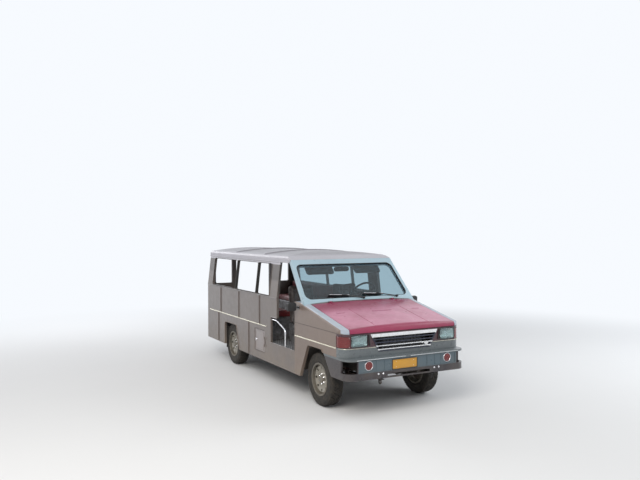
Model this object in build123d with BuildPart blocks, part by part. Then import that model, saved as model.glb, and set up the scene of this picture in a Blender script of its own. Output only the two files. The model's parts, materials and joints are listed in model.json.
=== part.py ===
from build123d import *
import os
from math import atan2, cos, degrees, radians, sin, tan

# Small open-sided jeepney in millimetres. +X is the vehicle's left, +Y its rear, +Z up.
# The origin lies on the ground under the middle of the vehicle.

os.makedirs("parts", exist_ok=True)

# Overall sizes
wheelbase = 3140.0
front_overhang = 820.0      # front axle to the bumper's face
rear_overhang = 1410.0      # rear axle to the edge of the rear step
body_half = 894.0           # half width of the body below the windows
roof_half = body_half - 59  # half width of the roof's side faces
waist_z = 1300.0            # height of the window sills
sill_z = 310.0              # bottom of the body sides
floor_z = 625.0             # top of the floor
far = 2000.0                # reach of a cutter past every side of the body

# Thicknesses and clearances
body_wall = 35.0            # body side, as thick as the whole pressed wall
roof_wall = 25.0
floor_plate = 25.0
sheet = 12.0                # folded sheet of boxes, liners and firewall
seat_gap = 0.3              # between curved faces of pieces that seat on each other
panel_gap = 7.0             # round a lid or door that opens
run_gap = 0.08              # radial clearance of a pin in its bore

# Running gear
tyre_radius = 345.0
tyre_width = 185.0
sidewall = 145.0
rim_radius = tyre_radius - sidewall
track_half = body_half - 146.5      # centre plane of each wheel
kingpin_x = track_half - 57.5
spindle_radius = 22.0
axle_z = tyre_radius
rail_x = 385.0              # centre of each chassis rail
rail_width = 60.0
rail_bottom_z = 445.0
rail_top_z = 565.0

# Stations along the vehicle
front_axle_y = front_overhang - (wheelbase + front_overhang + rear_overhang) / 2
rear_axle_y = front_axle_y + wheelbase
bumper_y = front_axle_y - front_overhang
nose_y = front_axle_y - 720.0
nose_rear_y = front_axle_y - 560.0
bonnet_rear_y = front_axle_y + 290.0
screen_base_y = front_axle_y + 316.0
firewall_y = front_axle_y + 385.0
door_front_y = front_axle_y + 600.0
pillar_front_y = front_axle_y + 1200.0
door_rear_y = front_axle_y + 1420.0
body_rear_y = rear_axle_y + 1190.0

# Bonnet and windscreen slopes
screen_base_z = waist_z - 20
nose_top_z = 1062.0
fender_top = 101.0          # width of each fender's upper face
bonnet_half = body_half - fender_top
bonnet_crown = 28.0
nose_radius = 90.0
nose_corner = 130.0
shoulder_radius = 42.0
lip_z = 1020.0              # lower edge of the bonnet's front lip
panel_top_z = lip_z - panel_gap     # upper edge of the nose panel
bumper_top_z = 725.0
bumper_bottom_z = 470.0
bonnet_slope = atan2(screen_base_z - nose_top_z, screen_base_y - nose_y)
screen_height = 785.0       # measured up the slope
screen_rise = 576.0
screen_run = 534.0
screen_wall = 60.0
head_z = screen_base_z + screen_rise
cant_z = head_z - 46.0      # underside of the roof's side faces
roof_side_z = head_z + 42.0
roof_top_z = head_z + 109.0


def side_label(side):
    return "left" if side > 0 else "right"


def save(part, name):
    """Name a finished piece and write it out."""
    part.label = name
    export_step(part, f"parts/{name}.step")


def region(x0, x1, y0, y1, z0, z1):
    """A block between two corners, used to split a form at its seams."""
    with BuildPart(Plane.XY.offset(z0)) as block:
        with BuildSketch(Plane.XY.offset(z0)):
            with Locations(((x0 + x1) / 2, (y0 + y1) / 2)):
                Rectangle(x1 - x0, y1 - y0)
        extrude(amount=z1 - z0)
    return block.part


def bar_between(start, end, radius):
    """A round bar from one point to another."""
    direction = Vector(*end) - Vector(*start)
    with BuildPart() as bar:
        with BuildSketch(Plane(origin=start, z_dir=direction)):
            Circle(radius)
        extrude(amount=direction.length)
    return bar.part


# Front body: one sloping, crowned form that the bonnet, fenders, cowl and nose are cut from


slope_section = Plane(
    origin=(0, screen_base_y, screen_base_z),
    x_dir=(1, 0, 0),
    z_dir=(0, -cos(bonnet_slope), -sin(bonnet_slope)),
)
slope_face = Plane(
    origin=(0, screen_base_y, screen_base_z),
    x_dir=(1, 0, 0),
    z_dir=(0, -sin(bonnet_slope), cos(bonnet_slope)),
)


def front_form(inset):
    """The front body's outer form, or the form of its inner walls when inset."""
    half = body_half - inset
    top_z = nose_top_z + bonnet_crown - inset
    with BuildPart() as form:
        with BuildSketch(slope_section) as section:
            with BuildLine():
                ThreePointArc((-half, -inset), (0, bonnet_crown - inset), (half, -inset))
                Polyline((half, -inset), (half, -far), (-half, -far), (-half, -inset))
            make_face()
            fillet(section.vertices().group_by(Axis.Y)[-1], max(shoulder_radius - inset, 5))
        extrude(amount=far, both=True)
        with BuildSketch(Plane.XY.offset(sill_z - inset)) as plan:
            with BuildLine():
                Polyline(
                    (-half, door_front_y + inset),
                    (-half, nose_y + inset),
                    (half, nose_y + inset),
                    (half, door_front_y + inset),
                    close=True,
                )
            make_face()
            fillet(plan.vertices().group_by(Axis.Y)[0], nose_corner - inset)
        extrude(amount=far, mode=Mode.INTERSECT)
        with BuildSketch(Plane.YZ) as profile:
            with BuildLine():
                Polyline(
                    (nose_y + inset, sill_z - inset),
                    (nose_y + inset, top_z),
                    (screen_base_y, screen_base_z + bonnet_crown - inset),
                    (screen_base_y + 40, waist_z - inset),
                    (door_front_y + inset, waist_z - inset),
                    (door_front_y + inset, sill_z - inset),
                    close=True,
                )
            make_face()
            fillet(profile.vertices().sort_by_distance((nose_y + inset, top_z))[0], nose_radius - inset)
        extrude(amount=far, both=True, mode=Mode.INTERSECT)
    return form.part


with BuildPart() as front_shell:
    add(front_form(0))
    add(front_form(body_wall), mode=Mode.SUBTRACT)

# Bonnet, hinged on two exposed knuckles at the cowl
hinge_y = bonnet_rear_y + panel_gap / 2
hinge_rise = 28.73          # over the slope through the foot of the windscreen
hinge_z = screen_base_z - (screen_base_y - hinge_y) * tan(bonnet_slope) + hinge_rise
hinge_radius = 8.0
hinge_pin = 4.0
hinge_x = 500.0
knuckle_length = 30.0
flange_under_z = waist_z - body_wall - 10.0     # clear under the fenders' inner flanges
crease_x = 400.0
crease_width = 9.0
crease_depth = 4.0
crease_span = (330.0, 1010.0)       # down the slope from the foot of the windscreen
vent_rows = (
    # centre x, distance down the slope, length, width
    (20.0, 492.0, 310.0, 16.0),
    (590.0, 460.0, 130.0, 13.0),
    (-590.0, 460.0, 130.0, 13.0),
)


def hinge_strap(y0, y1):
    """A strap that carries a knuckle, lying on the sloping panel."""
    middle = (y0 + y1) / 2
    height = screen_base_z - (screen_base_y - middle) * tan(bonnet_slope) + 18
    with BuildPart() as strap:
        with BuildSketch(Plane.YZ):
            with Locations(Location((middle, height), degrees(bonnet_slope))):
                RectangleRounded(y1 - y0, 14, 4)
        extrude(amount=knuckle_length / 2, both=True)
    return strap.part


with BuildPart() as bonnet:
    add(front_shell.part)
    add(region(-bonnet_half, bonnet_half, nose_y - 50, bonnet_rear_y, lip_z, far), mode=Mode.INTERSECT)
    crease_height = bonnet_crown * (1 - (crease_x / body_half) ** 2)
    with BuildSketch(slope_face.offset(crease_height - crease_depth)):
        with Locations((crease_x, -sum(crease_span) / 2), (-crease_x, -sum(crease_span) / 2)):
            Rectangle(crease_width, crease_span[1] - crease_span[0])
    extrude(amount=bonnet_crown, mode=Mode.SUBTRACT)
    with BuildSketch(slope_face):
        for x, down, length, width in vent_rows:
            with Locations((x, -down)):
                SlotOverall(length, width)
    extrude(amount=2 * body_wall, both=True, mode=Mode.SUBTRACT)
    with Locations((hinge_x, 0, 0), (-hinge_x, 0, 0)):
        add(hinge_strap(hinge_y - 75, hinge_y - 1))
    with BuildSketch(Plane.YZ):
        with Locations((hinge_y, hinge_z)):
            Circle(hinge_radius + 2)
    extrude(amount=far, both=True, mode=Mode.SUBTRACT)
    for x in (hinge_x, -hinge_x):
        with BuildSketch(Plane.YZ.offset(x)):
            with Locations((hinge_y, hinge_z)):
                Circle(hinge_radius)
            with Locations((hinge_y - hinge_radius - 1, hinge_z - 3)):
                Rectangle(8, 8)
            with Locations((hinge_y, hinge_z)):
                Circle(hinge_pin + run_gap, mode=Mode.SUBTRACT)
        extrude(amount=knuckle_length / 2, both=True)
save(bonnet.part, "bonnet")

# Cowl strip and firewall, with the fixed knuckles and their pins
with BuildPart() as cowl:
    add(front_shell.part)
    add(
        region(-bonnet_half - panel_gap, bonnet_half + panel_gap, bonnet_rear_y + panel_gap,
               firewall_y + sheet, nose_top_z, far),
        mode=Mode.INTERSECT,
    )
    with BuildSketch(Plane.XZ.offset(-firewall_y - sheet)):
        with BuildLine():
            Polyline(
                (-body_half + body_wall, floor_z - floor_plate),
                (body_half - body_wall, floor_z - floor_plate),
                (body_half - body_wall, flange_under_z - 12),
                (body_half - body_wall - 12, flange_under_z),
                (bonnet_half, flange_under_z),
                (bonnet_half, flange_under_z + 25),
                (-bonnet_half, flange_under_z + 25),
                (-bonnet_half, flange_under_z),
                (-body_half + body_wall + 12, flange_under_z),
                (-body_half + body_wall, flange_under_z - 12),
                close=True,
            )
        make_face()
    extrude(amount=sheet)
    for x in (hinge_x, -hinge_x):
        for offset_x in (-knuckle_length / 2 - 11, knuckle_length / 2 + 11):
            with BuildSketch(Plane.YZ.offset(x + offset_x)):
                with Locations((hinge_y, hinge_z)):
                    Circle(hinge_radius)
                with Locations((hinge_y + 9, hinge_z - 4)):
                    Rectangle(14, 14)
            extrude(amount=10, both=True)
        with BuildSketch(Plane.YZ.offset(x)):
            with Locations((hinge_y, hinge_z)):
                Circle(hinge_pin)
        extrude(amount=knuckle_length / 2 + 11, both=True)
save(cowl.part, "cowl")

# Front fenders: outer wall with the wheel arch, silver top edge and a round liner over the wheel
arch_points = (
    # y from the axle, z
    (445.0, 290.0),
    (205.0, 768.0),
    (-178.0, 768.0),
    (-500.0, 380.0),
    (-500.0, 290.0),
)
liner_radius = 440.0
liner_z = 350.0
liner_inner_x = 480.0


def arch_cut(axle_y, points, corner):
    """Cutter through both body sides for a wheel arch."""
    with BuildPart() as cutter:
        with BuildSketch(Plane.YZ) as outline:
            with BuildLine():
                Polyline(*[(axle_y + y, z) for y, z in points], close=True)
            make_face()
            fillet(outline.vertices().group_by(Axis.Y)[-1], corner)
        extrude(amount=far, both=True)
    return cutter.part


def fender(side):
    """Front fender of one side."""
    inner = bonnet_half + panel_gap
    x0, x1 = sorted((side * inner, side * (body_half + 10)))
    with BuildPart() as part:
        add(front_shell.part)
        add(region(x0, x1, nose_y - 50, door_front_y, sill_z, far), mode=Mode.INTERSECT)
        add(region(-far, far, nose_y - 50, nose_rear_y, 0, panel_top_z), mode=Mode.SUBTRACT)
        add(region(-far, far, nose_y, front_axle_y - 150, 0, bumper_top_z), mode=Mode.SUBTRACT)
        add(arch_cut(front_axle_y, arch_points, 70), mode=Mode.SUBTRACT)
        with BuildSketch(Plane.YZ.offset(side * liner_inner_x)):
            with Locations((front_axle_y, liner_z)):
                Circle(liner_radius + sheet)
                Circle(liner_radius, mode=Mode.SUBTRACT)
            with Locations((front_axle_y, liner_z + 40 - far / 2)):
                Rectangle(far, far, mode=Mode.SUBTRACT)
            with Locations((front_axle_y - 200 - far / 2, 0)):
                Rectangle(far, 2 * far, mode=Mode.SUBTRACT)
        extrude(amount=side * (body_half - body_wall - liner_inner_x))
    return part.part


for side in (1, -1):
    save(fender(side), f"fender_{side_label(side)}")

# Nose panel with its lamp and grille openings
headlight_x = body_half - 229
headlight_z = 930.0
headlight_width = 226.0
headlight_height = 136.0
corner_lamp_x = body_half - 106
corner_lamp_z = (852.0, 985.0)
grille_points = (
    # x, z
    (508.0, 1000.0),
    (388.0, 780.0),
)


def trapezoid(low_half, low, high_half, high):
    """Corner points of a symmetrical trapezoid."""
    return ((-low_half, low), (low_half, low), (high_half, high), (-high_half, high))


def grille_outline(shrink):
    """Corner points of the grille's trapezoid, smaller all round by a margin."""
    (top_x, top_z), (low_x, low_z) = grille_points
    return trapezoid(low_x - 1.3 * shrink, low_z + shrink, top_x - 1.3 * shrink, top_z - shrink)


with BuildPart() as nose_panel:
    add(front_shell.part)
    add(region(-far, far, nose_y - 50, nose_rear_y, bumper_top_z, panel_top_z), mode=Mode.INTERSECT)
    with BuildSketch(Plane.XZ.offset(-nose_y)):
        Polygon(*grille_outline(0), align=None)
        with Locations((headlight_x, headlight_z), (-headlight_x, headlight_z)):
            RectangleRounded(headlight_width, headlight_height, 26)
    extrude(amount=-100, mode=Mode.SUBTRACT)
    for side in (1, -1):
        x0, x1 = sorted((side * corner_lamp_x, side * far))
        add(region(x0, x1, nose_y - 50, nose_rear_y, *corner_lamp_z), mode=Mode.SUBTRACT)
save(nose_panel.part, "nose_panel")

# Grille: trapezoid frame, rounded horizontal bars and upright ribs behind them
grille_depth = 40.0
grille_bars = (
    # z, height
    (976.0, 40.0),
    (928.0, 14.0),
    (888.0, 14.0),
    (848.0, 14.0),
    (803.0, 14.0),
)


def grille_half(z):
    """Half width of the grille's inside at a height."""
    (top_x, top_z), (low_x, low_z) = grille_points
    return low_x + (top_x - low_x) * (z - low_z) / (top_z - low_z) - 14


with BuildPart() as grille:
    with BuildSketch(Plane.XZ.offset(-nose_y + 8)):
        Polygon(*grille_outline(seat_gap), align=None)
        Polygon(*grille_outline(14), align=None, mode=Mode.SUBTRACT)
    extrude(amount=-grille_depth)
    for z, height in grille_bars:
        with BuildSketch(Plane.YZ):
            with Locations((nose_y + 4, z)):
                RectangleRounded(26, height, 6)
        extrude(amount=grille_half(z) + 2, both=True)
    with BuildSketch(Plane.XY.offset(grille_points[1][1] + 6)):
        with Locations((0, nose_y + 24)):
            with GridLocations(52, 1, 13, 1):
                Rectangle(5, 14)
    extrude(amount=grille_points[0][1] - grille_points[1][1] - 12)
save(grille.part, "grille")

# Headlights and corner and round signal lamps
with BuildPart() as headlights:
    with BuildSketch(Plane.XZ.offset(-nose_y + 8)):
        with Locations((headlight_x, headlight_z), (-headlight_x, headlight_z)):
            RectangleRounded(headlight_width - 2 * seat_gap, headlight_height - 2 * seat_gap, 26 - seat_gap)
    extrude(amount=-60)
    fillet(headlights.faces().group_by(Axis.Y)[0].edges(), 6)
save(headlights.part, "headlights")

bumper_lamp_x = body_half - 304
bumper_lamp_z = 640.0
bumper_lamp_radius = 52.0
bumper_wall = 25.0

with BuildPart() as signal_lamps:
    add(front_shell.part)
    add(region(-far, far, nose_y - 50, nose_rear_y, *corner_lamp_z), mode=Mode.INTERSECT)
    add(region(-corner_lamp_x, corner_lamp_x, nose_y - 60, nose_rear_y + 10, 0, far), mode=Mode.SUBTRACT)
    for x in (bumper_lamp_x, -bumper_lamp_x):
        with BuildSketch(Plane.XZ.offset(-bumper_y - 2)):
            with Locations((x, bumper_lamp_z)):
                Circle(bumper_lamp_radius - seat_gap)
        extrude(amount=-bumper_wall)
save(signal_lamps.part, "signal_lamps")

# Front bumper: a deep wrapped shell, open behind, with ends that follow the wheel arch
bumper_half = body_half + 3
bumper_end_y = front_axle_y - 230.0
bumper_top_sheet = 20.0
pocket_z = (555.0, 702.0)           # shallow panel between the bumper's upper band and its apron
pocket_half = bumper_half - 175
pocket_depth = 11.0
socket_reach = 150.0                # open corner sockets beside the panel
intake_z = 505.0


def bumper_form(inset, low, high):
    """Rounded U of the bumper between two heights, or its inside."""
    half = bumper_half - inset
    with BuildPart() as form:
        with BuildSketch(Plane.XY.offset(low)) as plan:
            with BuildLine():
                Polyline(
                    (-half, bumper_end_y + inset), (-half, bumper_y + inset), (half, bumper_y + inset),
                    (half, bumper_end_y + inset), close=True,
                )
            make_face()
            fillet(plan.vertices().group_by(Axis.Y)[0], nose_corner - inset)
        extrude(amount=high - low)
    return form.part


with BuildPart() as front_bumper:
    add(bumper_form(0, bumper_bottom_z, bumper_top_z))
    add(bumper_form(bumper_wall, 0, bumper_top_z - bumper_top_sheet), mode=Mode.SUBTRACT)
    add(
        region(-bonnet_half, bonnet_half, nose_y + body_wall, bumper_end_y + 100, bumper_bottom_z, far),
        mode=Mode.SUBTRACT,
    )
    with BuildSketch(Plane.YZ):
        with BuildLine():
            Polyline(
                (front_axle_y - 225, bumper_top_z + 15), (front_axle_y - 430, bumper_bottom_z),
                (front_axle_y - 430, 0), (front_axle_y, 0), (front_axle_y, bumper_top_z + 15), close=True,
            )
        make_face()
    extrude(amount=far, both=True, mode=Mode.SUBTRACT)
    add(
        region(-pocket_half, pocket_half, bumper_y - 10, bumper_y + pocket_depth, *pocket_z),
        mode=Mode.SUBTRACT,
    )
    for side in (1, -1):
        x0, x1 = sorted((side * (pocket_half + 25), side * far))
        add(region(x0, x1, bumper_y - 10, bumper_y + socket_reach, *pocket_z), mode=Mode.SUBTRACT)
    with BuildSketch(Plane.XZ.offset(-bumper_y)):
        with Locations((bumper_lamp_x, bumper_lamp_z), (-bumper_lamp_x, bumper_lamp_z)):
            Circle(bumper_lamp_radius)
        with Locations((0, intake_z)):
            RectangleRounded(640, 34, 12)
    extrude(amount=-2 * bumper_wall, mode=Mode.SUBTRACT)
save(front_bumper.part, "front_bumper")

# Windscreen frame and its glass, on a leaning plane
screen_angle = atan2(screen_rise, screen_run)
screen_plane = Plane(
    origin=(0, screen_base_y, screen_base_z),
    x_dir=(1, 0, 0),
    z_dir=(0, -sin(screen_angle), cos(screen_angle)),
)
screen_foot_half = body_half - 4
screen_head_half = roof_half - 3
glass_thickness = 8.0
glass_set_back = 16.0
glass_corner = 90.0
glass_low = 80.0
glass_high = 700.0
glass_low_half = screen_foot_half - 58
glass_high_half = screen_head_half - 40
sight_margin = 14.0         # ledge of the frame behind the glass


def glass_outline(shrink):
    """Corner points of the glass on the leaning plane, smaller all round by a margin."""
    low_half = glass_low_half - shrink
    high_half = glass_high_half - shrink
    low = glass_low + shrink
    high = glass_high - shrink
    return ((-low_half, low), (low_half, low), (high_half, high), (-high_half, high))


def screen_slab(grow):
    """The windscreen frame's outer form."""
    with BuildPart() as slab:
        with BuildSketch(screen_plane.offset(grow)):
            with BuildLine():
                Polyline(
                    (-screen_foot_half - grow, -60), (screen_foot_half + grow, -60),
                    (screen_head_half + grow, screen_height + grow),
                    (-screen_head_half - grow, screen_height + grow),
                    close=True,
                )
            make_face()
        extrude(amount=-screen_wall - 2 * grow)
    return slab.part


with BuildPart() as windscreen_frame:
    add(screen_slab(0))
    with BuildSketch(screen_plane) as opening:
        Polygon(*glass_outline(0), align=None)
        fillet(opening.vertices(), glass_corner)
    extrude(amount=-glass_set_back - glass_thickness, mode=Mode.SUBTRACT)
    with BuildSketch(screen_plane) as sight:
        Polygon(*glass_outline(sight_margin), align=None)
        fillet(sight.vertices(), glass_corner - sight_margin)
    extrude(amount=-screen_wall * 2, mode=Mode.SUBTRACT)
    with Locations((0, 0, seat_gap)):
        add(front_form(0), mode=Mode.SUBTRACT)
save(windscreen_frame.part, "windscreen_frame")

with BuildPart() as windscreen_glass:
    with BuildSketch(screen_plane.offset(-glass_set_back)) as pane:
        Polygon(*glass_outline(seat_gap), align=None)
        fillet(pane.vertices(), glass_corner)
    extrude(amount=-glass_thickness)
save(windscreen_glass.part, "windscreen_glass")

# Wipers: a boss on the frame, an arm and a blade, lying near the glass
wiper_pivots = (62.0, 620.0)
wiper_base = 58.0           # pivot's distance up the windscreen
wiper_arm = 333.0
blade_height = 128.0        # blade's distance up the windscreen
blade_length = 330.0
with BuildPart() as wipers:
    for x in wiper_pivots:
        with BuildSketch(screen_plane):
            with Locations((x, wiper_base)):
                Circle(14)
        extrude(amount=22)
        with BuildSketch(screen_plane.offset(10)):
            with BuildLine():
                Polyline(
                    (x - 4, wiper_base + 8), (x + 6, wiper_base - 8), (x - wiper_arm, blade_height - 4),
                    (x - wiper_arm, blade_height + 8), close=True,
                )
            make_face()
        extrude(amount=8)
        with BuildSketch(screen_plane.offset(-glass_set_back + 1)):
            with Locations(Location((x - wiper_arm - 37, blade_height), -4)):
                SlotOverall(blade_length, 12)
        extrude(amount=glass_set_back + 12)
save(wipers.part, "wipers")

# Side mirrors: a housing with a set-back glass bed, on a short arm from a foot on the fender's side
mirror_x = body_half + 104
mirror_y = door_front_y - 105.0
mirror_z = waist_z - 58.0
mirror_width = 142.0
mirror_height = 118.0
mirror_depth = 36.0
foot_thickness = 9.0
with BuildPart() as mirrors:
    for side in (1, -1):
        with BuildSketch(Plane.XZ.offset(-mirror_y)):
            with Locations((side * mirror_x, mirror_z)):
                RectangleRounded(mirror_width, mirror_height, 26)
        extrude(amount=mirror_depth, taper=12)
        with BuildSketch(Plane.XZ.offset(-mirror_y)):
            with Locations((side * mirror_x, mirror_z)):
                RectangleRounded(mirror_width - 14, mirror_height - 14, 20)
        extrude(amount=5, mode=Mode.SUBTRACT)
        add(
            bar_between((side * (body_half + 3), mirror_y - 16, mirror_z - 12),
                        (side * (mirror_x - 40), mirror_y - 16, mirror_z), 8)
        )
        with BuildSketch(Plane.YZ.offset(side * body_half)):
            with Locations((mirror_y - 16, mirror_z - 12)):
                RectangleRounded(62, 44, 12)
        extrude(amount=side * foot_thickness)
save(mirrors.part, "mirrors")

# Body sides behind the doorway, with the sill under it
arch_rear_points = (
    # y from the axle, z
    (265.0, 290.0),
    (265.0, 705.0),
    (-290.0, 705.0),
    (-445.0, 290.0),
)
window_spans = (
    # front and rear edge from the front axle
    (1480.0, 1985.0),
    (2015.0, 2885.0),
    (2915.0, 4050.0),
)
window_low_z = waist_z + 6.0
window_high_z = cant_z - 30.0
step_z = 620.0
pillar_foot_z = 1000.0
hatch_y = (front_axle_y + 1640.0, front_axle_y + 2020.0)
hatch_z = (430.0, 760.0)
locker_x = 600.0
hatch_gap = 5.0
hatch_wall = 20.0
hatch_hinge_x = body_half + 6.5
hatch_hinge_y = hatch_y[0] + hatch_gap / 2
hatch_knuckle = 6.0
hatch_pin = 3.0
hatch_knuckles = (
    # low z, high z, on the door
    (520.0, 556.0, False),
    (558.0, 632.0, True),
    (634.0, 670.0, False),
)


def wall_section(side):
    """Corner points of a body side's cross-section, upright below the waist and leaning in above."""
    inner = body_half - body_wall
    roof_inner = roof_half - body_wall
    return (
        (side * body_half, sill_z), (side * body_half, waist_z), (side * roof_half, cant_z),
        (side * roof_inner, cant_z), (side * inner, waist_z), (side * inner, sill_z),
    )


def hatch_strap(side, y0, y1, z0, z1):
    """Strap and knuckle of the access door's hinge."""
    with BuildPart() as strap:
        with BuildSketch(Plane.XY.offset(z0)):
            with Locations((side * hatch_hinge_x, hatch_hinge_y)):
                Circle(hatch_knuckle)
            with Locations((side * (body_half + 2), (y0 + y1) / 2)):
                Rectangle(5, y1 - y0)
        extrude(amount=z1 - z0)
    return strap.part


def side_panel(side):
    """Rear body side of one side, from the doorway's sill to the rear corner."""
    with BuildPart() as part:
        with BuildSketch(Plane.XZ.offset(-body_rear_y)):
            Polygon(*wall_section(side), align=None)
        extrude(amount=body_rear_y - door_front_y)
        with BuildSketch(Plane.YZ):
            with BuildLine():
                Polyline(
                    (door_front_y, sill_z), (body_rear_y, sill_z), (body_rear_y, cant_z),
                    (pillar_front_y, cant_z), (pillar_front_y, pillar_foot_z), (door_rear_y, pillar_foot_z),
                    (door_rear_y, step_z), (door_front_y, step_z),
                    close=True,
                )
            make_face()
        extrude(amount=far, both=True, mode=Mode.INTERSECT)
        with BuildSketch(Plane.YZ):
            for y0, y1 in window_spans:
                with Locations((front_axle_y + (y0 + y1) / 2, (window_low_z + window_high_z) / 2)):
                    RectangleRounded(y1 - y0, window_high_z - window_low_z, 28)
        extrude(amount=far, both=True, mode=Mode.SUBTRACT)
        add(arch_cut(rear_axle_y, arch_rear_points, 60), mode=Mode.SUBTRACT)
        if side < 0:
            add(region(-far, -locker_x, *hatch_y, *hatch_z), mode=Mode.SUBTRACT)
            for z0, z1, on_door in hatch_knuckles:
                if not on_door:
                    add(hatch_strap(side, hatch_y[0] - 50, hatch_hinge_y, z0, z1))
            with BuildSketch(Plane.XY.offset(hatch_knuckles[0][0])):
                with Locations((side * hatch_hinge_x, hatch_hinge_y)):
                    Circle(hatch_pin)
            extrude(amount=hatch_knuckles[-1][1] - hatch_knuckles[0][0])
    return part.part


for side in (1, -1):
    save(side_panel(side), f"side_panel_{side_label(side)}")

# Access door low on the right side
with BuildPart() as access_door:
    add(
        region(-body_half, -body_half + hatch_wall, hatch_y[0] + hatch_gap, hatch_y[1] - hatch_gap,
               hatch_z[0] + hatch_gap, hatch_z[1] - hatch_gap)
    )
    for z0, z1, on_door in hatch_knuckles:
        if on_door:
            add(hatch_strap(-1, hatch_hinge_y, hatch_y[0] + 60, z0, z1))
            with BuildSketch(Plane.XY.offset(z0)):
                with Locations((-hatch_hinge_x, hatch_hinge_y)):
                    Circle(hatch_pin + run_gap)
            extrude(amount=z1 - z0, mode=Mode.SUBTRACT)
save(access_door.part, "access_door")

# Floor with bearers, wheel boxes, bench bases, seat boxes and the locker behind the access door
inner_half = body_half - body_wall
wheel_box_x = track_half - tyre_width / 2 - 30
wheel_box_y = 410.0
wheel_box_z = 800.0
bench_front_y = door_rear_y + 140.0
bench_rear_y = body_rear_y - 90.0
bench_inner_x = 450.0
bench_z = 960.0
seat_box_y = (front_axle_y + 1000.0, front_axle_y + 1400.0)
seat_box_z = 880.0
seat_boxes = (
    # centre x, width
    (380.0, 440.0),
    (-380.0, 440.0),
)
floor_rear_y = body_rear_y - body_wall


with BuildPart() as floor:
    with BuildSketch(Plane.XY.offset(floor_z - floor_plate)):
        with Locations((0, (firewall_y + sheet + floor_rear_y) / 2)):
            Rectangle(2 * inner_half, floor_rear_y - firewall_y - sheet)
    extrude(amount=floor_plate)
    for side in (1, -1):
        # Bench base: front and end sheets under a seat board
        a, b = sorted((side * bench_inner_x, side * inner_half))
        add(region(a, b, bench_front_y, bench_rear_y, floor_z, bench_z))
        a, b = sorted((side * (bench_inner_x + sheet), side * inner_half))
        add(
            region(a, b, bench_front_y + sheet, bench_rear_y - sheet, floor_z, bench_z - sheet),
            mode=Mode.SUBTRACT,
        )
        # Wheel box through the floor
        a, b = sorted((side * wheel_box_x, side * inner_half))
        add(region(a, b, rear_axle_y - wheel_box_y, rear_axle_y + wheel_box_y, floor_z, wheel_box_z))
        a, b = sorted((side * (wheel_box_x + sheet), side * inner_half))
        add(
            region(a, b, rear_axle_y - wheel_box_y + sheet, rear_axle_y + wheel_box_y - sheet,
                   floor_z - 100, wheel_box_z - sheet),
            mode=Mode.SUBTRACT,
        )
    for x, width in seat_boxes:
        add(region(x - width / 2, x + width / 2, *seat_box_y, floor_z, seat_box_z))
        add(
            region(x - width / 2 + sheet, x + width / 2 - sheet, seat_box_y[0] + sheet, seat_box_y[1] - sheet,
                   floor_z, seat_box_z - sheet),
            mode=Mode.SUBTRACT,
        )
    # Locker box, open towards the access door
    add(region(-inner_half, -locker_x, hatch_y[0] - 2 * sheet, hatch_y[1] + 2 * sheet,
               hatch_z[0] - 2 * sheet, hatch_z[1] + 2 * sheet))
    add(
        region(-inner_half, -locker_x - sheet, hatch_y[0] - sheet, hatch_y[1] + sheet,
               hatch_z[0] - sheet, hatch_z[1] + sheet),
        mode=Mode.SUBTRACT,
    )
    # Bearers that stand on the chassis rails
    with BuildSketch(Plane.XY.offset(rail_top_z)):
        for y in (460.0, 1150.0, 1480.0, 2250.0, 2560.0, 3720.0, 4180.0):
            with Locations((0, front_axle_y + y)):
                Rectangle(2 * rail_x + rail_width + 20, 50)
    extrude(amount=floor_z - floor_plate - rail_top_z)
save(floor.part, "floor")

# Dashboard across the cab
dash_points = (
    # y from the firewall's rear face, z
    (0.0, waist_z - 300),
    (0.0, flange_under_z - 1),
    (80.0, flange_under_z - 1),
    (205.0, waist_z - 88),
    (222.0, waist_z - 120),
    (190.0, waist_z - 270),
    (150.0, waist_z - 300),
)
wheel_centre = (370.0, front_axle_y + 880.0, waist_z + 35)
column_angle = radians(35)
column_radius = 24.0
column_start_z = wheel_centre[2] - (wheel_centre[1] - firewall_y - sheet) * tan(column_angle)
with BuildPart() as dashboard:
    with BuildSketch(Plane.YZ) as dash_profile:
        with BuildLine():
            Polyline(*[(firewall_y + sheet + y, z) for y, z in dash_points], close=True)
        make_face()
        fillet(dash_profile.vertices().filter_by(lambda v: v.X > firewall_y + sheet + 100), 14)
    extrude(amount=inner_half, both=True)
    add(
        bar_between((wheel_centre[0], firewall_y, column_start_z - sheet * tan(column_angle)), wheel_centre,
                    column_radius + 8),
        mode=Mode.SUBTRACT,
    )
save(dashboard.part, "dashboard")

# Steering column from the firewall, and the steering wheel on its shaft
column_direction = Vector(0, cos(column_angle), sin(column_angle))
column_end = Vector(*wheel_centre) - column_direction * 70
column_plane = Plane(origin=column_end, x_dir=(1, 0, 0), z_dir=column_direction)
shaft_radius = 12.0
with BuildPart() as steering_column:
    with BuildSketch(column_plane):
        Circle(column_radius)
    extrude(amount=-800)
    with BuildSketch(column_plane):
        Circle(shaft_radius + run_gap)
    extrude(amount=-60, mode=Mode.SUBTRACT)
    with BuildSketch(column_plane.offset(-60)):
        Circle(column_radius + 12)
    extrude(amount=-90)
    add(region(0, far, nose_y, firewall_y + sheet, 0, far), mode=Mode.SUBTRACT)
save(steering_column.part, "steering_column")

rim_centre_radius = 195.0
with BuildPart() as steering_wheel:
    with BuildSketch(column_plane.offset(70).rotated((90, 0, 0))):
        with Locations((rim_centre_radius, 0)):
            Circle(14)
    revolve(axis=Axis(wheel_centre, tuple(column_direction)))
    with BuildSketch(column_plane.offset(0.5)):
        Circle(38)
    extrude(amount=60)
    with BuildSketch(column_plane.offset(-40)):
        Circle(shaft_radius)
    extrude(amount=60)
    with BuildSketch(column_plane.offset(64)):
        for angle in (-20, 200, 90):
            with Locations(Location((0, 0), angle)):
                with Locations((rim_centre_radius / 2, 0)):
                    Rectangle(rim_centre_radius, 30)
    extrude(amount=-10)
save(steering_wheel.part, "steering_wheel")

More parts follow.
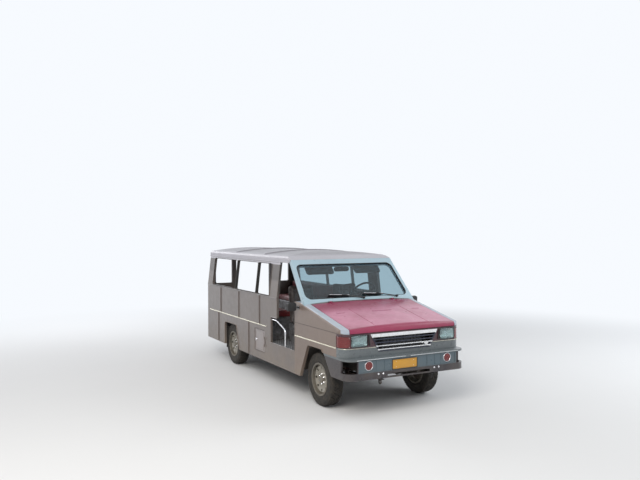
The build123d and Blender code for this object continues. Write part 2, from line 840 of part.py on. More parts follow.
# Seats and benches
seat_top_z = 1000.0
seat_lip = 10.0             # cushion's overhang past its box
back_foot_y = seat_box_y[1] + 30.0
back_thickness = 90.0
back_lean = 90.0
back_top_z = seat_box_z + 580.0


def soft_block(x0, x1, y0, y1, z0, z1, corner):
    """A closed cushion with rounded corners."""
    with BuildPart() as cushion:
        add(region(x0, x1, y0, y1, z0, z1))
        fillet(cushion.edges().filter_by(Axis.Z), corner)
        fillet(cushion.faces().sort_by(Axis.Z)[-1].edges(), corner / 2)
    return cushion.part


for name, (x, width) in zip(("driver_seat", "passenger_seat"), seat_boxes):
    with BuildPart() as seat:
        with BuildSketch(Plane.YZ.offset(x)) as seat_profile:
            with BuildLine():
                Polyline(
                    (seat_box_y[0] - seat_lip, seat_box_z + seat_gap),
                    (back_foot_y, seat_box_z + seat_gap),
                    (back_foot_y + back_lean, back_top_z),
                    (back_foot_y + back_lean - back_thickness, back_top_z),
                    (back_foot_y - back_thickness - 10, seat_top_z),
                    (seat_box_y[0] - seat_lip, seat_top_z),
                    close=True,
                )
            make_face()
            fillet(seat_profile.vertices(), 25)
        extrude(amount=width / 2 + seat_lip, both=True)
    save(seat.part, name)

cushion_z = (bench_z + seat_gap, bench_z + 90.0)
back_z = (bench_z + 110.0, waist_z - 6.0)
for side in (1, -1):
    a, b = sorted((side * (bench_inner_x - 10), side * (inner_half - 4)))
    save(
        soft_block(a, b, bench_front_y, bench_rear_y, *cushion_z, 30),
        f"bench_cushion_{side_label(side)}",
    )
with BuildPart() as bench_backs:
    for side in (1, -1):
        a, b = sorted((side * (inner_half - 60), side * (inner_half - seat_gap)))
        add(soft_block(a, b, bench_front_y, bench_rear_y, *back_z, 16))
save(bench_backs.part, "bench_backs")

# Roof: a crowned shell with a rounded front that meets the head of the windscreen frame, open below
roof_front_top = (screen_base_y + screen_run + seat_gap, screen_base_z + screen_rise)
roof_front_low = (
    roof_front_top[0] + (roof_front_top[1] - cant_z) * screen_rise / screen_run,
    cant_z,
)
roof_rear_y = body_rear_y + 20.0
roof_corner = 45.0
roof_flat_y = roof_front_top[0] + 620.0


def roof_height(x, inset):
    """Height of the crowned skin across the roof."""
    half = roof_half - inset
    drop = roof_top_z - roof_side_z
    radius = (half ** 2 + drop ** 2) / (2 * drop)
    return roof_top_z - inset - radius + (radius ** 2 - x ** 2) ** 0.5


def roof_form(inset):
    """The roof's outer form, or its inside when inset."""
    half = roof_half - inset
    side_z = roof_side_z - inset
    head = (roof_front_top[0], roof_front_top[1] - inset)
    foot = (roof_front_low[0] + 2 * inset, cant_z - 2 * inset)
    with BuildPart() as form:
        with BuildSketch(Plane.XZ.offset(-roof_rear_y + inset)) as section:
            with BuildLine():
                ThreePointArc((-half, side_z), (0, roof_top_z - inset), (half, side_z))
                Polyline((half, side_z), (half, cant_z - inset), (-half, cant_z - inset), (-half, side_z))
            make_face()
            fillet(section.vertices().group_by(Axis.Y)[-1], roof_corner - inset)
        extrude(amount=roof_rear_y - roof_front_top[0] + 200)
        with BuildSketch(Plane.YZ):
            with BuildLine():
                Line(foot, head)
                TangentArc((roof_flat_y, roof_top_z - inset), head, tangent=(-1, 0))
                Polyline(
                    (roof_flat_y, roof_top_z - inset), (roof_rear_y + 10, roof_top_z - inset),
                    (roof_rear_y + 10, cant_z - 2 * inset), foot,
                )
            make_face()
        extrude(amount=far, both=True, mode=Mode.INTERSECT)
    return form.part


with BuildPart() as roof:
    add(roof_form(0))
    add(roof_form(roof_wall), mode=Mode.SUBTRACT)
save(roof.part, "roof")

# Rear frame with the passengers' doorway and two open windows
rear_door_half = 345.0
rear_window_x = 590.0
rear_window_width = 320.0
header_z = cant_z - 50.0
with BuildPart() as rear_frame:
    with BuildSketch(Plane.XZ.offset(-body_rear_y)):
        with BuildLine():
            Polyline(
                (-inner_half, floor_z - floor_plate), (inner_half, floor_z - floor_plate),
                (inner_half, waist_z), (roof_half - body_wall, cant_z), (-roof_half + body_wall, cant_z),
                (-inner_half, waist_z),
                close=True,
            )
        make_face()
        with Locations((0, (floor_z + header_z) / 2)):
            RectangleRounded(2 * rear_door_half, header_z - floor_z, 60, mode=Mode.SUBTRACT)
        with Locations((0, floor_z + 60)):
            Rectangle(2 * rear_door_half, 120, mode=Mode.SUBTRACT)
        for side in (1, -1):
            with Locations((side * rear_window_x, (waist_z + header_z) / 2)):
                RectangleRounded(rear_window_width, header_z - waist_z, 28, mode=Mode.SUBTRACT)
    extrude(amount=body_wall)
save(rear_frame.part, "rear_frame")

# Tail lamps on the rear corners
with BuildPart() as tail_lamps:
    for side in (1, -1):
        with BuildSketch(Plane.XZ.offset(-body_rear_y)):
            with Locations((side * (body_half - 104), waist_z - 180)):
                RectangleRounded(110, 260, 20)
        extrude(amount=-28)
    fillet(tail_lamps.faces().group_by(Axis.Y)[-1].edges(), 8)
save(tail_lamps.part, "tail_lamps")

# Rear step: a folded channel with rounded ends, on arms from the chassis rails
step_top_z = 440.0
step_half = body_half - 114
step_inner_y = body_rear_y + 30.0
step_outer_y = rear_axle_y + rear_overhang
with BuildPart() as rear_step:
    with BuildSketch(Plane.XY.offset(step_top_z - 90)) as tread:
        with Locations((0, (step_inner_y + step_outer_y) / 2)):
            Rectangle(2 * step_half, step_outer_y - step_inner_y)
        fillet(tread.vertices().group_by(Axis.Y)[-1], 60)
    extrude(amount=90)
    with BuildSketch(Plane.XY.offset(step_top_z - 91)) as hollow:
        with Locations((0, (step_inner_y + step_outer_y) / 2)):
            Rectangle(2 * step_half - 16, step_outer_y - step_inner_y - 16)
        fillet(hollow.vertices().group_by(Axis.Y)[-1], 52)
    extrude(amount=83, mode=Mode.SUBTRACT)
    for side in (1, -1):
        with BuildSketch(Plane.YZ.offset(side * rail_x)):
            with BuildLine():
                Polyline(
                    (floor_rear_y - 40, rail_bottom_z), (floor_rear_y - 40, rail_top_z),
                    (floor_rear_y, rail_top_z), (step_outer_y - 30, step_top_z - 4),
                    (step_outer_y - 30, step_top_z - 70), (step_inner_y, step_top_z - 80),
                    close=True,
                )
            make_face()
        extrude(amount=10, both=True)
save(rear_step.part, "rear_step")

# Grab rails: ceiling rails, upright handles at the rear doorway and hoops in the side doorways
rail_tube = 15.0
rail_drop_z = cant_z - 10.0
ceiling_rail_x = 300.0
ceiling_ends = (bench_front_y + 100, bench_rear_y - 100)
handle_tube = 12.0
handle_z = (950.0, 1600.0)
handle_stand = 65.0
hoop_tube = 11.0
hoop_y = (pillar_front_y - 260, pillar_front_y + 40)
hoop_z = (860.0, 960.0)
with BuildPart() as grab_rails:
    for side in (1, -1):
        ceiling_x = side * ceiling_rail_x
        ceiling_top = roof_height(ceiling_rail_x + rail_tube, roof_wall) - seat_gap
        with BuildLine():
            FilletPolyline(
                (ceiling_x, ceiling_ends[0], ceiling_top), (ceiling_x, ceiling_ends[0], rail_drop_z),
                (ceiling_x, ceiling_ends[1], rail_drop_z), (ceiling_x, ceiling_ends[1], ceiling_top),
                radius=50,
            )
        with BuildSketch(Plane((ceiling_x, ceiling_ends[0], ceiling_top), z_dir=(0, 0, -1))):
            Circle(rail_tube)
        sweep()
        handle_x = side * (rear_door_half + 43)
        with BuildLine():
            FilletPolyline(
                (handle_x, body_rear_y, handle_z[0]), (handle_x, body_rear_y + handle_stand, handle_z[0]),
                (handle_x, body_rear_y + handle_stand, handle_z[1]), (handle_x, body_rear_y, handle_z[1]),
                radius=30,
            )
        with BuildSketch(Plane((handle_x, body_rear_y, handle_z[0]), z_dir=(0, 1, 0))):
            Circle(handle_tube)
        sweep()
        hoop_x = side * (body_half - body_wall / 2)
        with BuildLine():
            FilletPolyline(
                (hoop_x, door_rear_y, hoop_z[1]), (hoop_x, hoop_y[1], hoop_z[1]),
                (hoop_x, hoop_y[0], hoop_z[0]), (hoop_x, hoop_y[0], step_z),
                radius=70,
            )
        with BuildSketch(Plane((hoop_x, door_rear_y, hoop_z[1]), z_dir=(0, -1, 0))):
            Circle(hoop_tube)
        sweep()
save(grab_rails.part, "grab_rails")

# Bright trim strips along both sides
trim_z = 836.0
trim_spans = (
    # from the front axle, front and rear end
    (-555.0, 590.0),
    (1580.0, 4200.0),
)
with BuildPart() as trim_strips:
    for side in (1, -1):
        for y0, y1 in trim_spans:
            with BuildSketch(Plane.XZ.offset(-front_axle_y - y1)):
                with Locations((side * (body_half + 3), trim_z)):
                    RectangleRounded(6, 14, 2.5)
            extrude(amount=y1 - y0)
save(trim_strips.part, "trim_strips")

# Chassis: two channel rails, open inwards, with spring hangers and towing eyes
rail_front_y = bumper_y + bumper_wall
rail_rear_y = floor_rear_y - 40.0
rail_sheet = 8.0
springs = (
    # axle y, seat z, half length
    (front_axle_y, axle_z + 35, 480.0),
    (rear_axle_y, axle_z + 40, 540.0),
)
eye_radius = 14.0
tow_eye_radius = 14.0
tow_eye_z = rail_bottom_z - 32
eye_z = rail_bottom_z - 17
leaf = 7.0
with BuildPart() as chassis:
    with BuildSketch(Plane.XZ.offset(-rail_rear_y)):
        for side in (1, -1):
            with Locations((side * rail_x, (rail_bottom_z + rail_top_z) / 2)):
                Rectangle(rail_width, rail_top_z - rail_bottom_z)
            with Locations((side * (rail_x - rail_sheet), (rail_bottom_z + rail_top_z) / 2)):
                Rectangle(rail_width, rail_top_z - rail_bottom_z - 2 * rail_sheet, mode=Mode.SUBTRACT)
    extrude(amount=rail_rear_y - rail_front_y)
    for axle_y, seat_z, half_length in springs:
        for end in (-1, 1):
            for side in (1, -1):
                for edge in (-1, 1):
                    plate_x = side * rail_x + edge * (rail_width / 2 + 3)
                    with BuildSketch(Plane.YZ.offset(plate_x)):
                        with Locations((axle_y + end * half_length, (rail_top_z + eye_z) / 2 - 10)):
                            RectangleRounded(60, rail_top_z - eye_z, 16)
                    extrude(amount=3, both=True)
    # Towing eyes under the front of the rails
    for side in (1, -1):
        with BuildSketch(Plane.YZ.offset(side * rail_x)):
            with Locations((rail_front_y + 50, tow_eye_z)):
                Circle(tow_eye_radius + 16)
            with Locations((rail_front_y + 50, (rail_bottom_z + tow_eye_z) / 2)):
                Rectangle(2 * tow_eye_radius + 32, rail_bottom_z - tow_eye_z)
            with Locations((rail_front_y + 50, tow_eye_z)):
                Circle(tow_eye_radius, mode=Mode.SUBTRACT)
        extrude(amount=6, both=True)
save(chassis.part, "chassis")

# Crossmembers: folded channels between the rails' webs, and a dropped one under the gearbox
member_half = rail_x + rail_width / 2 - rail_sheet
member_z = (rail_top_z - 70.0, rail_top_z - 10.0)
member_sheet = 8.0
crossmember_rows = (
    # y from the front axle, depth
    (-640.0, 60.0),
    (1300.0, 60.0),
    (2420.0, 60.0),
    (3760.0, 60.0),
)
gearbox_member_y = front_axle_y + 750.0
gearbox_member_z = rail_bottom_z - 33
gearbox_member_top = gearbox_member_z + 18
with BuildPart() as crossmembers:
    for y, depth in crossmember_rows:
        with BuildSketch(Plane.YZ):
            with Locations((front_axle_y + y, (member_z[0] + member_z[1]) / 2)):
                Rectangle(depth, member_z[1] - member_z[0])
            with Locations((front_axle_y + y, (member_z[0] + member_z[1]) / 2 - member_sheet)):
                Rectangle(depth - 2 * member_sheet, member_z[1] - member_z[0], mode=Mode.SUBTRACT)
        extrude(amount=member_half, both=True)
    with BuildSketch(Plane.XZ.offset(-gearbox_member_y)):
        with BuildLine():
            Polyline(
                (-rail_x, rail_bottom_z), (-rail_x + 40, gearbox_member_z), (rail_x - 40, gearbox_member_z),
                (rail_x, rail_bottom_z), (rail_x - 30, rail_bottom_z), (rail_x - 50, gearbox_member_top),
                (-rail_x + 50, gearbox_member_top), (-rail_x + 30, rail_bottom_z),
                close=True,
            )
        make_face()
    extrude(amount=30, both=True)
save(crossmembers.part, "crossmembers")

# Leaf springs: tapered stacks with rolled eyes
with BuildPart() as leaf_springs:
    for axle_y, seat_z, half_length in springs:
        for side in (1, -1):
            with BuildSketch(Plane.YZ.offset(side * rail_x)):
                for index, share in enumerate((1.0, 0.8, 0.6, 0.4)):
                    reach = half_length * share
                    low = seat_z + (3 - index) * leaf
                    rise = (eye_z - 10 - seat_z - 3 * leaf) * share ** 2
                    tip = low + rise
                    with BuildLine():
                        ThreePointArc((axle_y - reach, tip), (axle_y, low), (axle_y + reach, tip))
                        Line((axle_y + reach, tip), (axle_y + reach, tip + leaf))
                        ThreePointArc(
                            (axle_y + reach, tip + leaf), (axle_y, low + leaf), (axle_y - reach, tip + leaf)
                        )
                        Line((axle_y - reach, tip + leaf), (axle_y - reach, tip))
                    make_face()
                with Locations((axle_y - half_length, eye_z - 2), (axle_y + half_length, eye_z - 2)):
                    Circle(eye_radius)
            extrude(amount=rail_width / 2, both=True)
save(leaf_springs.part, "leaf_springs")

# Front axle: I-beam with forked ends for the kingpins
beam_half = 30.0
fork_radius = 32.0
fork_low = (axle_z - 70, axle_z - 45)
fork_high = (axle_z + 45, axle_z + 70)
pin_radius = 14.0
with BuildPart() as front_axle:
    with BuildSketch(Plane.YZ):
        with Locations((front_axle_y, axle_z)):
            Rectangle(2 * beam_half, 70)
        with Locations((front_axle_y + beam_half - 5, axle_z), (front_axle_y - beam_half + 5, axle_z)):
            Rectangle(34, 44, mode=Mode.SUBTRACT)
    extrude(amount=kingpin_x - 50, both=True)
    for side in (1, -1):
        a, b = sorted((side * (kingpin_x - 60), side * (kingpin_x - 35)))
        add(region(a, b, front_axle_y - beam_half, front_axle_y + beam_half, fork_low[0], fork_high[1]))
        for low, high in (fork_low, fork_high):
            with BuildSketch(Plane.XY.offset(low)):
                with Locations((side * kingpin_x, front_axle_y)):
                    Circle(fork_radius)
                with Locations((side * (kingpin_x - 20), front_axle_y)):
                    Rectangle(40, 2 * beam_half)
                with Locations((side * kingpin_x, front_axle_y)):
                    Circle(pin_radius + run_gap, mode=Mode.SUBTRACT)
            extrude(amount=high - low)
save(front_axle.part, "front_axle")

# Steering knuckles with kingpin, spindle, backing plate and straight steering arm
arm_length = 0.65 * rim_radius
arm_pin_radius = 8.0
barrel_radius = 30.0
stub_radius = 27.0
arm_z = (axle_z - 32, axle_z - 8)
backing_x = (track_half - 19.5, track_half - 12.5)
backing_radius = rim_radius - 35
spindle_length = 31.0


def knuckle(side):
    """Steering knuckle of one side."""
    with BuildPart() as part:
        with BuildSketch(Plane.XY.offset(fork_low[1] + 1)):
            with Locations((side * kingpin_x, front_axle_y)):
                Circle(barrel_radius)
        extrude(amount=fork_high[0] - fork_low[1] - 2)
        with BuildSketch(Plane.XY.offset(fork_low[0] - 6)):
            with Locations((side * kingpin_x, front_axle_y)):
                Circle(pin_radius)
        extrude(amount=fork_high[1] - fork_low[0] + 12)
        with BuildSketch(Plane.YZ.offset(side * kingpin_x)):
            with Locations((front_axle_y, axle_z)):
                Circle(stub_radius)
        extrude(amount=side * (backing_x[0] - kingpin_x))
        with BuildSketch(Plane.YZ.offset(side * backing_x[0])):
            with Locations((front_axle_y, axle_z)):
                Circle(backing_radius)
        extrude(amount=side * (backing_x[1] - backing_x[0]))
        with BuildSketch(Plane.YZ.offset(side * backing_x[1])):
            with Locations((front_axle_y, axle_z)):
                Circle(spindle_radius)
        extrude(amount=side * spindle_length)
        with BuildSketch(Plane.XY.offset(arm_z[0])):
            with Locations((side * kingpin_x, front_axle_y + arm_length / 2)):
                Rectangle(22, arm_length)
            with Locations((side * kingpin_x, front_axle_y + arm_length)):
                Circle(16)
        extrude(amount=arm_z[1] - arm_z[0])
        with BuildSketch(Plane.XY.offset(arm_z[1])):
            with Locations((side * kingpin_x, front_axle_y + arm_length)):
                Circle(arm_pin_radius)
        extrude(amount=30)
    return part.part


for side in (1, -1):
    save(knuckle(side), f"knuckle_{side_label(side)}")

# Tie rod between the arms. Its right eye is the open pivot and has more clearance.
tie_z = (axle_z - 5, axle_z + 15)
tie_y = front_axle_y + arm_length
open_gap = 1.5
with BuildPart() as tie_rod:
    add(
        bar_between((-kingpin_x + 14, tie_y, sum(tie_z) / 2), (kingpin_x - 14, tie_y, sum(tie_z) / 2), 9)
    )
    with BuildSketch(Plane.XY.offset(tie_z[0])):
        with Locations((kingpin_x, tie_y), (-kingpin_x, tie_y)):
            Circle(18)
    extrude(amount=tie_z[1] - tie_z[0])
    with BuildSketch(Plane.XY.offset(tie_z[0])):
        with Locations((kingpin_x, tie_y)):
            Circle(arm_pin_radius + run_gap)
        with Locations((-kingpin_x, tie_y)):
            Circle(arm_pin_radius + open_gap)
    extrude(amount=tie_z[1] - tie_z[0], mode=Mode.SUBTRACT)
save(tie_rod.part, "tie_rod")

# Rear axle: tubes, banjo housing, drums' backing plates and spindles
axle_tube = 36.0
banjo_half = 150.0
banjo_radius = 135.0
banjo_neck = 30.0
pinion_radius = 60.0
pinion_length = 190.0
with BuildPart() as rear_axle:
    with BuildSketch(Plane.YZ.offset(-backing_x[0])):
        with Locations((rear_axle_y, axle_z)):
            Circle(axle_tube)
    extrude(amount=2 * backing_x[0])
    with BuildSketch(Plane.XZ.offset(-rear_axle_y)):
        with BuildLine():
            neck_z = axle_z + banjo_neck
            ThreePointArc((-banjo_half, neck_z), (0, axle_z + banjo_radius), (banjo_half, neck_z))
            Polyline((banjo_half, neck_z), (banjo_half, axle_z), (-banjo_half, axle_z), (-banjo_half, neck_z))
        make_face()
    revolve(axis=Axis((0, rear_axle_y, axle_z), (1, 0, 0)))
    with BuildSketch(Plane.XZ.offset(-rear_axle_y)):
        with Locations((0, axle_z)):
            Circle(pinion_radius)
    extrude(amount=pinion_length)
    for side in (1, -1):
        with BuildSketch(Plane.YZ.offset(side * backing_x[0])):
            with Locations((rear_axle_y, axle_z)):
                Circle(backing_radius)
        extrude(amount=side * (backing_x[1] - backing_x[0]))
        with BuildSketch(Plane.YZ.offset(side * backing_x[1])):
            with Locations((rear_axle_y, axle_z)):
                Circle(spindle_radius)
        extrude(amount=side * spindle_length)
        with BuildSketch(Plane.XY.offset(axle_z + banjo_neck)):
            with Locations((side * rail_x, rear_axle_y)):
                Rectangle(rail_width, 110)
        extrude(amount=springs[1][1] - axle_z - banjo_neck)
save(rear_axle.part, "rear_axle")

# Engine as one plain block with its gearbox and mounting arms
engine_rear_y = front_axle_y + 200.0
gearbox_rear_y = front_axle_y + 900.0
engine_z = 430.0
engine_half = 250.0
engine_length = 620.0
engine_height = 500.0
gearbox_half = 150.0
shaft_z = engine_z + 44
with BuildPart() as engine:
    add(
        region(-engine_half, engine_half, engine_rear_y - engine_length, engine_rear_y,
               engine_z, engine_z + engine_height)
    )
    add(region(-gearbox_half, gearbox_half, engine_rear_y, gearbox_rear_y, engine_z, rail_top_z - 5))
    with BuildSketch(Plane.XY.offset(rail_top_z)):
        with Locations((0, engine_rear_y - engine_length / 2)):
            Rectangle(2 * rail_x + 20, 80)
    extrude(amount=16)
save(engine.part, "engine")

radiator_half = 300.0
radiator_y = nose_rear_y - 100.0
radiator_thickness = 55.0
with BuildPart() as radiator:
    add(
        region(-radiator_half, radiator_half, radiator_y, radiator_y + radiator_thickness,
               rail_top_z - 10, lip_z - body_wall)
    )
save(radiator.part, "radiator")

# Propeller shaft between gearbox and rear axle
with BuildPart() as propshaft:
    add(bar_between((0, gearbox_rear_y - 100, shaft_z), (0, rear_axle_y - 100, axle_z - 4), 34))
    add(region(-100, 100, gearbox_rear_y, rear_axle_y - pinion_length, 0, far), mode=Mode.INTERSECT)
save(propshaft.part, "propshaft")

# Fuel tank under the floor on the left
tank_width = 360.0
tank_height = 230.0
tank_length = 680.0
tank_rear_y = front_axle_y + 2540.0
with BuildPart() as fuel_tank:
    with BuildSketch(Plane.XZ.offset(-tank_rear_y)):
        with Locations((rail_x + 235, floor_z - floor_plate - tank_height / 2)):
            RectangleRounded(tank_width, tank_height, 45)
    extrude(amount=tank_length)
save(fuel_tank.part, "fuel_tank")

# Exhaust: down from the engine, back through the silencer and out before the right rear wheel
exhaust_x = -230.0
exhaust_z = 365.0
exhaust_out_x = -(inner_half - 49)
exhaust_radius = 22.0
exhaust_start_y = front_axle_y + 180.0
silencer_y = (front_axle_y + 1500.0, front_axle_y + 2100.0)
outlet_y = front_axle_y + 2300.0
with BuildPart() as exhaust:
    with BuildLine():
        FilletPolyline(
            (exhaust_x, exhaust_start_y, engine_z), (exhaust_x, exhaust_start_y, exhaust_z),
            (exhaust_x, silencer_y[0], exhaust_z),
            radius=40,
        )
    with BuildSketch(Plane((exhaust_x, exhaust_start_y, engine_z), z_dir=(0, 0, -1))):
        Circle(exhaust_radius)
    sweep()
    with BuildSketch(Plane.XZ.offset(-silencer_y[0])):
        with Locations((exhaust_x, exhaust_z)):
            Ellipse(100, 70)
    extrude(amount=silencer_y[0] - silencer_y[1])
    with BuildLine():
        FilletPolyline(
            (exhaust_x, silencer_y[1], exhaust_z), (exhaust_x, outlet_y, exhaust_z),
            (exhaust_out_x + 50, outlet_y, exhaust_z), (exhaust_out_x, outlet_y, exhaust_z - 40),
            radius=60,
        )
    with BuildSketch(Plane((exhaust_x, silencer_y[1], exhaust_z), z_dir=(0, 1, 0))):
        Circle(exhaust_radius)
    sweep()
save(exhaust.part, "exhaust")

# Tyres and dished steel wheels
half_width = tyre_width / 2
tread_half = half_width - 26
bead_half = half_width - 18.5
flange_x = bead_half + 8.5
rim = rim_radius - seat_gap
flange_radius = rim + 12
hub_radius = 0.36 * rim_radius
cap_radius = 0.23 * rim_radius
dish_radius = 0.56 * rim_radius
crest_radius = 0.82 * rim_radius
vent_circle = 0.72 * rim_radius
vent_radius = 0.085 * rim_radius
vent_count = 8
hub_start = backing_x[1] + 6.5 - track_half
bore_end = backing_x[1] + spindle_length + 3 - track_half
dish_x = 30.0               # outboard of the wheel's centre plane
disc_sheet = 8.0
crest_x = dish_x + 18
wheel_places = (
    # name, side, axle y
    ("front_left", 1, front_axle_y),
    ("front_right", -1, front_axle_y),
    ("rear_left", 1, rear_axle_y),
    ("rear_right", -1, rear_axle_y),
)
for name, side, axle_y in wheel_places:
    centre = (side * track_half, axle_y, tyre_radius)
    wheel_plane = Plane(origin=centre, x_dir=(side, 0, 0), z_dir=(0, -side, 0))
    spin = Axis(centre, (side, 0, 0))
    with BuildPart() as tyre:
        with BuildSketch(wheel_plane):
            with BuildLine():
                Line((-bead_half, rim_radius), (bead_half, rim_radius))
                for edge in (1, -1):
                    bead = (edge * bead_half, rim_radius)
                    bulge = (edge * half_width, rim_radius + 0.46 * sidewall)
                    shoulder = (edge * (half_width - 10), tyre_radius - 15)
                    corner = (edge * (half_width - 16), tyre_radius - 5)
                    ThreePointArc(bead, bulge, shoulder)
                    ThreePointArc(shoulder, corner, (edge * tread_half, tyre_radius))
                Line((tread_half, tyre_radius), (-tread_half, tyre_radius))
            make_face()
        revolve(axis=spin)
    save(tyre.part, f"tyre_{name}")
    with BuildPart() as wheel:
        with BuildSketch(wheel_plane):
            with BuildLine():
                Polyline(
                    (-flange_x - 5, rim - 8), (-flange_x - 5, flange_radius), (-flange_x, flange_radius),
                    (-flange_x, rim), (flange_x, rim), (flange_x, flange_radius),
                    (flange_x + 5, flange_radius), (flange_x + 5, rim - 8),
                    close=True,
                )
            make_face()
            with BuildLine():
                Polyline(
                    (dish_x, hub_radius - 20), (dish_x + disc_sheet, hub_radius - 20),
                    (dish_x + disc_sheet, dish_radius), (crest_x + disc_sheet, crest_radius),
                    (dish_x + disc_sheet + 6, rim - 4), (dish_x + 4, rim - 4),
                    (crest_x - 1, crest_radius + 2), (dish_x, dish_radius + 6),
                    close=True,
                )
            make_face()
            with BuildLine():
                Polyline(
                    (hub_start, spindle_radius + run_gap), (hub_start, hub_radius),
                    (dish_x + disc_sheet, hub_radius), (dish_x + disc_sheet, cap_radius + 8),
                    (dish_x + 28, cap_radius), (dish_x + 36, 0), (bore_end, 0),
                    (bore_end, spindle_radius + run_gap),
                    close=True,
                )
            make_face()
        revolve(axis=spin)
        with BuildSketch(Plane(origin=centre, x_dir=(0, 1, 0), z_dir=(side, 0, 0))):
            with PolarLocations(vent_circle, vent_count):
                Circle(vent_radius)
        extrude(amount=half_width, mode=Mode.SUBTRACT)
    save(wheel.part, f"wheel_{name}")
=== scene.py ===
import json
import math

import bmesh
import bpy
import numpy as np
from mathutils import Matrix, Vector
from mathutils.bvhtree import BVHTree


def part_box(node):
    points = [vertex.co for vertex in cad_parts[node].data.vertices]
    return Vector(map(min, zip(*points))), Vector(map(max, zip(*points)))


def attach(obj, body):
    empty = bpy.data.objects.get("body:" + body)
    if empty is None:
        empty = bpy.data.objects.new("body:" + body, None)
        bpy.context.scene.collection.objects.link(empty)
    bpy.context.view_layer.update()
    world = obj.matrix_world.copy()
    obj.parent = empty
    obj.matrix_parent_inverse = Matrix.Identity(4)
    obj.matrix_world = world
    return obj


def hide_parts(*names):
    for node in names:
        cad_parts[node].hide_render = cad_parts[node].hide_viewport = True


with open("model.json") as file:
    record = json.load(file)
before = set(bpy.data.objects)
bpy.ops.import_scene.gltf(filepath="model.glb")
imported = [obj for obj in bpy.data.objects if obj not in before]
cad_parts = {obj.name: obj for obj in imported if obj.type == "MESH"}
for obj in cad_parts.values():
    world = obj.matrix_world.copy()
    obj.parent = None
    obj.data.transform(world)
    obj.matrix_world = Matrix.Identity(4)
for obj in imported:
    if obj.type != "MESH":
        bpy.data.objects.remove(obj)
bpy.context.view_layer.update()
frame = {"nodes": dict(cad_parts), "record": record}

bl_info = {
    "name": "Grey Jeepney",
    "version": (1, 0, 0),
    "blender": (4, 5, 0),
    "location": "View3D > Sidebar > Jeepney",
    "description": "Paint, trim, tyres, upholstery and stage of a small open-sided jeepney",
    "category": "Object",
}

NODES = frame["nodes"]
CORNERS = ("front_left", "front_right", "rear_left", "rear_right")


def middle(name):
    """Middle of a CAD node's box."""
    low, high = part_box(name)
    return (Vector(low) + Vector(high)) / 2


FRONT_AXLE = middle("tyre_front_left").y
REAR_AXLE = middle("tyre_rear_left").y
WHEEL_RADIUS = (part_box("tyre_front_left")[1][2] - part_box("tyre_front_left")[0][2]) / 2
NOSE = FRONT_AXLE - 0.720
BODY_HALF = 0.894

# The nose looks along -y and the vehicle's left side is at +x.
LEFT, FRONT, BACK, UP, DOWN = (1, 0, 0), (0, -1, 0), (0, 1, 0), (0, 0, 1), (0, 0, -1)


def paint(red, green, blue):
    """A colour given as screen values from 0 to 255, in linear light."""
    return tuple(((value / 255 + 0.055) / 1.055) ** 2.4 if value > 10 else value / 3294.6
                 for value in (red, green, blue))


def toned(colour, factor):
    """A colour made darker by a factor."""
    return tuple(value * factor for value in colour)


# Settings that a user would change


class JeepneyColours(bpy.types.PropertyGroup):
    """Colours of the paint, the vinyl and the lamps"""

    body: bpy.props.FloatVectorProperty(
        name="Body", description="Warm grey of the body sides", subtype="COLOR", default=paint(115, 106, 102))
    bonnet: bpy.props.FloatVectorProperty(
        name="Bonnet", description="Crimson of the bonnet", subtype="COLOR", default=paint(142, 24, 70))
    roof: bpy.props.FloatVectorProperty(
        name="Roof", description="Lavender grey of the roof's edge", subtype="COLOR",
        default=paint(182, 180, 188))
    screen_frame: bpy.props.FloatVectorProperty(
        name="Windscreen frame", description="Pale silver blue round the windscreen", subtype="COLOR",
        default=paint(164, 190, 202))
    hatch: bpy.props.FloatVectorProperty(
        name="Access door", description="Lighter grey of the access door", subtype="COLOR",
        default=paint(150, 142, 142))
    bumper: bpy.props.FloatVectorProperty(
        name="Bumper", description="Blue grey of the bumper", subtype="COLOR", default=paint(98, 106, 110))
    bench: bpy.props.FloatVectorProperty(
        name="Benches", description="Maroon vinyl of the benches", subtype="COLOR",
        default=paint(104, 28, 32))
    seat: bpy.props.FloatVectorProperty(
        name="Seats", description="Dark vinyl of the front seats", subtype="COLOR", default=paint(52, 44, 42))
    wheel: bpy.props.FloatVectorProperty(
        name="Wheels", description="Silver of the wheel discs", subtype="COLOR", default=paint(150, 146, 136))
    lamp: bpy.props.FloatVectorProperty(
        name="Lamps", description="Red of the signal lamps", subtype="COLOR", default=paint(150, 22, 24))
    plate: bpy.props.FloatVectorProperty(
        name="Plate", description="Amber of the blank plate", subtype="COLOR", default=paint(206, 150, 44))


class JeepneyStage(bpy.types.PropertyGroup):
    """Floor, camera and light"""

    floor: bpy.props.FloatVectorProperty(
        name="Floor", description="Pale floor", subtype="COLOR", default=(0.78, 0.78, 0.78))
    lens: bpy.props.FloatProperty(
        name="Lens", description="Focal length of the camera in millimetres", default=37.0, unit="CAMERA",
        min=10.0, max=200.0)
    camera_place: bpy.props.FloatVectorProperty(
        name="Camera", description="Where the camera stands", subtype="TRANSLATION", unit="LENGTH",
        default=(-4.7934, -9.3707, 2.2395))
    key_power: bpy.props.FloatProperty(
        name="Key light", description="Power of the large soft light in watts", default=760.0, unit="POWER",
        min=0.0)


GROUPS = {"jeepney_colours": JeepneyColours, "jeepney_stage": JeepneyStage}

# Shader helpers


def add_node(tree, kind, inputs=None, **settings):
    """Adds a node, sets its fields, and sets or links its inputs."""
    made = tree.nodes.new(kind)
    for key, value in settings.items():
        setattr(made, key, value)
    for key, value in (inputs or {}).items():
        if isinstance(value, bpy.types.NodeSocket):
            tree.links.new(value, made.inputs[key])
        else:
            made.inputs[key].default_value = value
    return made


def maths(tree, operation, *values, clamp=False):
    """Output of a Math node."""
    made = add_node(tree, "ShaderNodeMath", dict(enumerate(values)), operation=operation, use_clamp=clamp)
    return made.outputs[0]


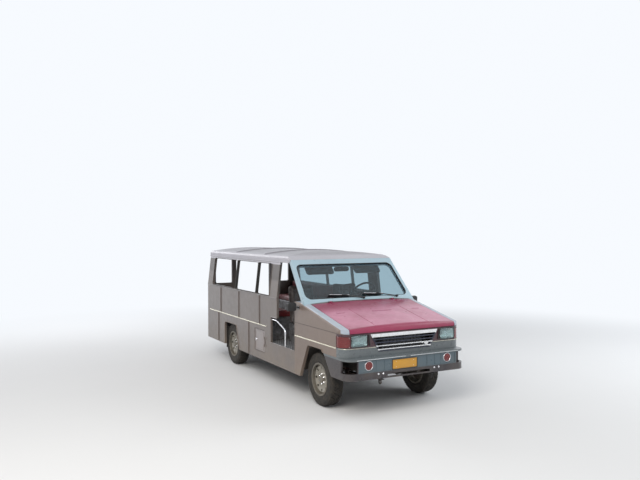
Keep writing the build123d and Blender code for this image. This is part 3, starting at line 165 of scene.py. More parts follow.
def blend_colours(tree, factor, first, second):
    """Output of a colour Mix node. Colours are sockets or triples."""
    made = tree.nodes.new("ShaderNodeMix")
    made.data_type = "RGBA"
    for index, value in ((0, factor), (6, first), (7, second)):
        if isinstance(value, bpy.types.NodeSocket):
            tree.links.new(value, made.inputs[index])
        elif index:
            made.inputs[index].default_value = (*value[:3], 1.0)
        else:
            made.inputs[index].default_value = value
    return made.outputs[2]


def spread(tree, value, low, high, to_low=0.0, to_high=1.0, smooth=False):
    """Output of a clamped Map Range node."""
    made = add_node(
        tree, "ShaderNodeMapRange",
        {"Value": value, "From Min": low, "From Max": high, "To Min": to_low, "To Max": to_high},
        interpolation_type="SMOOTHSTEP" if smooth else "LINEAR", clamp=True)
    return made.outputs["Result"]


def place(tree):
    """Object coordinates."""
    return add_node(tree, "ShaderNodeTexCoord").outputs["Object"]


def coordinates(tree):
    """X, Y and Z of Object coordinates."""
    return add_node(tree, "ShaderNodeSeparateXYZ", {"Vector": place(tree)}).outputs


def mottle(tree, scale, detail=4.0, roughness=0.55, stretch=(1.0, 1.0, 1.0), distortion=0.0):
    """Noise over the object, from 0 to 1."""
    mapping = add_node(tree, "ShaderNodeMapping", {"Vector": place(tree), "Scale": stretch})
    made = add_node(
        tree, "ShaderNodeTexNoise",
        {"Vector": mapping.outputs[0], "Scale": scale, "Detail": detail, "Roughness": roughness,
         "Distortion": distortion})
    return made.outputs["Fac"]


def relief(tree, shader, *layers):
    """Chains bumps of (height socket, strength, distance) into the shader's normal."""
    last = None
    for height, strength, distance in layers:
        inputs = {"Height": height, "Strength": strength, "Distance": distance}
        if last is not None:
            inputs["Normal"] = last
        last = add_node(tree, "ShaderNodeBump", inputs).outputs["Normal"]
    tree.links.new(last, shader.inputs["Normal"])


def feed(tree, shader, colour, roughness):
    """Links a shader's colour and roughness."""
    tree.links.new(colour, shader.inputs["Base Color"])
    tree.links.new(roughness, shader.inputs["Roughness"])


def new_finish(name, **shader_values):
    """A new material with its shader's constants set. Returns the material, its tree and the shader."""
    made = bpy.data.materials.new(name)
    made.use_nodes = True
    shader = made.node_tree.nodes["Principled BSDF"]
    for key, value in shader_values.items():
        socket = shader.inputs[key.replace("_", " ")]
        socket.default_value = (*value, 1.0) if isinstance(value, tuple) and len(value) == 3 else value
    return made, made.node_tree, shader


DUST = paint(150, 136, 118)
RUST = paint(96, 52, 30)


def dirt_by_height(tree, colour, low=0.20, high=0.85, amount=0.45):
    """Road dust that thickens towards the ground, broken up by noise."""
    height = coordinates(tree)["Z"]
    fall = spread(tree, height, low, high, amount, 0.04, smooth=True)
    patches = spread(tree, mottle(tree, 5.0, 6.0, 0.65), 0.32, 0.72)
    cover = maths(tree, "MULTIPLY", fall, patches, clamp=True)
    return blend_colours(tree, cover, colour, DUST), cover


def sheet_paint(name, colour, roughness=0.34, coat=0.25, dust=0.45, waves=0.0016, zones=()):
    """Sprayed paint on pressed sheet: faded patches, road dust, orange peel and a slight waviness.
    Each zone is (mask function, colour) and is painted over the one before."""
    made, tree, shader = new_finish(
        name, Coat_Weight=coat, Coat_Roughness=0.12, Specular_IOR_Level=0.5)
    base = blend_colours(tree, spread(tree, mottle(tree, 1.1, 5.0), 0.35, 0.70), colour,
                         toned(colour, 0.86))
    for mask, zone_colour in zones:
        base = blend_colours(tree, mask(tree), base, zone_colour)
    streaks = spread(tree, mottle(tree, 9.0, 3.0, 0.6, stretch=(1.0, 1.0, 0.12)), 0.52, 0.75, 0.0, 0.16)
    base = blend_colours(tree, streaks, base, toned(colour, 0.72))
    base, cover = dirt_by_height(tree, base, amount=dust)
    clean = spread(tree, mottle(tree, 14.0, 5.0), 0.3, 0.7, roughness - 0.06, roughness + 0.08)
    feed(tree, shader, base, maths(tree, "ADD", clean, maths(tree, "MULTIPLY", cover, 0.35), clamp=True))
    relief(tree, shader,
           (mottle(tree, 1.7, 2.0, 0.4), 0.6, waves),
           (mottle(tree, 420.0, 2.0), 0.08, 0.0004))
    return made


# Masks of paint zones, in metres. Each is a function that adds its nodes to a material's tree.
EDGE = 0.002  # half the width over which one paint turns into the next


def above_line(height, slope=0.0, y_start=0.0, soft=EDGE):
    """Mask of what lies over a line that climbs rearwards."""
    def mask(tree):
        parts = coordinates(tree)
        climb = maths(tree, "MULTIPLY", maths(tree, "SUBTRACT", parts["Y"], y_start), slope)
        over = maths(tree, "SUBTRACT", parts["Z"], maths(tree, "ADD", climb, height))
        return spread(tree, over, -soft, soft)
    return mask


def outside_width(half, within=0.0, beyond=1.0):
    """Mask of what lies further out than a half width."""
    def mask(tree):
        width = maths(tree, "ABSOLUTE", coordinates(tree)["X"])
        return spread(tree, width, half - EDGE, half + EDGE, within, beyond)
    return mask


def inside_width(half):
    """Mask of what lies nearer the middle than a half width."""
    return outside_width(half, within=1.0, beyond=0.0)


def between(axis, low, high):
    """Mask of what lies between two places along an axis."""
    def mask(tree):
        part = coordinates(tree)[axis]
        return maths(tree, "MULTIPLY", spread(tree, part, low - EDGE, low + EDGE),
                     spread(tree, part, high - EDGE, high + EDGE, 1.0, 0.0))
    return mask


def combined(operation, masks):
    """Mask that a Math operation makes of several."""
    def mask(tree):
        last = masks[0](tree)
        for other in masks[1:]:
            last = maths(tree, operation, last, other(tree))
        return last
    return mask


def either(*masks):
    """Mask of where any mask holds."""
    return combined("MAXIMUM", masks)


def both(*masks):
    """Mask of where all masks hold."""
    return combined("MULTIPLY", masks)


def facing_part(tree, axis):
    """How far a face looks along one axis, from -1 to 1."""
    normal = add_node(tree, "ShaderNodeTexCoord").outputs["Normal"]
    return add_node(tree, "ShaderNodeSeparateXYZ", {"Vector": normal}).outputs[axis]


def facing(axis, sign, limit=0.3):
    """Mask of faces that look along one axis."""
    def mask(tree):
        part = facing_part(tree, axis)
        return spread(tree, maths(tree, "MULTIPLY", part, sign), limit - 0.1, limit + 0.1)
    return mask


# Other finishes


def bright_metal(name, colour=(0.82, 0.82, 0.84), roughness=0.12, tarnish=0.25):
    """Plated trim with a little tarnish."""
    made, tree, shader = new_finish(name, Metallic=1.0)
    spots = spread(tree, mottle(tree, 26.0, 6.0, 0.7), 0.56, 0.80, 0.0, tarnish)
    feed(tree, shader, blend_colours(tree, spots, colour, (0.26, 0.20, 0.14)),
         spread(tree, mottle(tree, 40.0, 4.0), 0.3, 0.7, roughness, roughness + 0.16))
    relief(tree, shader, (mottle(tree, 30.0, 2.0), 0.12, 0.0004))
    return made


def raw_iron(name, colour, rust=0.35, roughness=0.7, grain=90.0):
    """Cast or forged metal with rust and road dirt."""
    made, tree, shader = new_finish(name, Metallic=0.35)
    patches = spread(tree, mottle(tree, 7.0, 8.0, 0.7), 0.45, 0.68, 0.0, rust)
    base = blend_colours(tree, patches, colour, RUST)
    base, _ = dirt_by_height(tree, base, 0.0, 0.6, 0.5)
    feed(tree, shader, base, spread(tree, patches, 0.0, 0.4, roughness - 0.12, 0.92))
    relief(tree, shader, (mottle(tree, grain, 5.0, 0.7), 0.5, 0.0012))
    return made


def frame_paint(name, colour, rust=0.22):
    """Brushed-on chassis paint, chipped and dusty."""
    made, tree, shader = new_finish(name, Coat_Weight=0.1, Coat_Roughness=0.3)
    chips = spread(tree, mottle(tree, 16.0, 9.0, 0.75), 0.60, 0.66, 0.0, rust)
    base = blend_colours(tree, chips, colour, RUST)
    base, _ = dirt_by_height(tree, base, 0.0, 0.7, 0.55)
    feed(tree, shader, base, spread(tree, mottle(tree, 20.0), 0.3, 0.7, 0.45, 0.7))
    relief(tree, shader, (mottle(tree, 60.0, 4.0), 0.25, 0.0008), (chips, 0.5, -0.0005))
    return made


def rubber(name, colour=(0.022, 0.021, 0.020), dusty=0.45):
    """Tyre and seal rubber with dust in its grain."""
    made, tree, shader = new_finish(name, Specular_IOR_Level=0.35)
    greyed = blend_colours(tree, spread(tree, mottle(tree, 18.0, 7.0, 0.65), 0.35, 0.75, 0.0, dusty), colour,
                           toned(DUST, 0.35))
    feed(tree, shader, greyed, spread(tree, mottle(tree, 55.0, 4.0), 0.3, 0.7, 0.62, 0.85))
    relief(tree, shader, (mottle(tree, 260.0, 3.0), 0.35, 0.0006))
    return made


def moulded(name, colour, roughness=0.5, grain=700.0):
    """Moulded plastic with a pebbled grain."""
    made, tree, shader = new_finish(name, Specular_IOR_Level=0.45)
    shade = blend_colours(tree, spread(tree, mottle(tree, 6.0, 4.0), 0.3, 0.7, 0.0, 0.5), colour,
                          tuple(min(value * 1.6 + 0.01, 1.0) for value in colour))
    feed(tree, shader, shade, spread(tree, mottle(tree, 40.0), 0.3, 0.7, roughness - 0.08, roughness + 0.1))
    relief(tree, shader, (mottle(tree, grain, 2.0), 0.25, 0.0005))
    return made


def vinyl(name, colour, roughness=0.42, creases=0.5):
    """Upholstery vinyl: pebbled leather grain, sat-on patches and fine creases."""
    made, tree, shader = new_finish(name, Sheen_Weight=0.12, Sheen_Roughness=0.5, Specular_IOR_Level=0.5)
    worn = spread(tree, mottle(tree, 4.0, 5.0), 0.42, 0.72, 0.0, 0.55)
    base = blend_colours(tree, worn, colour, tuple(min(value * 1.7 + 0.012, 1.0) for value in colour))
    feed(tree, shader, base, spread(tree, mottle(tree, 10.0, 4.0), 0.3, 0.7, roughness - 0.1,
                                    roughness + 0.16))
    cells = add_node(tree, "ShaderNodeTexVoronoi", {"Vector": place(tree), "Scale": 620.0},
                     feature="DISTANCE_TO_EDGE").outputs["Distance"]
    relief(tree, shader,
           (mottle(tree, 22.0, 6.0, 0.7, distortion=0.8), creases, 0.0016),
           (spread(tree, cells, 0.0, 0.12), 0.3, 0.0004))
    return made


def lens_glass(name, colour, roughness=0.06, alpha=1.0, flute=0.0):
    """Glass or clear plastic. A flute is the pitch of upright ribs in metres."""
    made, tree, shader = new_finish(
        name, Transmission_Weight=alpha, IOR=1.46, Coat_Weight=0.6, Coat_Roughness=0.05)
    tint = blend_colours(tree, spread(tree, mottle(tree, 9.0, 4.0), 0.35, 0.75, 0.0, 0.35), colour,
                         toned(colour, 0.75))
    feed(tree, shader, tint, spread(tree, mottle(tree, 12.0, 5.0), 0.3, 0.8, roughness, roughness + 0.10))
    layers = [(mottle(tree, 3.0, 2.0), 0.05, 0.001)]
    if flute:
        wave = add_node(tree, "ShaderNodeTexWave", {"Vector": place(tree), "Scale": 0.314 / flute},
                        wave_type="BANDS", bands_direction="X").outputs["Fac"]
        layers.append((wave, 0.6, 0.0015))
    relief(tree, shader, *layers)
    return made


def window_glass(name, tint=(0.30, 0.44, 0.50)):
    """Thin windscreen glass: mostly clear, with a dusty film and a dark sky-blue tint, which is a painted sky
    reflection and painted shade of the cab behind it.
    """
    made, tree, shader = new_finish(
        name, IOR=1.5, Roughness=0.02, Transmission_Weight=1.0)
    film = spread(tree, mottle(tree, 3.2, 7.0, 0.65), 0.40, 0.80, 0.0, 0.10)
    feed(tree, shader, blend_colours(tree, film, tint, toned(tint, 0.86)),
         spread(tree, mottle(tree, 2.1, 5.0), 0.35, 0.8, 0.015, 0.07))
    relief(tree, shader, (mottle(tree, 1.4, 1.0), 0.03, 0.001))
    return made


def tread_plate(name, colour=(0.30, 0.30, 0.31)):
    """Worn checker plate: raised lozenges in two crossing rows, polished on top and dirty between."""
    made, tree, shader = new_finish(name, Metallic=0.85)
    mapping = add_node(tree, "ShaderNodeMapping",
                       {"Vector": place(tree), "Rotation": (0.0, 0.0, math.radians(45)),
                        "Scale": (1.0, 0.45, 1.0)})
    cells = add_node(tree, "ShaderNodeTexVoronoi",
                     {"Vector": mapping.outputs[0], "Scale": 42.0, "Randomness": 0.0},
                     voronoi_dimensions="2D", feature="F1").outputs["Distance"]
    upward = spread(tree, facing_part(tree, "Z"), 0.7, 0.9)
    raised = maths(tree, "MULTIPLY", spread(tree, cells, 0.24, 0.34, 1.0, 0.0, smooth=True), upward)
    darkening = spread(tree, mottle(tree, 8.0, 7.0, 0.7), 0.35, 0.7)
    low = blend_colours(tree, darkening, colour, (0.055, 0.048, 0.042))
    feed(tree, shader, blend_colours(tree, raised, low, (0.45, 0.45, 0.46)),
         spread(tree, raised, 0.0, 1.0, 0.72, 0.36))
    relief(tree, shader, (raised, 0.8, 0.0016))
    return made


def wheel_paint_finish(name, colour):
    """Silver wheel paint, brighter on the dish, darker at the hub, with painted shade at the rim and rust at
    its chips.
    """
    made, tree, shader = new_finish(name, Metallic=0.45, Coat_Weight=0.2, Coat_Roughness=0.25)
    spots = spread(tree, mottle(tree, 30.0, 8.0, 0.75), 0.58, 0.70, 0.0, 0.6)
    parts = coordinates(tree)
    nearer = maths(tree, "MINIMUM", maths(tree, "ABSOLUTE", maths(tree, "SUBTRACT", parts["Y"], FRONT_AXLE)),
                   maths(tree, "ABSOLUTE", maths(tree, "SUBTRACT", parts["Y"], REAR_AXLE)))
    height = maths(tree, "SUBTRACT", parts["Z"], WHEEL_RADIUS)
    reach = maths(tree, "SQRT", maths(tree, "ADD", maths(tree, "MULTIPLY", nearer, nearer),
                                      maths(tree, "MULTIPLY", height, height)))
    # Painted shade darkens the rim's outer edge; the hub is darker too.
    edge = spread(tree, reach, 0.160, 0.205, 0.0, 0.75, smooth=True)
    hub = spread(tree, reach, 0.050, 0.095, 0.55, 0.0, smooth=True)
    darkening = maths(tree, "MULTIPLY", maths(tree, "ADD", edge, hub, clamp=True),
                  spread(tree, mottle(tree, 11.0, 6.0, 0.7), 0.25, 0.60, 0.45, 1.0))
    base = blend_colours(tree, darkening, colour, (0.060, 0.052, 0.045))
    base = blend_colours(tree, spots, base, RUST)
    base, _ = dirt_by_height(tree, base, 0.0, 0.7, 0.45)
    feed(tree, shader, base, spread(tree, darkening, 0.0, 1.0, 0.38, 0.75))
    relief(tree, shader, (mottle(tree, 80.0, 3.0), 0.2, 0.0006))
    return made


def bonnet_sheen(tree):
    """Mask of the painted sky reflection on the bonnet's front, which breaks up rearwards and spares the lip.
    """
    parts = coordinates(tree)
    rear = spread(tree, parts["Y"], NOSE + 0.60, NOSE + 0.86, 1.0, 0.0, smooth=True)
    front = spread(tree, parts["Y"], NOSE + 0.030, NOSE + 0.075, 0.0, 1.0, smooth=True)
    patches = spread(tree, mottle(tree, 2.6, 5.0, 0.6), 0.30, 0.60, 0.40, 0.85)
    return maths(tree, "MULTIPLY", maths(tree, "MULTIPLY", rear, front), patches)


def grille_metal(name):
    """Grille: plated top bar and two lowest bars, with the rest painted dark."""
    made, tree, shader = new_finish(name)
    height = coordinates(tree)["Z"]
    rails = [spread(tree, height, 0.953, 0.955), between("Z", 0.795, 0.812)(tree),
             between("Z", 0.839, 0.857)(tree)]
    bright = maths(tree, "ADD", maths(tree, "ADD", rails[0], rails[1]), rails[2], clamp=True)
    worn = spread(tree, mottle(tree, 30.0, 6.0, 0.7), 0.50, 0.72, 0.0, 0.35)
    plated = blend_colours(tree, worn, (0.84, 0.84, 0.85), (0.45, 0.42, 0.36))
    dark = blend_colours(tree, worn, (0.022, 0.026, 0.046), (0.10, 0.10, 0.11))
    tree.links.new(blend_colours(tree, bright, dark, plated), shader.inputs["Base Color"])
    tree.links.new(maths(tree, "MULTIPLY", bright, 0.95), shader.inputs["Metallic"])
    tree.links.new(spread(tree, bright, 0.0, 1.0, 0.45, 0.16), shader.inputs["Roughness"])
    relief(tree, shader, (mottle(tree, 60.0, 3.0), 0.15, 0.0004))
    return made


def tail_lens(name, red):
    """Tail lamp lens in three bands: amber over clear over red."""
    made, tree, shader = new_finish(name, Transmission_Weight=0.5, IOR=1.46, Coat_Weight=0.6,
                                    Coat_Roughness=0.05)
    height = coordinates(tree)["Z"]
    upper = blend_colours(tree, spread(tree, height, 1.176, 1.178), (0.75, 0.76, 0.74), paint(214, 120, 24))
    bands = blend_colours(tree, spread(tree, height, 1.110, 1.112), red, upper)
    film = spread(tree, mottle(tree, 9.0, 4.0), 0.35, 0.75, 0.0, 0.3)
    feed(tree, shader, blend_colours(tree, film, bands, (0.16, 0.13, 0.11)),
         spread(tree, mottle(tree, 12.0, 5.0), 0.3, 0.8, 0.10, 0.22))
    wave = add_node(tree, "ShaderNodeTexWave", {"Vector": place(tree), "Scale": 31.4}, wave_type="BANDS",
                    bands_direction="X").outputs["Fac"]
    relief(tree, shader, (wave, 0.5, 0.0012))
    return made


FINISHES = {}


def add_finish(make, name, *values, **settings):
    """Makes a finish and keeps it by the name of its slot or its use."""
    FINISHES[name] = make(name, *values, **settings)


def make_paints(colours):
    """Makes the paints of the panels."""
    body, roof, bumper = tuple(colours.body), tuple(colours.roof), tuple(colours.bumper)
    near_black = (0.035, 0.033, 0.031)
    # The bonnet's pink front zone is a painted reflection of the sky.
    add_finish(sheet_paint, "crimson_paint", tuple(colours.bonnet), roughness=0.32, coat=0.40, dust=0.15,
               waves=0.0022, zones=((bonnet_sheen, paint(196, 122, 150)),))
    # Above the bumper line the nose is a darkened copy of the crimson: painted shade.
    add_finish(sheet_paint, "nose_paint", bumper, roughness=0.28, coat=0.6, dust=0.25,
               zones=((above_line(0.846), paint(62, 26, 38)),))
    # The roof's top is a darker copy of its edge colour: painted shade.
    add_finish(sheet_paint, "roof_paint", roof, roughness=0.45, coat=0.10, dust=0.10, waves=0.003,
               zones=((above_line(1.912, soft=0.015), toned(colours.roof, 0.60)),
                      (facing("Z", -1.0), paint(150, 144, 134))))
    add_finish(sheet_paint, "screen_frame_paint", tuple(colours.screen_frame), roughness=0.30,
               coat=0.3, dust=0.15)

    # Inside the body the paint is a darker copy of the body colour, and the pillars between the windows are
    # near-black: both are painted shade.
    pillars = [between("Y", FRONT_AXLE + y - 0.024, FRONT_AXLE + y + 0.024) for y in (2.0, 2.9)]
    add_finish(sheet_paint, "body_paint", body,
               zones=((inside_width(0.866), toned(body, 0.55)),
                      (both(above_line(1.776, soft=0.004), outside_width(0.820)), roof),
                      (both(between("Z", 1.307, 1.776), either(*pillars)), near_black)))
    slope = (1.280 - 1.062) / (0.316 + 0.720)
    fender_top = both(above_line(1.280 - 0.050, slope, FRONT_AXLE + 0.316), inside_width(0.882))
    # The fender is a warmer, lighter copy of the body colour: painted sunlight.
    sunlit_body = tuple(value * tone for value, tone in zip(body, (1.22, 1.10, 1.00)))
    add_finish(sheet_paint, "fender_paint", sunlit_body, dust=0.5,
               zones=((inside_width(0.850), near_black), (fender_top, paint(166, 176, 188))))
    add_finish(sheet_paint, "hatch_paint", tuple(colours.hatch))
    # The near-black below the pocket and at the bumper's ends is painted shade.
    shaded_apron = either(between("Z", 0.0, 0.555), both(between("Z", 0.0, 0.702), outside_width(0.735)))
    add_finish(sheet_paint, "bumper_paint", bumper, roughness=0.30, coat=0.35, dust=0.25,
               zones=((between("Z", 0.555, 0.702), paint(78, 96, 106)), (shaded_apron, paint(46, 42, 48))))
    # The bumper strips are near-white paint in place of chrome: a painted highlight.
    add_finish(sheet_paint, "strip_plating", paint(226, 232, 236), roughness=0.15, coat=0.8, dust=0.05)
    add_finish(sheet_paint, "plate_paint", tuple(colours.plate), 0.4, 0.2, 0.3)
    add_finish(wheel_paint_finish, "wheel_paint", tuple(colours.wheel))


def make_other_finishes(colours):
    """Makes the finishes of metal, glass, plastic, vinyl and rubber."""
    add_finish(tread_plate, "floor_paint")
    add_finish(tread_plate, "step_steel", (0.26, 0.27, 0.28))
    add_finish(frame_paint, "chassis_paint", (0.020, 0.020, 0.021))
    add_finish(raw_iron, "cast_iron", (0.055, 0.050, 0.047), 0.45)
    add_finish(raw_iron, "spring_steel", (0.085, 0.080, 0.078), 0.30, 0.55, 140.0)
    add_finish(raw_iron, "engine_iron", (0.15, 0.155, 0.16), 0.15, 0.6, 120.0)
    add_finish(raw_iron, "radiator_metal", (0.080, 0.080, 0.082), 0.05, 0.6, 200.0)
    add_finish(raw_iron, "exhaust_steel", (0.17, 0.14, 0.12), 0.55, 0.6, 70.0)
    add_finish(bright_metal, "chrome_trim")
    add_finish(bright_metal, "trim_plating", (0.80, 0.76, 0.62), 0.22, 0.35)
    add_finish(grille_metal, "grille_plating")
    add_finish(bright_metal, "reflector", (0.50, 0.56, 0.56), 0.10, 0.25)
    add_finish(bright_metal, "mirror_glass", (0.80, 0.84, 0.86), 0.02, 0.03)
    add_finish(lens_glass, "headlight_glass", (0.70, 0.80, 0.80), flute=0.012)
    add_finish(lens_glass, "red_lens", tuple(colours.lamp), 0.12, 0.55, flute=0.010)
    add_finish(tail_lens, "tail_lens", tuple(colours.lamp))
    add_finish(moulded, "lining", paint(176, 170, 156), 0.75, 260.0)
    add_finish(rubber, "mat_rubber", (0.030, 0.030, 0.031), 0.6)
    add_finish(moulded, "dial_face", (0.012, 0.012, 0.014), 0.35, 900.0)
    add_finish(window_glass, "screen_glass")
    add_finish(moulded, "black_plastic", (0.020, 0.020, 0.021), 0.45)
    add_finish(moulded, "dash_plastic", (0.050, 0.048, 0.046), 0.6, 420.0)
    add_finish(vinyl, "seat_vinyl", tuple(colours.seat))
    add_finish(vinyl, "bench_vinyl", tuple(colours.bench))
    add_finish(rubber, "tyre_rubber")
    add_finish(rubber, "seal_rubber", (0.016, 0.016, 0.017), 0.2)


NODE_FINISHES = {
    "nose_panel": "nose_paint", "fender_left": "fender_paint", "fender_right": "fender_paint",
    "grille": "grille_plating", "tail_lamps": "tail_lens", "trim_strips": "trim_plating",
}


def dress_node(name, finish):
    """Puts a finish on every slot of a CAD node."""
    mesh = NODES[name].data
    if not mesh.materials:
        mesh.materials.append(None)
    for index in range(len(mesh.materials)):
        mesh.materials[index] = FINISHES[finish]


# Mesh helpers. Every point is in metres, in the frame of the whole vehicle.


def start_piece(name, mesh):
    """Links a new object that is to become a piece."""
    made = bpy.data.objects.new(name, mesh)
    bpy.context.scene.collection.objects.link(made)
    return made


def settle(made, body, finish, replaces=(), angle=40.0):
    """Gives a piece its finish, smooths it up to an angle and hands it to its body."""
    mesh = made.data
    mesh.materials.clear()
    mesh.materials.append(FINISHES[finish])
    mesh.polygons.foreach_set("material_index", [0] * len(mesh.polygons))
    mesh.polygons.foreach_set("use_smooth", [True] * len(mesh.polygons))
    mesh.set_sharp_from_angle(angle=math.radians(angle))
    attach(made, body)
    if replaces:
        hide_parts(*replaces)
    return made


def form_mesh(name, form):
    """Turns a bmesh of closed shapes into a mesh whose faces point outwards."""
    bmesh.ops.recalc_face_normals(form, faces=form.faces)
    mesh = bpy.data.meshes.new(name)
    form.to_mesh(mesh)
    form.free()
    return mesh


def form_piece(name, form, body, finish, **settings):
    """Turns a bmesh of closed shapes into a piece."""
    return settle(start_piece(name, form_mesh(name, form)), body, finish, **settings)


def join_rings(form, rings, closed=False):
    """Skins rings of points one after another. Open ends are capped."""
    pairs = list(zip(rings, rings[1:]))
    if closed:
        pairs.append((rings[-1], rings[0]))
    made = []
    for first, second in pairs:
        count = max(len(first), len(second))
        for index in range(count):
            after = (index + 1) % count
            corners = (first[index % len(first)], first[after % len(first)],
                       second[after % len(second)], second[index % len(second)])
            made.append(form.faces.new(list(dict.fromkeys(corners))))
    if not closed:
        made.extend(form.faces.new(ring) for ring in (rings[0], rings[-1]) if len(ring) > 2)
    return made


def across(axis):
    """An axis and two directions square to it and to each other."""
    axis = Vector(axis).normalized()
    side = axis.cross(Vector(UP) if abs(axis.z) < 0.9 else Vector(BACK)).normalized()
    return axis, side, axis.cross(side)


def turned(form, profile, centre, axis, steps=32, closed=False):
    """Turns (distance along the axis, radius) points round an axis."""
    axis, side, rise = across(axis)
    rings = []
    for along, radius in profile:
        heart = Vector(centre) + axis * along
        if radius < 1e-6:
            rings.append([form.verts.new(heart)])
            continue
        turns = (2 * math.pi * index / steps for index in range(steps))
        rings.append([form.verts.new(heart + (side * math.cos(turn) + rise * math.sin(turn)) * radius)
                      for turn in turns])
    return join_rings(form, rings, closed)


def slab(form, outline, depth, bevel=0.0, sides=False):
    """A plate: an outline carried along a depth vector, with softened rims and, if asked, sides."""
    near = [form.verts.new(point) for point in outline]
    far = [form.verts.new(Vector(point) + Vector(depth)) for point in outline]
    join_rings(form, [near, far])
    if bevel:
        rims = {edge for ring in (near, far) for vert in ring for edge in vert.link_edges
                if sides or (edge.verts[0] in ring and edge.verts[1] in ring)}
        bmesh.ops.bevel(form, geom=list(rims), offset=bevel, segments=2, profile=0.5, affect="EDGES")


def block(form, low, high, bevel=0.002):
    """A box between two corners with softened edges."""
    (x0, y0, z0), (x1, y1, z1) = low, high
    slab(form, ((x0, y0, z0), (x1, y0, z0), (x1, y1, z0), (x0, y1, z0)), (0, 0, z1 - z0), bevel, sides=True)


def ring_plate(form, outer, inner, depth):
    """A frame between two outlines with as many points each."""
    rings = [[form.verts.new(Vector(point) + Vector(shift)) for point in outline]
             for outline, shift in ((outer, (0, 0, 0)), (outer, depth), (inner, depth), (inner, (0, 0, 0)))]
    join_rings(form, rings, closed=True)


def rounded_loop(width, height, corner, steps=5):
    """Points of a rectangle with rounded corners round the origin."""
    points = []
    for quarter, (sign_x, sign_y) in enumerate(((1, 1), (-1, 1), (-1, -1), (1, -1))):
        heart = (sign_x * (width / 2 - corner), sign_y * (height / 2 - corner))
        for step in range(steps + 1):
            turn = math.pi / 2 * (quarter + step / steps)
            points.append((heart[0] + corner * math.cos(turn), heart[1] + corner * math.sin(turn)))
    return points


def onto(points, origin, right, up):
    """Flat points carried onto a plane in space."""
    origin, right, up = Vector(origin), Vector(right), Vector(up)
    return [origin + right * x + up * y for x, y in points]


def upright_loop(width, height, corner, centre):
    """A rounded rectangle that stands square across the vehicle."""
    return onto(rounded_loop(width, height, corner), centre, LEFT, UP)


def mirrored(points, side):
    """Points on the left side, or their mirror images on the right."""
    return [(side * x, y, z) for x, y, z in points]


# Geometry trees for what repeats or follows a path


def begin_tree(name, *sockets):
    """A geometry tree with named inputs, each (name, kind, default). Returns it and its input sockets."""
    tree = bpy.data.node_groups.new(name, "GeometryNodeTree")
    tree.interface.new_socket("Geometry", in_out="INPUT", socket_type="NodeSocketGeometry")
    tree.interface.new_socket("Geometry", in_out="OUTPUT", socket_type="NodeSocketGeometry")
    for label, kind, default in (*sockets, ("Finish", "Material", None)):
        made = tree.interface.new_socket(label, in_out="INPUT", socket_type=f"NodeSocket{kind}")
        if default is not None:
            made.default_value = default
    return tree, add_node(tree, "NodeGroupInput").outputs


def end_tree(tree, geometry, inputs):
    """Ends a geometry tree with real geometry in its finish."""
    whole = add_node(tree, "GeometryNodeRealizeInstances", {"Geometry": geometry}).outputs[0]
    dressed = add_node(tree, "GeometryNodeSetMaterial", {"Geometry": whole, "Material": inputs["Finish"]})
    add_node(tree, "NodeGroupOutput", {0: dressed.outputs[0]})
    return tree


def facing_field(tree):
    """The stored direction that a point of a path or a fastener faces."""
    return add_node(tree, "GeometryNodeInputNamedAttribute", {"Name": "facing"},
                    data_type="FLOAT_VECTOR").outputs["Attribute"]


def rounded_path(tree, inputs):
    """The carrier's edges as a curve with rounded corners."""
    path = add_node(tree, "GeometryNodeMeshToCurve", {"Mesh": inputs["Geometry"]}).outputs[0]
    return add_node(tree, "GeometryNodeFilletCurve",
                    {"Curve": path, "Count": inputs["Corner Steps"], "Radius": inputs["Corner"],
                     "Limit Radius": True}, mode="POLY").outputs[0]


def bead_tree():
    """Sweeps a soft-edged strip along edges, with its thickness towards the stored facing."""
    tree, inputs = begin_tree(
        "jeepney_bead", ("Width", "Float", 0.01), ("Thickness", "Float", 0.01), ("Edge", "Float", 0.002),
        ("Edge Steps", "Int", 2), ("Corner", "Float", 0.0), ("Corner Steps", "Int", 6))
    aimed = add_node(tree, "GeometryNodeSetCurveNormal",
                     {"Curve": rounded_path(tree, inputs), "Normal": facing_field(tree)},
                     mode="FREE").outputs[0]
    strip = add_node(tree, "GeometryNodeCurvePrimitiveQuadrilateral",
                     {"Width": inputs["Width"], "Height": inputs["Thickness"]}).outputs[0]
    soft = add_node(tree, "GeometryNodeFilletCurve",
                    {"Curve": strip, "Count": inputs["Edge Steps"], "Radius": inputs["Edge"],
                     "Limit Radius": True}, mode="POLY").outputs[0]
    swept = add_node(tree, "GeometryNodeCurveToMesh",
                     {"Curve": aimed, "Profile Curve": soft, "Fill Caps": True}).outputs[0]
    return end_tree(tree, swept, inputs)


def row_tree():
    """Sets a shape along edges at even spaces, its X along the path and its Z to the stored facing."""
    tree, inputs = begin_tree(
        "jeepney_row", ("Shape", "Object", None), ("Spacing", "Float", 0.05), ("Corner", "Float", 0.0),
        ("Corner Steps", "Int", 6))
    spaced = add_node(tree, "GeometryNodeResampleCurve",
                      {"Curve": rounded_path(tree, inputs), "Length": inputs["Spacing"]},
                      mode="LENGTH").outputs[0]
    turn = add_node(tree, "FunctionNodeAxesToRotation",
                    {"Primary Axis": facing_field(tree),
                     "Secondary Axis": add_node(tree, "GeometryNodeInputTangent").outputs[0]}).outputs[0]
    shape = add_node(tree, "GeometryNodeObjectInfo", {"Object": inputs["Shape"]}).outputs["Geometry"]
    copies = add_node(tree, "GeometryNodeInstanceOnPoints",
                      {"Points": spaced, "Instance": shape, "Rotation": turn}).outputs[0]
    return end_tree(tree, copies, inputs)


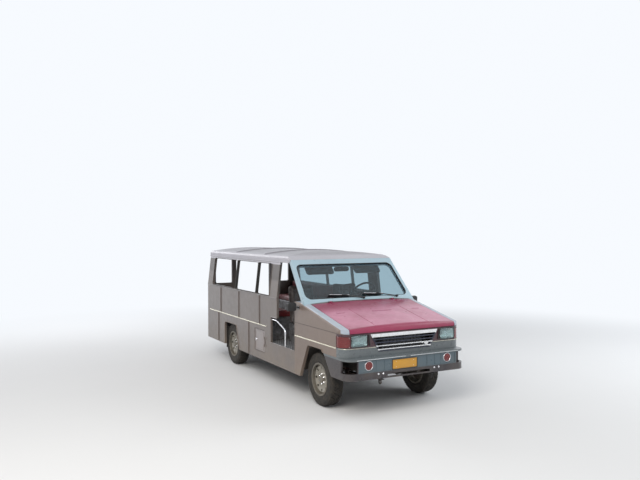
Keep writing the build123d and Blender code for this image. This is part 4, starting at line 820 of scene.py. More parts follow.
def fastener_tree():
    """Sets a shape on each point, its Z to the stored facing, turned by chance about it."""
    tree, inputs = begin_tree(
        "jeepney_fasteners", ("Shape", "Object", None), ("Size", "Float", 1.0), ("Seed", "Int", 3))
    aim = add_node(tree, "FunctionNodeAlignRotationToVector", {"Vector": facing_field(tree)}).outputs[0]
    chance = add_node(tree, "FunctionNodeRandomValue", {8: inputs["Seed"], 2: 0.0, 3: 6.283}).outputs[1]
    spin = add_node(tree, "FunctionNodeEulerToRotation",
                    {0: add_node(tree, "ShaderNodeCombineXYZ", {"Z": chance}).outputs[0]}).outputs[0]
    turn = add_node(tree, "FunctionNodeRotateRotation", {"Rotation": aim, "Rotate By": spin},
                    rotation_space="LOCAL").outputs[0]
    shape = add_node(tree, "GeometryNodeObjectInfo", {"Object": inputs["Shape"]}).outputs["Geometry"]
    copies = add_node(tree, "GeometryNodeInstanceOnPoints",
                      {"Points": inputs["Geometry"], "Instance": shape, "Rotation": turn,
                       "Scale": inputs["Size"]}).outputs[0]
    return end_tree(tree, copies, inputs)


def ring_tree():
    """Repeats the carrier's own mesh round an axle that runs along X through a centre."""
    tree, inputs = begin_tree("jeepney_ring", ("Count", "Int", 8), ("Centre", "Vector", None))
    spots = add_node(tree, "GeometryNodeMeshLine",
                     {"Count": inputs["Count"], "Start Location": inputs["Centre"],
                      "Offset": (0, 0, 0)}).outputs[0]
    share = maths(tree, "DIVIDE", add_node(tree, "GeometryNodeInputIndex").outputs[0], inputs["Count"])
    angle = add_node(tree, "ShaderNodeCombineXYZ",
                     {"X": maths(tree, "MULTIPLY", share, 2 * math.pi)}).outputs[0]
    turn = add_node(tree, "FunctionNodeEulerToRotation", {0: angle}).outputs[0]
    copies = add_node(tree, "GeometryNodeInstanceOnPoints",
                      {"Points": spots, "Instance": inputs["Geometry"], "Rotation": turn}).outputs[0]
    return end_tree(tree, copies, inputs)


TREES = {}


def run_tree(carrier, kind, finish, **values):
    """Runs a geometry tree on a carrier once and keeps the result as its plain mesh."""
    if kind not in TREES:
        TREES[kind] = kind()
    tree = TREES[kind]
    values["Finish"] = FINISHES[finish]
    modifier = carrier.modifiers.new(tree.name, "NODES")
    modifier.node_group = tree
    for item in tree.interface.items_tree:
        key = item.name.replace(" ", "_")
        if item.in_out == "INPUT" and key in values:
            modifier[item.identifier] = values[key]
    plain = bpy.data.meshes.new_from_object(carrier.evaluated_get(bpy.context.evaluated_depsgraph_get()))
    carrier.modifiers.remove(modifier)
    carrier.data = plain
    if not plain.polygons:
        raise RuntimeError(f"{carrier.name} came out empty")
    return carrier


def path_carrier(name, lines):
    """An object of edges. A line is its points, one facing or one for each point, and whether it closes."""
    points, edges, facings = [], [], []
    for line, aim, closed in lines:
        start, count = len(points), len(line)
        points.extend(line)
        facings.extend(aim if isinstance(aim, list) else [aim] * count)
        edges.extend((start + index, start + (index + 1) % count)
                     for index in range(count if closed else count - 1))
    mesh = bpy.data.meshes.new(name)
    mesh.from_pydata(points, edges, [])
    stored = mesh.attributes.new("facing", "FLOAT_VECTOR", "POINT")
    stored.data.foreach_set("vector", [part for aim in facings for part in aim])
    return start_piece(name, mesh)


def bead(name, lines, body, finish, width, thickness=None, corner=0.0, edge=None, **values):
    """A strip or round bar that follows paths, as one piece."""
    thickness = thickness or width
    values.update(Width=width, Thickness=thickness, Corner=corner,
                  Edge=min(width, thickness) * 0.499 if edge is None else edge)
    values.setdefault("Edge_Steps", 3 if edge is None else 2)
    return settle(run_tree(path_carrier(name, lines), bead_tree, finish, **values), body, finish)


def row(name, lines, shape, spacing, body, finish, **values):
    """Copies of a shape along paths, as one piece."""
    carrier = path_carrier(name, lines)
    return settle(run_tree(carrier, row_tree, finish, Shape=shape_of(shape), Spacing=spacing, **values), body,
                  finish)


def fasteners(name, spots, shape, body, finish, size=1.0, seed=3):
    """Copies of a shape on spots, each (point, facing), as one piece."""
    carrier = path_carrier(name, [([point], aim, False) for point, aim in spots])
    return settle(run_tree(carrier, fastener_tree, finish, Shape=shape_of(shape), Size=size, Seed=seed), body,
                  finish)


def ring(name, form, count, centre, body, finish, **settings):
    """A form made round the origin and repeated about an axle, as one piece."""
    carrier = start_piece(name, form_mesh(name, form))
    return settle(run_tree(carrier, ring_tree, finish, Count=count, Centre=Vector(centre)), body,
                  finish, **settings)


def rivet(form):
    """Low domed head of a blind rivet, 9 mm across."""
    turned(form, ((-0.001, 0.0046), (0.0008, 0.0045), (0.0020, 0.0030), (0.0025, 0.0)), (0, 0, 0), UP, 8)


def hex_bolt(form):
    """Hexagon head on a washer, 17 mm across."""
    turned(form, ((-0.001, 0.0120), (0.0014, 0.0120), (0.0018, 0.0112), (0.0018, 0.0)), (0, 0, 0), UP, 14)
    turned(form, ((0.0015, 0.0098), (0.0070, 0.0098), (0.0080, 0.0082), (0.0080, 0.0)), (0, 0, 0), UP, 6)


def pan_screw(form):
    """Pan-headed screw with a straight slot, 8 mm across."""
    turned(form, ((-0.001, 0.0041), (0.0012, 0.0041), (0.0021, 0.0030), (0.0021, 0.0)), (0, 0, 0), UP, 10)
    block(form, (-0.0030, -0.0004, 0.0016), (0.0030, 0.0004, 0.0023), 0.0001)


def stitch(form):
    """One stitch of thick thread, 5 mm long."""
    turned(form, ((-0.0026, 0.0), (-0.0019, 0.0008), (0.0019, 0.0008), (0.0026, 0.0)), (0, 0, 0), LEFT, 6)


SHAPES = {}


def shape_of(build):
    """The hidden object whose mesh a geometry tree repeats."""
    if build not in SHAPES:
        form = bmesh.new()
        build(form)
        SHAPES[build] = bpy.data.objects.new(f"shape_{build.__name__}", form_mesh(build.__name__, form))
    return SHAPES[build]


# Padding


def stuffed(name, form, low, high, voxel=0.006, cap=0.024, pressure=4.0):
    """Swells a slightly small closed form into a padded one with a cloth simulation, inside two corners."""
    pad = start_piece(name, form_mesh(name, form))
    skin = pad.modifiers.new("skin", "REMESH")
    skin.mode = "VOXEL"
    skin.voxel_size = voxel
    keep_result(pad)
    start = corner_array(pad.data)
    fill = pad.modifiers.new("fill", "CLOTH")
    fill.settings.use_pressure = True
    fill.settings.uniform_pressure_force = pressure
    fill.settings.effector_weights.gravity = 0.0
    scene = bpy.context.scene
    for number in range(1, 21):
        scene.frame_set(number)
    keep_result(pad)
    scene.frame_set(1)
    moved = corner_array(pad.data) - start
    reach = np.linalg.norm(moved, axis=1)[:, None]
    swollen = start + moved * np.minimum(1.0, cap / np.maximum(reach, 1e-9))
    store_array(pad.data, np.clip(swollen, low, high))
    return pad


def keep_result(made):
    """Keeps what an object's modifiers give as its plain mesh."""
    plain = bpy.data.meshes.new_from_object(made.evaluated_get(bpy.context.evaluated_depsgraph_get()))
    made.modifiers.clear()
    made.data = plain


def corner_array(mesh):
    """A mesh's points as rows of three numbers."""
    flat = np.empty(len(mesh.vertices) * 3, np.float32)
    mesh.vertices.foreach_get("co", flat)
    return flat.reshape(-1, 3).astype(float)


def store_array(mesh, points):
    """Writes points back to a mesh."""
    mesh.vertices.foreach_set("co", points.astype(np.float32).ravel())
    mesh.update()


def press(pad, lines, direction, depth, width):
    """Presses sewn channels into a pad. Each line is two points, and the direction goes into the pad."""
    points = corner_array(pad.data)
    normals = np.empty(len(points) * 3, np.float32)
    pad.data.vertices.foreach_get("normal", normals)
    into = np.array(Vector(direction).normalized())
    shown = np.clip(-(normals.reshape(-1, 3) @ into), 0.0, 1.0)
    nearest = np.full(len(points), 1.0)
    for start, end in lines:
        start, along = np.array(start, float), np.array(end, float) - np.array(start, float)
        along = along - into * (along @ into)
        offset = points - start
        offset = offset - np.outer(offset @ into, into)
        share = np.clip(offset @ along / (along @ along), 0.0, 1.0)
        nearest = np.minimum(nearest, np.linalg.norm(offset - np.outer(share, along), axis=1))
    store_array(pad.data, points + np.outer(depth * np.exp(-(nearest / width) ** 2) * shown, into))


def laid_on(pad, points, direction, lift=0.0):
    """Points dropped along a direction onto a pad's skin."""
    skin = BVHTree.FromPolygons([vertex.co for vertex in pad.data.vertices],
                                [tuple(face.vertices) for face in pad.data.polygons])
    aim = Vector(direction).normalized()
    landed = [skin.ray_cast(Vector(point) - aim * 0.5, aim)[0] for point in points]
    return [spot - aim * lift for spot in landed if spot is not None]


class JEEPNEY_OT_finishes(bpy.types.Operator):
    """Make the finishes and put them on the jeepney's panels and running gear"""

    bl_idname = "jeepney.finishes"
    bl_label = "Paint and Finishes"

    def execute(self, context):
        make_paints(context.scene.jeepney_colours)
        make_other_finishes(context.scene.jeepney_colours)
        slots = {part["node"]: part["material_slot"] for part in frame["record"]["subparts"]}
        for name in NODES:
            dress_node(name, NODE_FINISHES.get(name, slots[name]))
        return {"FINISHED"}


# Tyres and wheels, in metres from each wheel's middle: (distance outboard, radius)
CARCASS = (
    (0.0730, 0.2006), (0.0770, 0.2060), (0.0798, 0.2125), (0.0833, 0.2190), (0.0866, 0.2260),
    (0.0888, 0.2285),
    (0.0890, 0.2310), (0.0880, 0.2335), (0.0905, 0.2460), (0.0920, 0.2600), (0.0925, 0.2700),
    (0.0918, 0.2850),
    (0.0903, 0.2955), (0.0917, 0.2980), (0.0914, 0.3010), (0.0893, 0.3035), (0.0872, 0.3140),
    (0.0835, 0.3240),
    (0.0790, 0.3300), (0.0715, 0.3345), (0.0600, 0.3362), (0.0300, 0.3366),
)
TREAD_PITCHES = 52
TREAD_LUGS = (
    # inner and outer x, middle and half length as shares of a pitch, slant
    (0.0465, 0.0800, 0.00, 0.39, 0.10),
    (0.0190, 0.0420, 0.50, 0.42, 0.35),
    (-0.0145, 0.0145, 0.00, 0.43, 0.90),
    (-0.0420, -0.0190, 0.50, 0.42, 0.35),
    (-0.0800, -0.0465, 0.00, 0.39, 0.10),
)


def lug(form, x0, x1, heart, half, slant, edge=0.0013):
    """One tread block, slanted across the tread and rounded down at the shoulder."""
    pitch = 2 * math.pi / TREAD_PITCHES
    rings = []
    for sink, inset in ((0.010, 0.0), (edge, 0.0), (0.0, edge)):
        corners = []
        for x, end in ((x0 + inset, -1), (x1 - inset, -1), (x1 - inset, 1), (x0 + inset, 1)):
            shoulder = max(0.0, abs(x) - 0.052) / 0.028
            radius = WHEEL_RADIUS - 0.0004 - sink - 0.0085 * shoulder ** 2
            turn = pitch * heart + end * (pitch * half - inset / radius) + slant * (x - (x0 + x1) / 2)
            corners.append(form.verts.new((x, radius * math.sin(turn), radius * math.cos(turn))))
        rings.append(corners)
    join_rings(form, rings)


class JEEPNEY_OT_tyres(bpy.types.Operator):
    """Make the four tyres, with ribbed sidewalls and a lugged tread"""

    bl_idname = "jeepney.tyres"
    bl_label = "Tyres"

    def execute(self, context):
        for corner in CORNERS:
            centre = middle(f"tyre_{corner}")
            form = bmesh.new()
            section = [*CARCASS, *((-x, radius) for x, radius in reversed(CARCASS))]
            turned(form, section, centre, LEFT, 96, closed=True)
            form_piece(f"carcass_{corner}", form, f"wheel_{corner}", "tyre_rubber",
                       replaces=(f"tyre_{corner}",))
            form = bmesh.new()
            for numbers in TREAD_LUGS:
                lug(form, *numbers)
            ring(f"tread_{corner}", form, TREAD_PITCHES, centre, f"wheel_{corner}", "tyre_rubber", angle=25.0)
        return {"FINISHED"}


class JEEPNEY_OT_wheels(bpy.types.Operator):
    """Fit wheel nuts, vent lips, hub caps, valves, rolled rims and brake drums"""

    bl_idname = "jeepney.wheels"
    bl_label = "Wheel Fittings"

    def execute(self, context):
        for corner in CORNERS:
            side = 1 if corner.endswith("left") else -1
            centre = middle(f"tyre_{corner}")
            body, out = f"wheel_{corner}", Vector((side, 0, 0))
            form = bmesh.new()
            turned(form, ((-0.002, 0.0125), (0.003, 0.0120), (0.004, 0.0095), (0.015, 0.0095),
                          (0.017, 0.0078), (0.017, 0.0050), (0.024, 0.0050), (0.0248, 0.0)),
                   (side * 0.0385, 0, 0.0635), out, 6)
            ring(f"wheel_nuts_{corner}", form, 6, centre, body, "chrome_trim", angle=20.0)

            form = bmesh.new()
            lip = [(0.0021 * math.sin(turn), 0.0178 + 0.0021 * math.cos(turn))
                   for turn in (math.pi * index / 3 for index in range(6))]
            tilt = math.radians(19)
            turned(form, lip, (side * 0.0496, 0, 0.144), (side * math.cos(tilt), 0, -math.sin(tilt)),
                   18, closed=True)
            ring(f"vent_lips_{corner}", form, 8, centre, body, "wheel_paint")

            form = bmesh.new()
            for edge in (-1, 1):
                roll = [(edge * (0.0852 + 0.0030 * math.sin(turn)), 0.2117 + 0.0030 * math.cos(turn))
                        for turn in (math.pi * index / 4 for index in range(8))]
                turned(form, roll, centre, out, 72, closed=True)
            turned(form, ((0.0560, 0.0475), (0.0600, 0.0480), (0.0610, 0.0455), (0.0655, 0.0400),
                          (0.0680, 0.0250), (0.0682, 0.0)), centre, out, 32)
            for radius in (0.171, 0.116):
                groove = [(0.0410 + 0.0012 * math.sin(turn) + (0.0115 if radius > 0.15 else -0.001),
                           radius + 0.0030 * math.cos(turn))
                          for turn in (math.pi * index / 3 for index in range(6))]
                turned(form, groove, centre, out, 48, closed=True)
            block(form, centre + out * 0.083 + Vector((-0.004, -0.018, 0.196)),
                  centre + out * 0.083 + Vector((0.006, 0.018, 0.209)), 0.002)
            form_piece(f"rim_rolls_{corner}", form, body, "wheel_paint")

            form = bmesh.new()
            turned(form, ((0.0, 0.0055), (0.010, 0.0052), (0.018, 0.0040), (0.030, 0.0040), (0.031, 0.0)),
                   centre + out * 0.044 + Vector((0, 0.110, 0.142)), (side, 0.08, 0.10), 12)
            form_piece(f"valve_{corner}", form, body, "seal_rubber")

            form = bmesh.new()
            ribs = []
            for index in range(4):
                along = -0.0098 + index * 0.0088
                ribs.extend(((along, 0.1500), (along + 0.004, 0.1500), (along + 0.0046, 0.1455),
                             (along + 0.0082, 0.1455)))
            turned(form, (*ribs, (0.0256, 0.1400), (0.0256, 0.030), (-0.0098, 0.030)), centre, out,
                   48, closed=True)
            form_piece(f"brake_drum_{corner}", form, body, "cast_iron")
        return {"FINISHED"}


# Body trim. Heights and stations follow the panels.
WAIST = 1.300
LEAN = 0.059 / 0.510
OUTWARD = Vector((1.0, 0.0, LEAN)).normalized()
DOOR_FRONT = FRONT_AXLE + 0.600
PILLAR = FRONT_AXLE + 1.200
DOOR_REAR = FRONT_AXLE + 1.420
BODY_REAR = REAR_AXLE + 1.190
WINDOW_SPANS = ((1.480, 1.985), (2.015, 2.885), (2.915, 4.050))
SIDES = (1, -1)
ROOF_JOINT_Y = (0.02, 1.24)


def skin_x(z):
    """Half width of the body's skin at a height."""
    return BODY_HALF - max(0.0, z - WAIST) * LEAN


def side_line(side, points, lift=0.0):
    """(y, z) points carried onto the skin of one side, and the way each faces."""
    line = [(side * (skin_x(z) + lift), y, z) for y, z in points]
    aims = [(side, 0, 0) if z <= WAIST else (side * OUTWARD.x, 0, OUTWARD.z) for _, z in points]
    return line, aims


def side_lines(outlines, lift=0.0, closed=False):
    """The same (y, z) outlines on both sides."""
    return [(*side_line(side, points, lift), closed) for side in SIDES for points in outlines]


def crown_z(x, inset=0.0):
    """Height of the roof's crowned skin."""
    half = 0.835 - inset
    radius = (half ** 2 + 0.067 ** 2) / (2 * 0.067)
    return 1.965 - inset - radius + math.sqrt(radius ** 2 - x ** 2)


class JEEPNEY_OT_body_trim(bpy.types.Operator):
    """Add the body's flanges, cover strips, rivets, drip rails, arch lips and edgings"""

    bl_idname = "jeepney.body_trim"
    bl_label = "Body Trim"

    def execute(self, context):
        windows = [
            [(FRONT_AXLE + y0 - 0.007, 1.299), (FRONT_AXLE + y1 + 0.007, 1.299),
             (FRONT_AXLE + y1 + 0.007, 1.787), (FRONT_AXLE + y0 - 0.007, 1.787)]
            for y0, y1 in WINDOW_SPANS]
        leaning = [([(side * (BODY_HALF + 0.001 - (z - WAIST) * LEAN), y, z) for y, z in outline],
                    (side * OUTWARD.x, 0, OUTWARD.z), True) for side in SIDES for outline in windows]
        bead("window_flanges", leaning, "body", "body_paint", 0.015, 0.005, corner=0.034, edge=0.0015)
        inner = [([(side * (BODY_HALF - 0.0015 - (z - WAIST) * LEAN), y, z) for y, z in outline],
                  (side * OUTWARD.x, 0, OUTWARD.z), True) for side in SIDES
                 for outline in ([(y + (0.006 if index in (0, 3) else -0.006),
                                   z + (0.006 if index < 2 else -0.006))
                                  for index, (y, z) in enumerate(window)] for window in windows)]
        bead("window_seals", inner, "body", "seal_rubber", 0.007, 0.009, corner=0.028)

        drip = [((side * 0.8395, -0.955, 1.8165), (side * 0.8395, 2.4895, 1.8165)) for side in SIDES]
        around = [drip[0][0], drip[0][1], drip[1][1], drip[1][0]]
        aims = [LEFT, (0.707, 0.707, 0), (-0.707, 0.707, 0), (-1, 0, 0)]
        bead("drip_rail", [(around, aims, False)], "body", "roof_paint", 0.013, 0.013,
             corner=0.012, edge=0.003)
        joints = [([(x, y, crown_z(x) + 0.0006) for x in (step * 0.0985 - 0.788 for step in range(17))],
                   UP, False) for y in ROOF_JOINT_Y]
        bead("roof_joints", joints, "body", "roof_paint", 0.030, 0.003, edge=0.001)
        row("roof_rivets", [([(x, y + shift, z + 0.0018) for x, _, z in line], aim, False)
                            for (line, aim, _), y in zip(joints, ROOF_JOINT_Y) for shift in (-0.009, 0.009)],
            rivet, 0.075, "body", "roof_paint")
        row("band_rivets", [([(side * 0.8352, -0.80, 1.872), (side * 0.8352, 2.45, 1.872)], (side, 0, 0),
                             False) for side in SIDES], rivet, 0.125, "body", "roof_paint")

        waist = [[(PILLAR + 0.012, 1.2885), (BODY_REAR - 0.004, 1.2885)]]
        bead("waist_rail", side_lines(waist, 0.001), "body", "body_paint", 0.019, 0.007)
        strips = [[(y, 1.276), (y, 0.846)] for y in (-0.02, 0.86, 1.74)]
        strips += [[(y, 0.826), (y, 0.318)] for y in (0.42, 1.86)]
        bead("cover_strips", side_lines(strips, 0.0004), "body", "body_paint", 0.026, 0.0022, edge=0.0008)
        row("cover_rivets", side_lines(strips, 0.0015), rivet, 0.056, "body", "body_paint")
        sills = [[(DOOR_FRONT + 0.03, 0.334), (0.79, 0.334)], [(1.58, 0.334), (BODY_REAR - 0.02, 0.334)],
                 [(BODY_REAR - 0.016, 0.36), (BODY_REAR - 0.016, 1.27)]]
        row("sill_rivets", side_lines(sills, -0.0002), rivet, 0.092, "body", "body_paint")
        foot = [[(DOOR_FRONT - 0.020, 0.70), (DOOR_FRONT - 0.020, 1.26)],
                [(DOOR_REAR + 0.020, 0.66), (DOOR_REAR + 0.020, 0.97)],
                [(PILLAR + 0.02, 1.04), (PILLAR + 0.02, 1.26)]]
        row("doorway_screws", side_lines(foot, -0.0004), pan_screw, 0.11, "body", "body_paint")

        arches = [
            [(FRONT_AXLE + 0.442, 0.316), (FRONT_AXLE + 0.205, 0.768), (FRONT_AXLE - 0.178, 0.768),
             (FRONT_AXLE - 0.209, 0.730)],
            [(REAR_AXLE + 0.265, 0.316), (REAR_AXLE + 0.265, 0.705), (REAR_AXLE - 0.290, 0.705),
             (REAR_AXLE - 0.436, 0.316)]]
        bead("arch_lips", side_lines(arches, 0.0012), "body", "fender_paint", 0.013, 0.009,
             corner=0.062, edge=0.003)
        doorway = [[(DOOR_FRONT + 0.002, 1.296), (DOOR_FRONT + 0.002, 0.622), (DOOR_REAR - 0.002, 0.622),
                    (DOOR_REAR - 0.002, 0.998), (PILLAR - 0.002, 0.998), (PILLAR - 0.002, 1.300),
                    (PILLAR - 0.002, 1.801)]]
        bead("doorway_edge", side_lines(doorway, 0.0), "body", "body_paint", 0.009, 0.009, corner=0.010)
        shut = [(0.8943, DOOR_FRONT - 0.004, 1.0175), (0.8943, NOSE + 0.130, 1.0175)]
        bend = [(0.764 + 0.1303 * math.cos(turn), NOSE + 0.130 - 0.1303 * math.sin(turn), 1.0175)
                for turn in (math.radians(15 * step) for step in range(1, 6))]
        aims = [LEFT, LEFT] + [(x - 0.764, y - NOSE - 0.130, 0) for x, y, _ in bend]
        bead("fender_shut_line",
             [(mirrored(shut + bend, side), mirrored(aims, side), False) for side in SIDES],
             "body", "seal_rubber", 0.0080, 0.0016)

        form = bmesh.new()
        for side in SIDES:
            x0, x1 = sorted((side * 0.856, side * 0.8955))
            block(form, (x0, DOOR_FRONT + 0.030, 0.6200), (x1, DOOR_REAR - 0.030, 0.6232), 0.001)
        block(form, (-0.335, BODY_REAR - 0.034, 0.6250), (0.335, BODY_REAR + 0.004, 0.6282), 0.001)
        form_piece("threshold_plates", form, "body", "step_steel")

        form = bmesh.new()
        flap_y = REAR_AXLE + 0.280
        for side in SIDES:
            x0, x1 = sorted((side * 0.690, side * 0.858))
            block(form, (x0, flap_y, 0.240), (x1, flap_y + 0.006, 0.618), 0.002)
            block(form, (x0, flap_y - 0.004, 0.590), (x1, flap_y + 0.010, 0.612), 0.001)
        form_piece("mud_flaps", form, "body", "seal_rubber")
        return {"FINISHED"}


class JEEPNEY_OT_hatch_and_filler(bpy.types.Operator):
    """Fit the access door's latch and frame and the fuel filler"""

    bl_idname = "jeepney.hatch_and_filler"
    bl_label = "Access Door and Filler"

    def execute(self, context):
        low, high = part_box("access_door")
        edge = -BODY_HALF - 0.0006
        ring_line = [(edge, y, z) for y, z in (
            (low.y + 0.045, low.z + 0.022), (high.y - 0.022, low.z + 0.022), (high.y - 0.022, high.z - 0.022),
            (low.y + 0.045, high.z - 0.022))]
        bead("hatch_swage", [(ring_line, (-1, 0, 0), True)], "access_door", "hatch_paint", 0.010, 0.003,
             corner=0.022, edge=0.0012)
        heart = Vector((edge, high.y - 0.055, (low.z + high.z) / 2))
        form = bmesh.new()
        turned(form, ((0.0, 0.019), (0.003, 0.0185), (0.005, 0.013), (0.010, 0.011), (0.0105, 0.0)), heart,
               (-1, 0, 0), 24)
        block(form, heart + Vector((-0.018, -0.005, -0.026)), heart + Vector((-0.009, 0.005, 0.026)), 0.003)
        form_piece("hatch_latch", form, "access_door", "chrome_trim")
        frame_line = [(edge, y, z) for y, z in (
            (low.y + 0.058, low.z - 0.012), (high.y + 0.013, low.z - 0.012), (high.y + 0.013, high.z + 0.012),
            (low.y + 0.058, high.z + 0.012))]
        bead("hatch_frame", [(frame_line, (-1, 0, 0), False)], "body", "body_paint", 0.012, 0.003,
             corner=0.014, edge=0.001)

        form = bmesh.new()
        heart = Vector((BODY_HALF, 0.20, 0.695))
        turned(form, ((0.0, 0.052), (0.003, 0.052), (0.005, 0.048), (0.0052, 0.041), (0.012, 0.040),
                      (0.016, 0.036), (0.018, 0.030), (0.0182, 0.0)), heart, LEFT, 36)
        block(form, heart + Vector((0.014, -0.006, -0.030)), heart + Vector((0.024, 0.006, 0.030)), 0.003)
        form_piece("fuel_filler", form, "body", "black_plastic")
        turns = [math.radians(60 * index + 15) for index in range(6)]
        fasteners("filler_screws",
                  [(heart + Vector((0.0042, 0.0465 * math.cos(t), 0.0465 * math.sin(t))), LEFT)
                   for t in turns], pan_screw, "body", "chrome_trim", size=0.8)
        return {"FINISHED"}


# Nose: lamps, bright strips, plate and what lies under the bonnet
LAMP_X, LAMP_Z = 0.665, 0.930
LAMP_SIZE = (0.2254, 0.1354)
CORNER_HEART = (0.764, NOSE + 0.130)
CORNER_RADIUS = 0.130
CORNER_LAMP_Z = (0.852, 0.985)
BUMPER_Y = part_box("front_bumper")[0][1]
POCKET_Y = BUMPER_Y + 0.011
BUMPER_LAMP = (0.59, 0.64)


def lamp_loop(share, depth, side):
    """Outline of a headlight, shrunk to a share and set back from the nose by a depth."""
    width, height = (size * share for size in LAMP_SIZE)
    return upright_loop(width, height, 0.0257 * share, (side * LAMP_X, NOSE + depth, LAMP_Z))


def lamp_rings(form, profile, side, **settings):
    """Skins (share, depth) outlines of a headlight."""
    rings = [[form.verts.new(point) for point in lamp_loop(share, depth, side)] for share, depth in profile]
    join_rings(form, rings, **settings)


def round_corner(start, end, z, lift=0.0):
    """Points round the nose's left corner between two angles from straight ahead, and the ways they face."""
    turns = [math.radians(start + (end - start) * step / 5) for step in range(6)]
    x, y = CORNER_HEART
    reach = CORNER_RADIUS + lift
    return ([(x + reach * math.sin(turn), y - reach * math.cos(turn), z) for turn in turns],
            [(math.sin(turn), -math.cos(turn), 0) for turn in turns])


class JEEPNEY_OT_lamps(bpy.types.Operator):
    """Make the headlights and fit rims, seals and ribs to the signal lamps"""

    bl_idname = "jeepney.lamps"
    bl_label = "Front Lamps"

    def execute(self, context):
        lenses, bowls, bulbs, rims, domes = (bmesh.new() for _ in range(5))
        for side in SIDES:
            lamp_rings(lenses, ((0.960, 0.004), (0.985, 0.000), (0.985, -0.004), (0.970, -0.0066),
                                (0.930, -0.0080), (0.70, -0.0094), (0.35, -0.0102), (0.05, -0.0104)), side)
            lamp_rings(bowls, ((0.975, 0.0062), (0.90, 0.014), (0.78, 0.024), (0.58, 0.036), (0.34, 0.044),
                               (0.14, 0.047), (0.14, 0.050), (0.36, 0.048), (0.62, 0.040), (0.84, 0.027),
                               (0.985, 0.0100)), side, closed=True)
            heart = (side * LAMP_X, NOSE + 0.051, LAMP_Z)
            turned(bulbs, ((0.0, 0.018), (0.008, 0.018), (0.010, 0.0085), (0.022, 0.0085), (0.028, 0.0062),
                           (0.030, 0.0)), heart, FRONT, 16)
            heart = (side * BUMPER_LAMP[0], BUMPER_Y + 0.002, BUMPER_LAMP[1])
            turned(rims, ((-0.010, 0.0595), (0.001, 0.0590), (0.0042, 0.0565), (0.0046, 0.0530),
                          (0.0015, 0.0505), (-0.010, 0.0505)), heart, FRONT, 44, closed=True)
            turned(domes, ((-0.001, 0.0500), (0.0015, 0.0498), (0.0032, 0.0440), (0.0026, 0.0415),
                           (0.0040, 0.0350), (0.0034, 0.0325), (0.0048, 0.0240), (0.0042, 0.0215),
                           (0.0054, 0.0110), (0.0056, 0.0)), heart, FRONT, 40)
        form_piece("headlight_lenses", lenses, "body", "headlight_glass", replaces=("headlights",), angle=50)
        form_piece("headlight_bowls", bowls, "body", "reflector")
        form_piece("headlight_bulbs", bulbs, "body", "chrome_trim")
        form_piece("bumper_lamp_rims", rims, "body", "chrome_trim")
        form_piece("bumper_lamp_lenses", domes, "body", "red_lens", angle=25)

        bezels = [(lamp_loop(1.045, -0.0038, side), FRONT, True) for side in SIDES]
        bead("headlight_bezels", bezels, "body", "black_plastic", 0.0125, 0.0085, edge=0.003)
        uprights = [([(side * 0.520, NOSE - 0.004, 0.862), (side * 0.532, NOSE - 0.004, 0.998)], FRONT, False)
                    for side in SIDES]
        bead("lamp_uprights", uprights, "body", "black_plastic", 0.026, 0.009, edge=0.002)

        gaskets, ribs = [], []
        for side in SIDES:
            low, aims = round_corner(9.5, 90.0, CORNER_LAMP_Z[0] - 0.002, 0.0006)
            high = [(x, y, CORNER_LAMP_Z[1] + 0.002) for x, y, _ in low]
            tail = [(0.8946, NOSE + 0.162, z) for z in (CORNER_LAMP_Z[0] - 0.002, CORNER_LAMP_Z[1] + 0.002)]
            loop = [*low, tail[0], tail[1], *reversed(high)]
            faces = [*aims, LEFT, LEFT, *reversed(aims)]
            gaskets.append((mirrored(loop, side), mirrored(faces, side), True))
            for z in (0.874, 0.896, 0.918, 0.940, 0.962):
                line, aims = round_corner(14.0, 86.0, z, 0.0006)
                ribs.append((mirrored(line, side), mirrored(aims, side), False))
        bead("corner_lamp_gaskets", gaskets, "body", "seal_rubber", 0.006, 0.005)
        bead("corner_lamp_ribs", ribs, "body", "red_lens", 0.004, 0.0030)
        spots = []
        for side in SIDES:
            for turn, z in ((16.0, 0.862), (16.0, 0.975), (84.0, 0.862), (84.0, 0.975)):
                line, aims = round_corner(turn, turn, z, 0.0004)
                spots.append((mirrored(line[:1], side)[0], mirrored(aims[:1], side)[0]))
            x, z = BUMPER_LAMP
            for turn in (45, 225):
                angle = math.radians(turn)
                spots.append(((side * x + 0.055 * math.cos(angle), BUMPER_Y - 0.0016,
                               z + 0.055 * math.sin(angle)), FRONT))
        fasteners("lamp_screws", spots, pan_screw, "body", "chrome_trim", size=0.8)
        return {"FINISHED"}


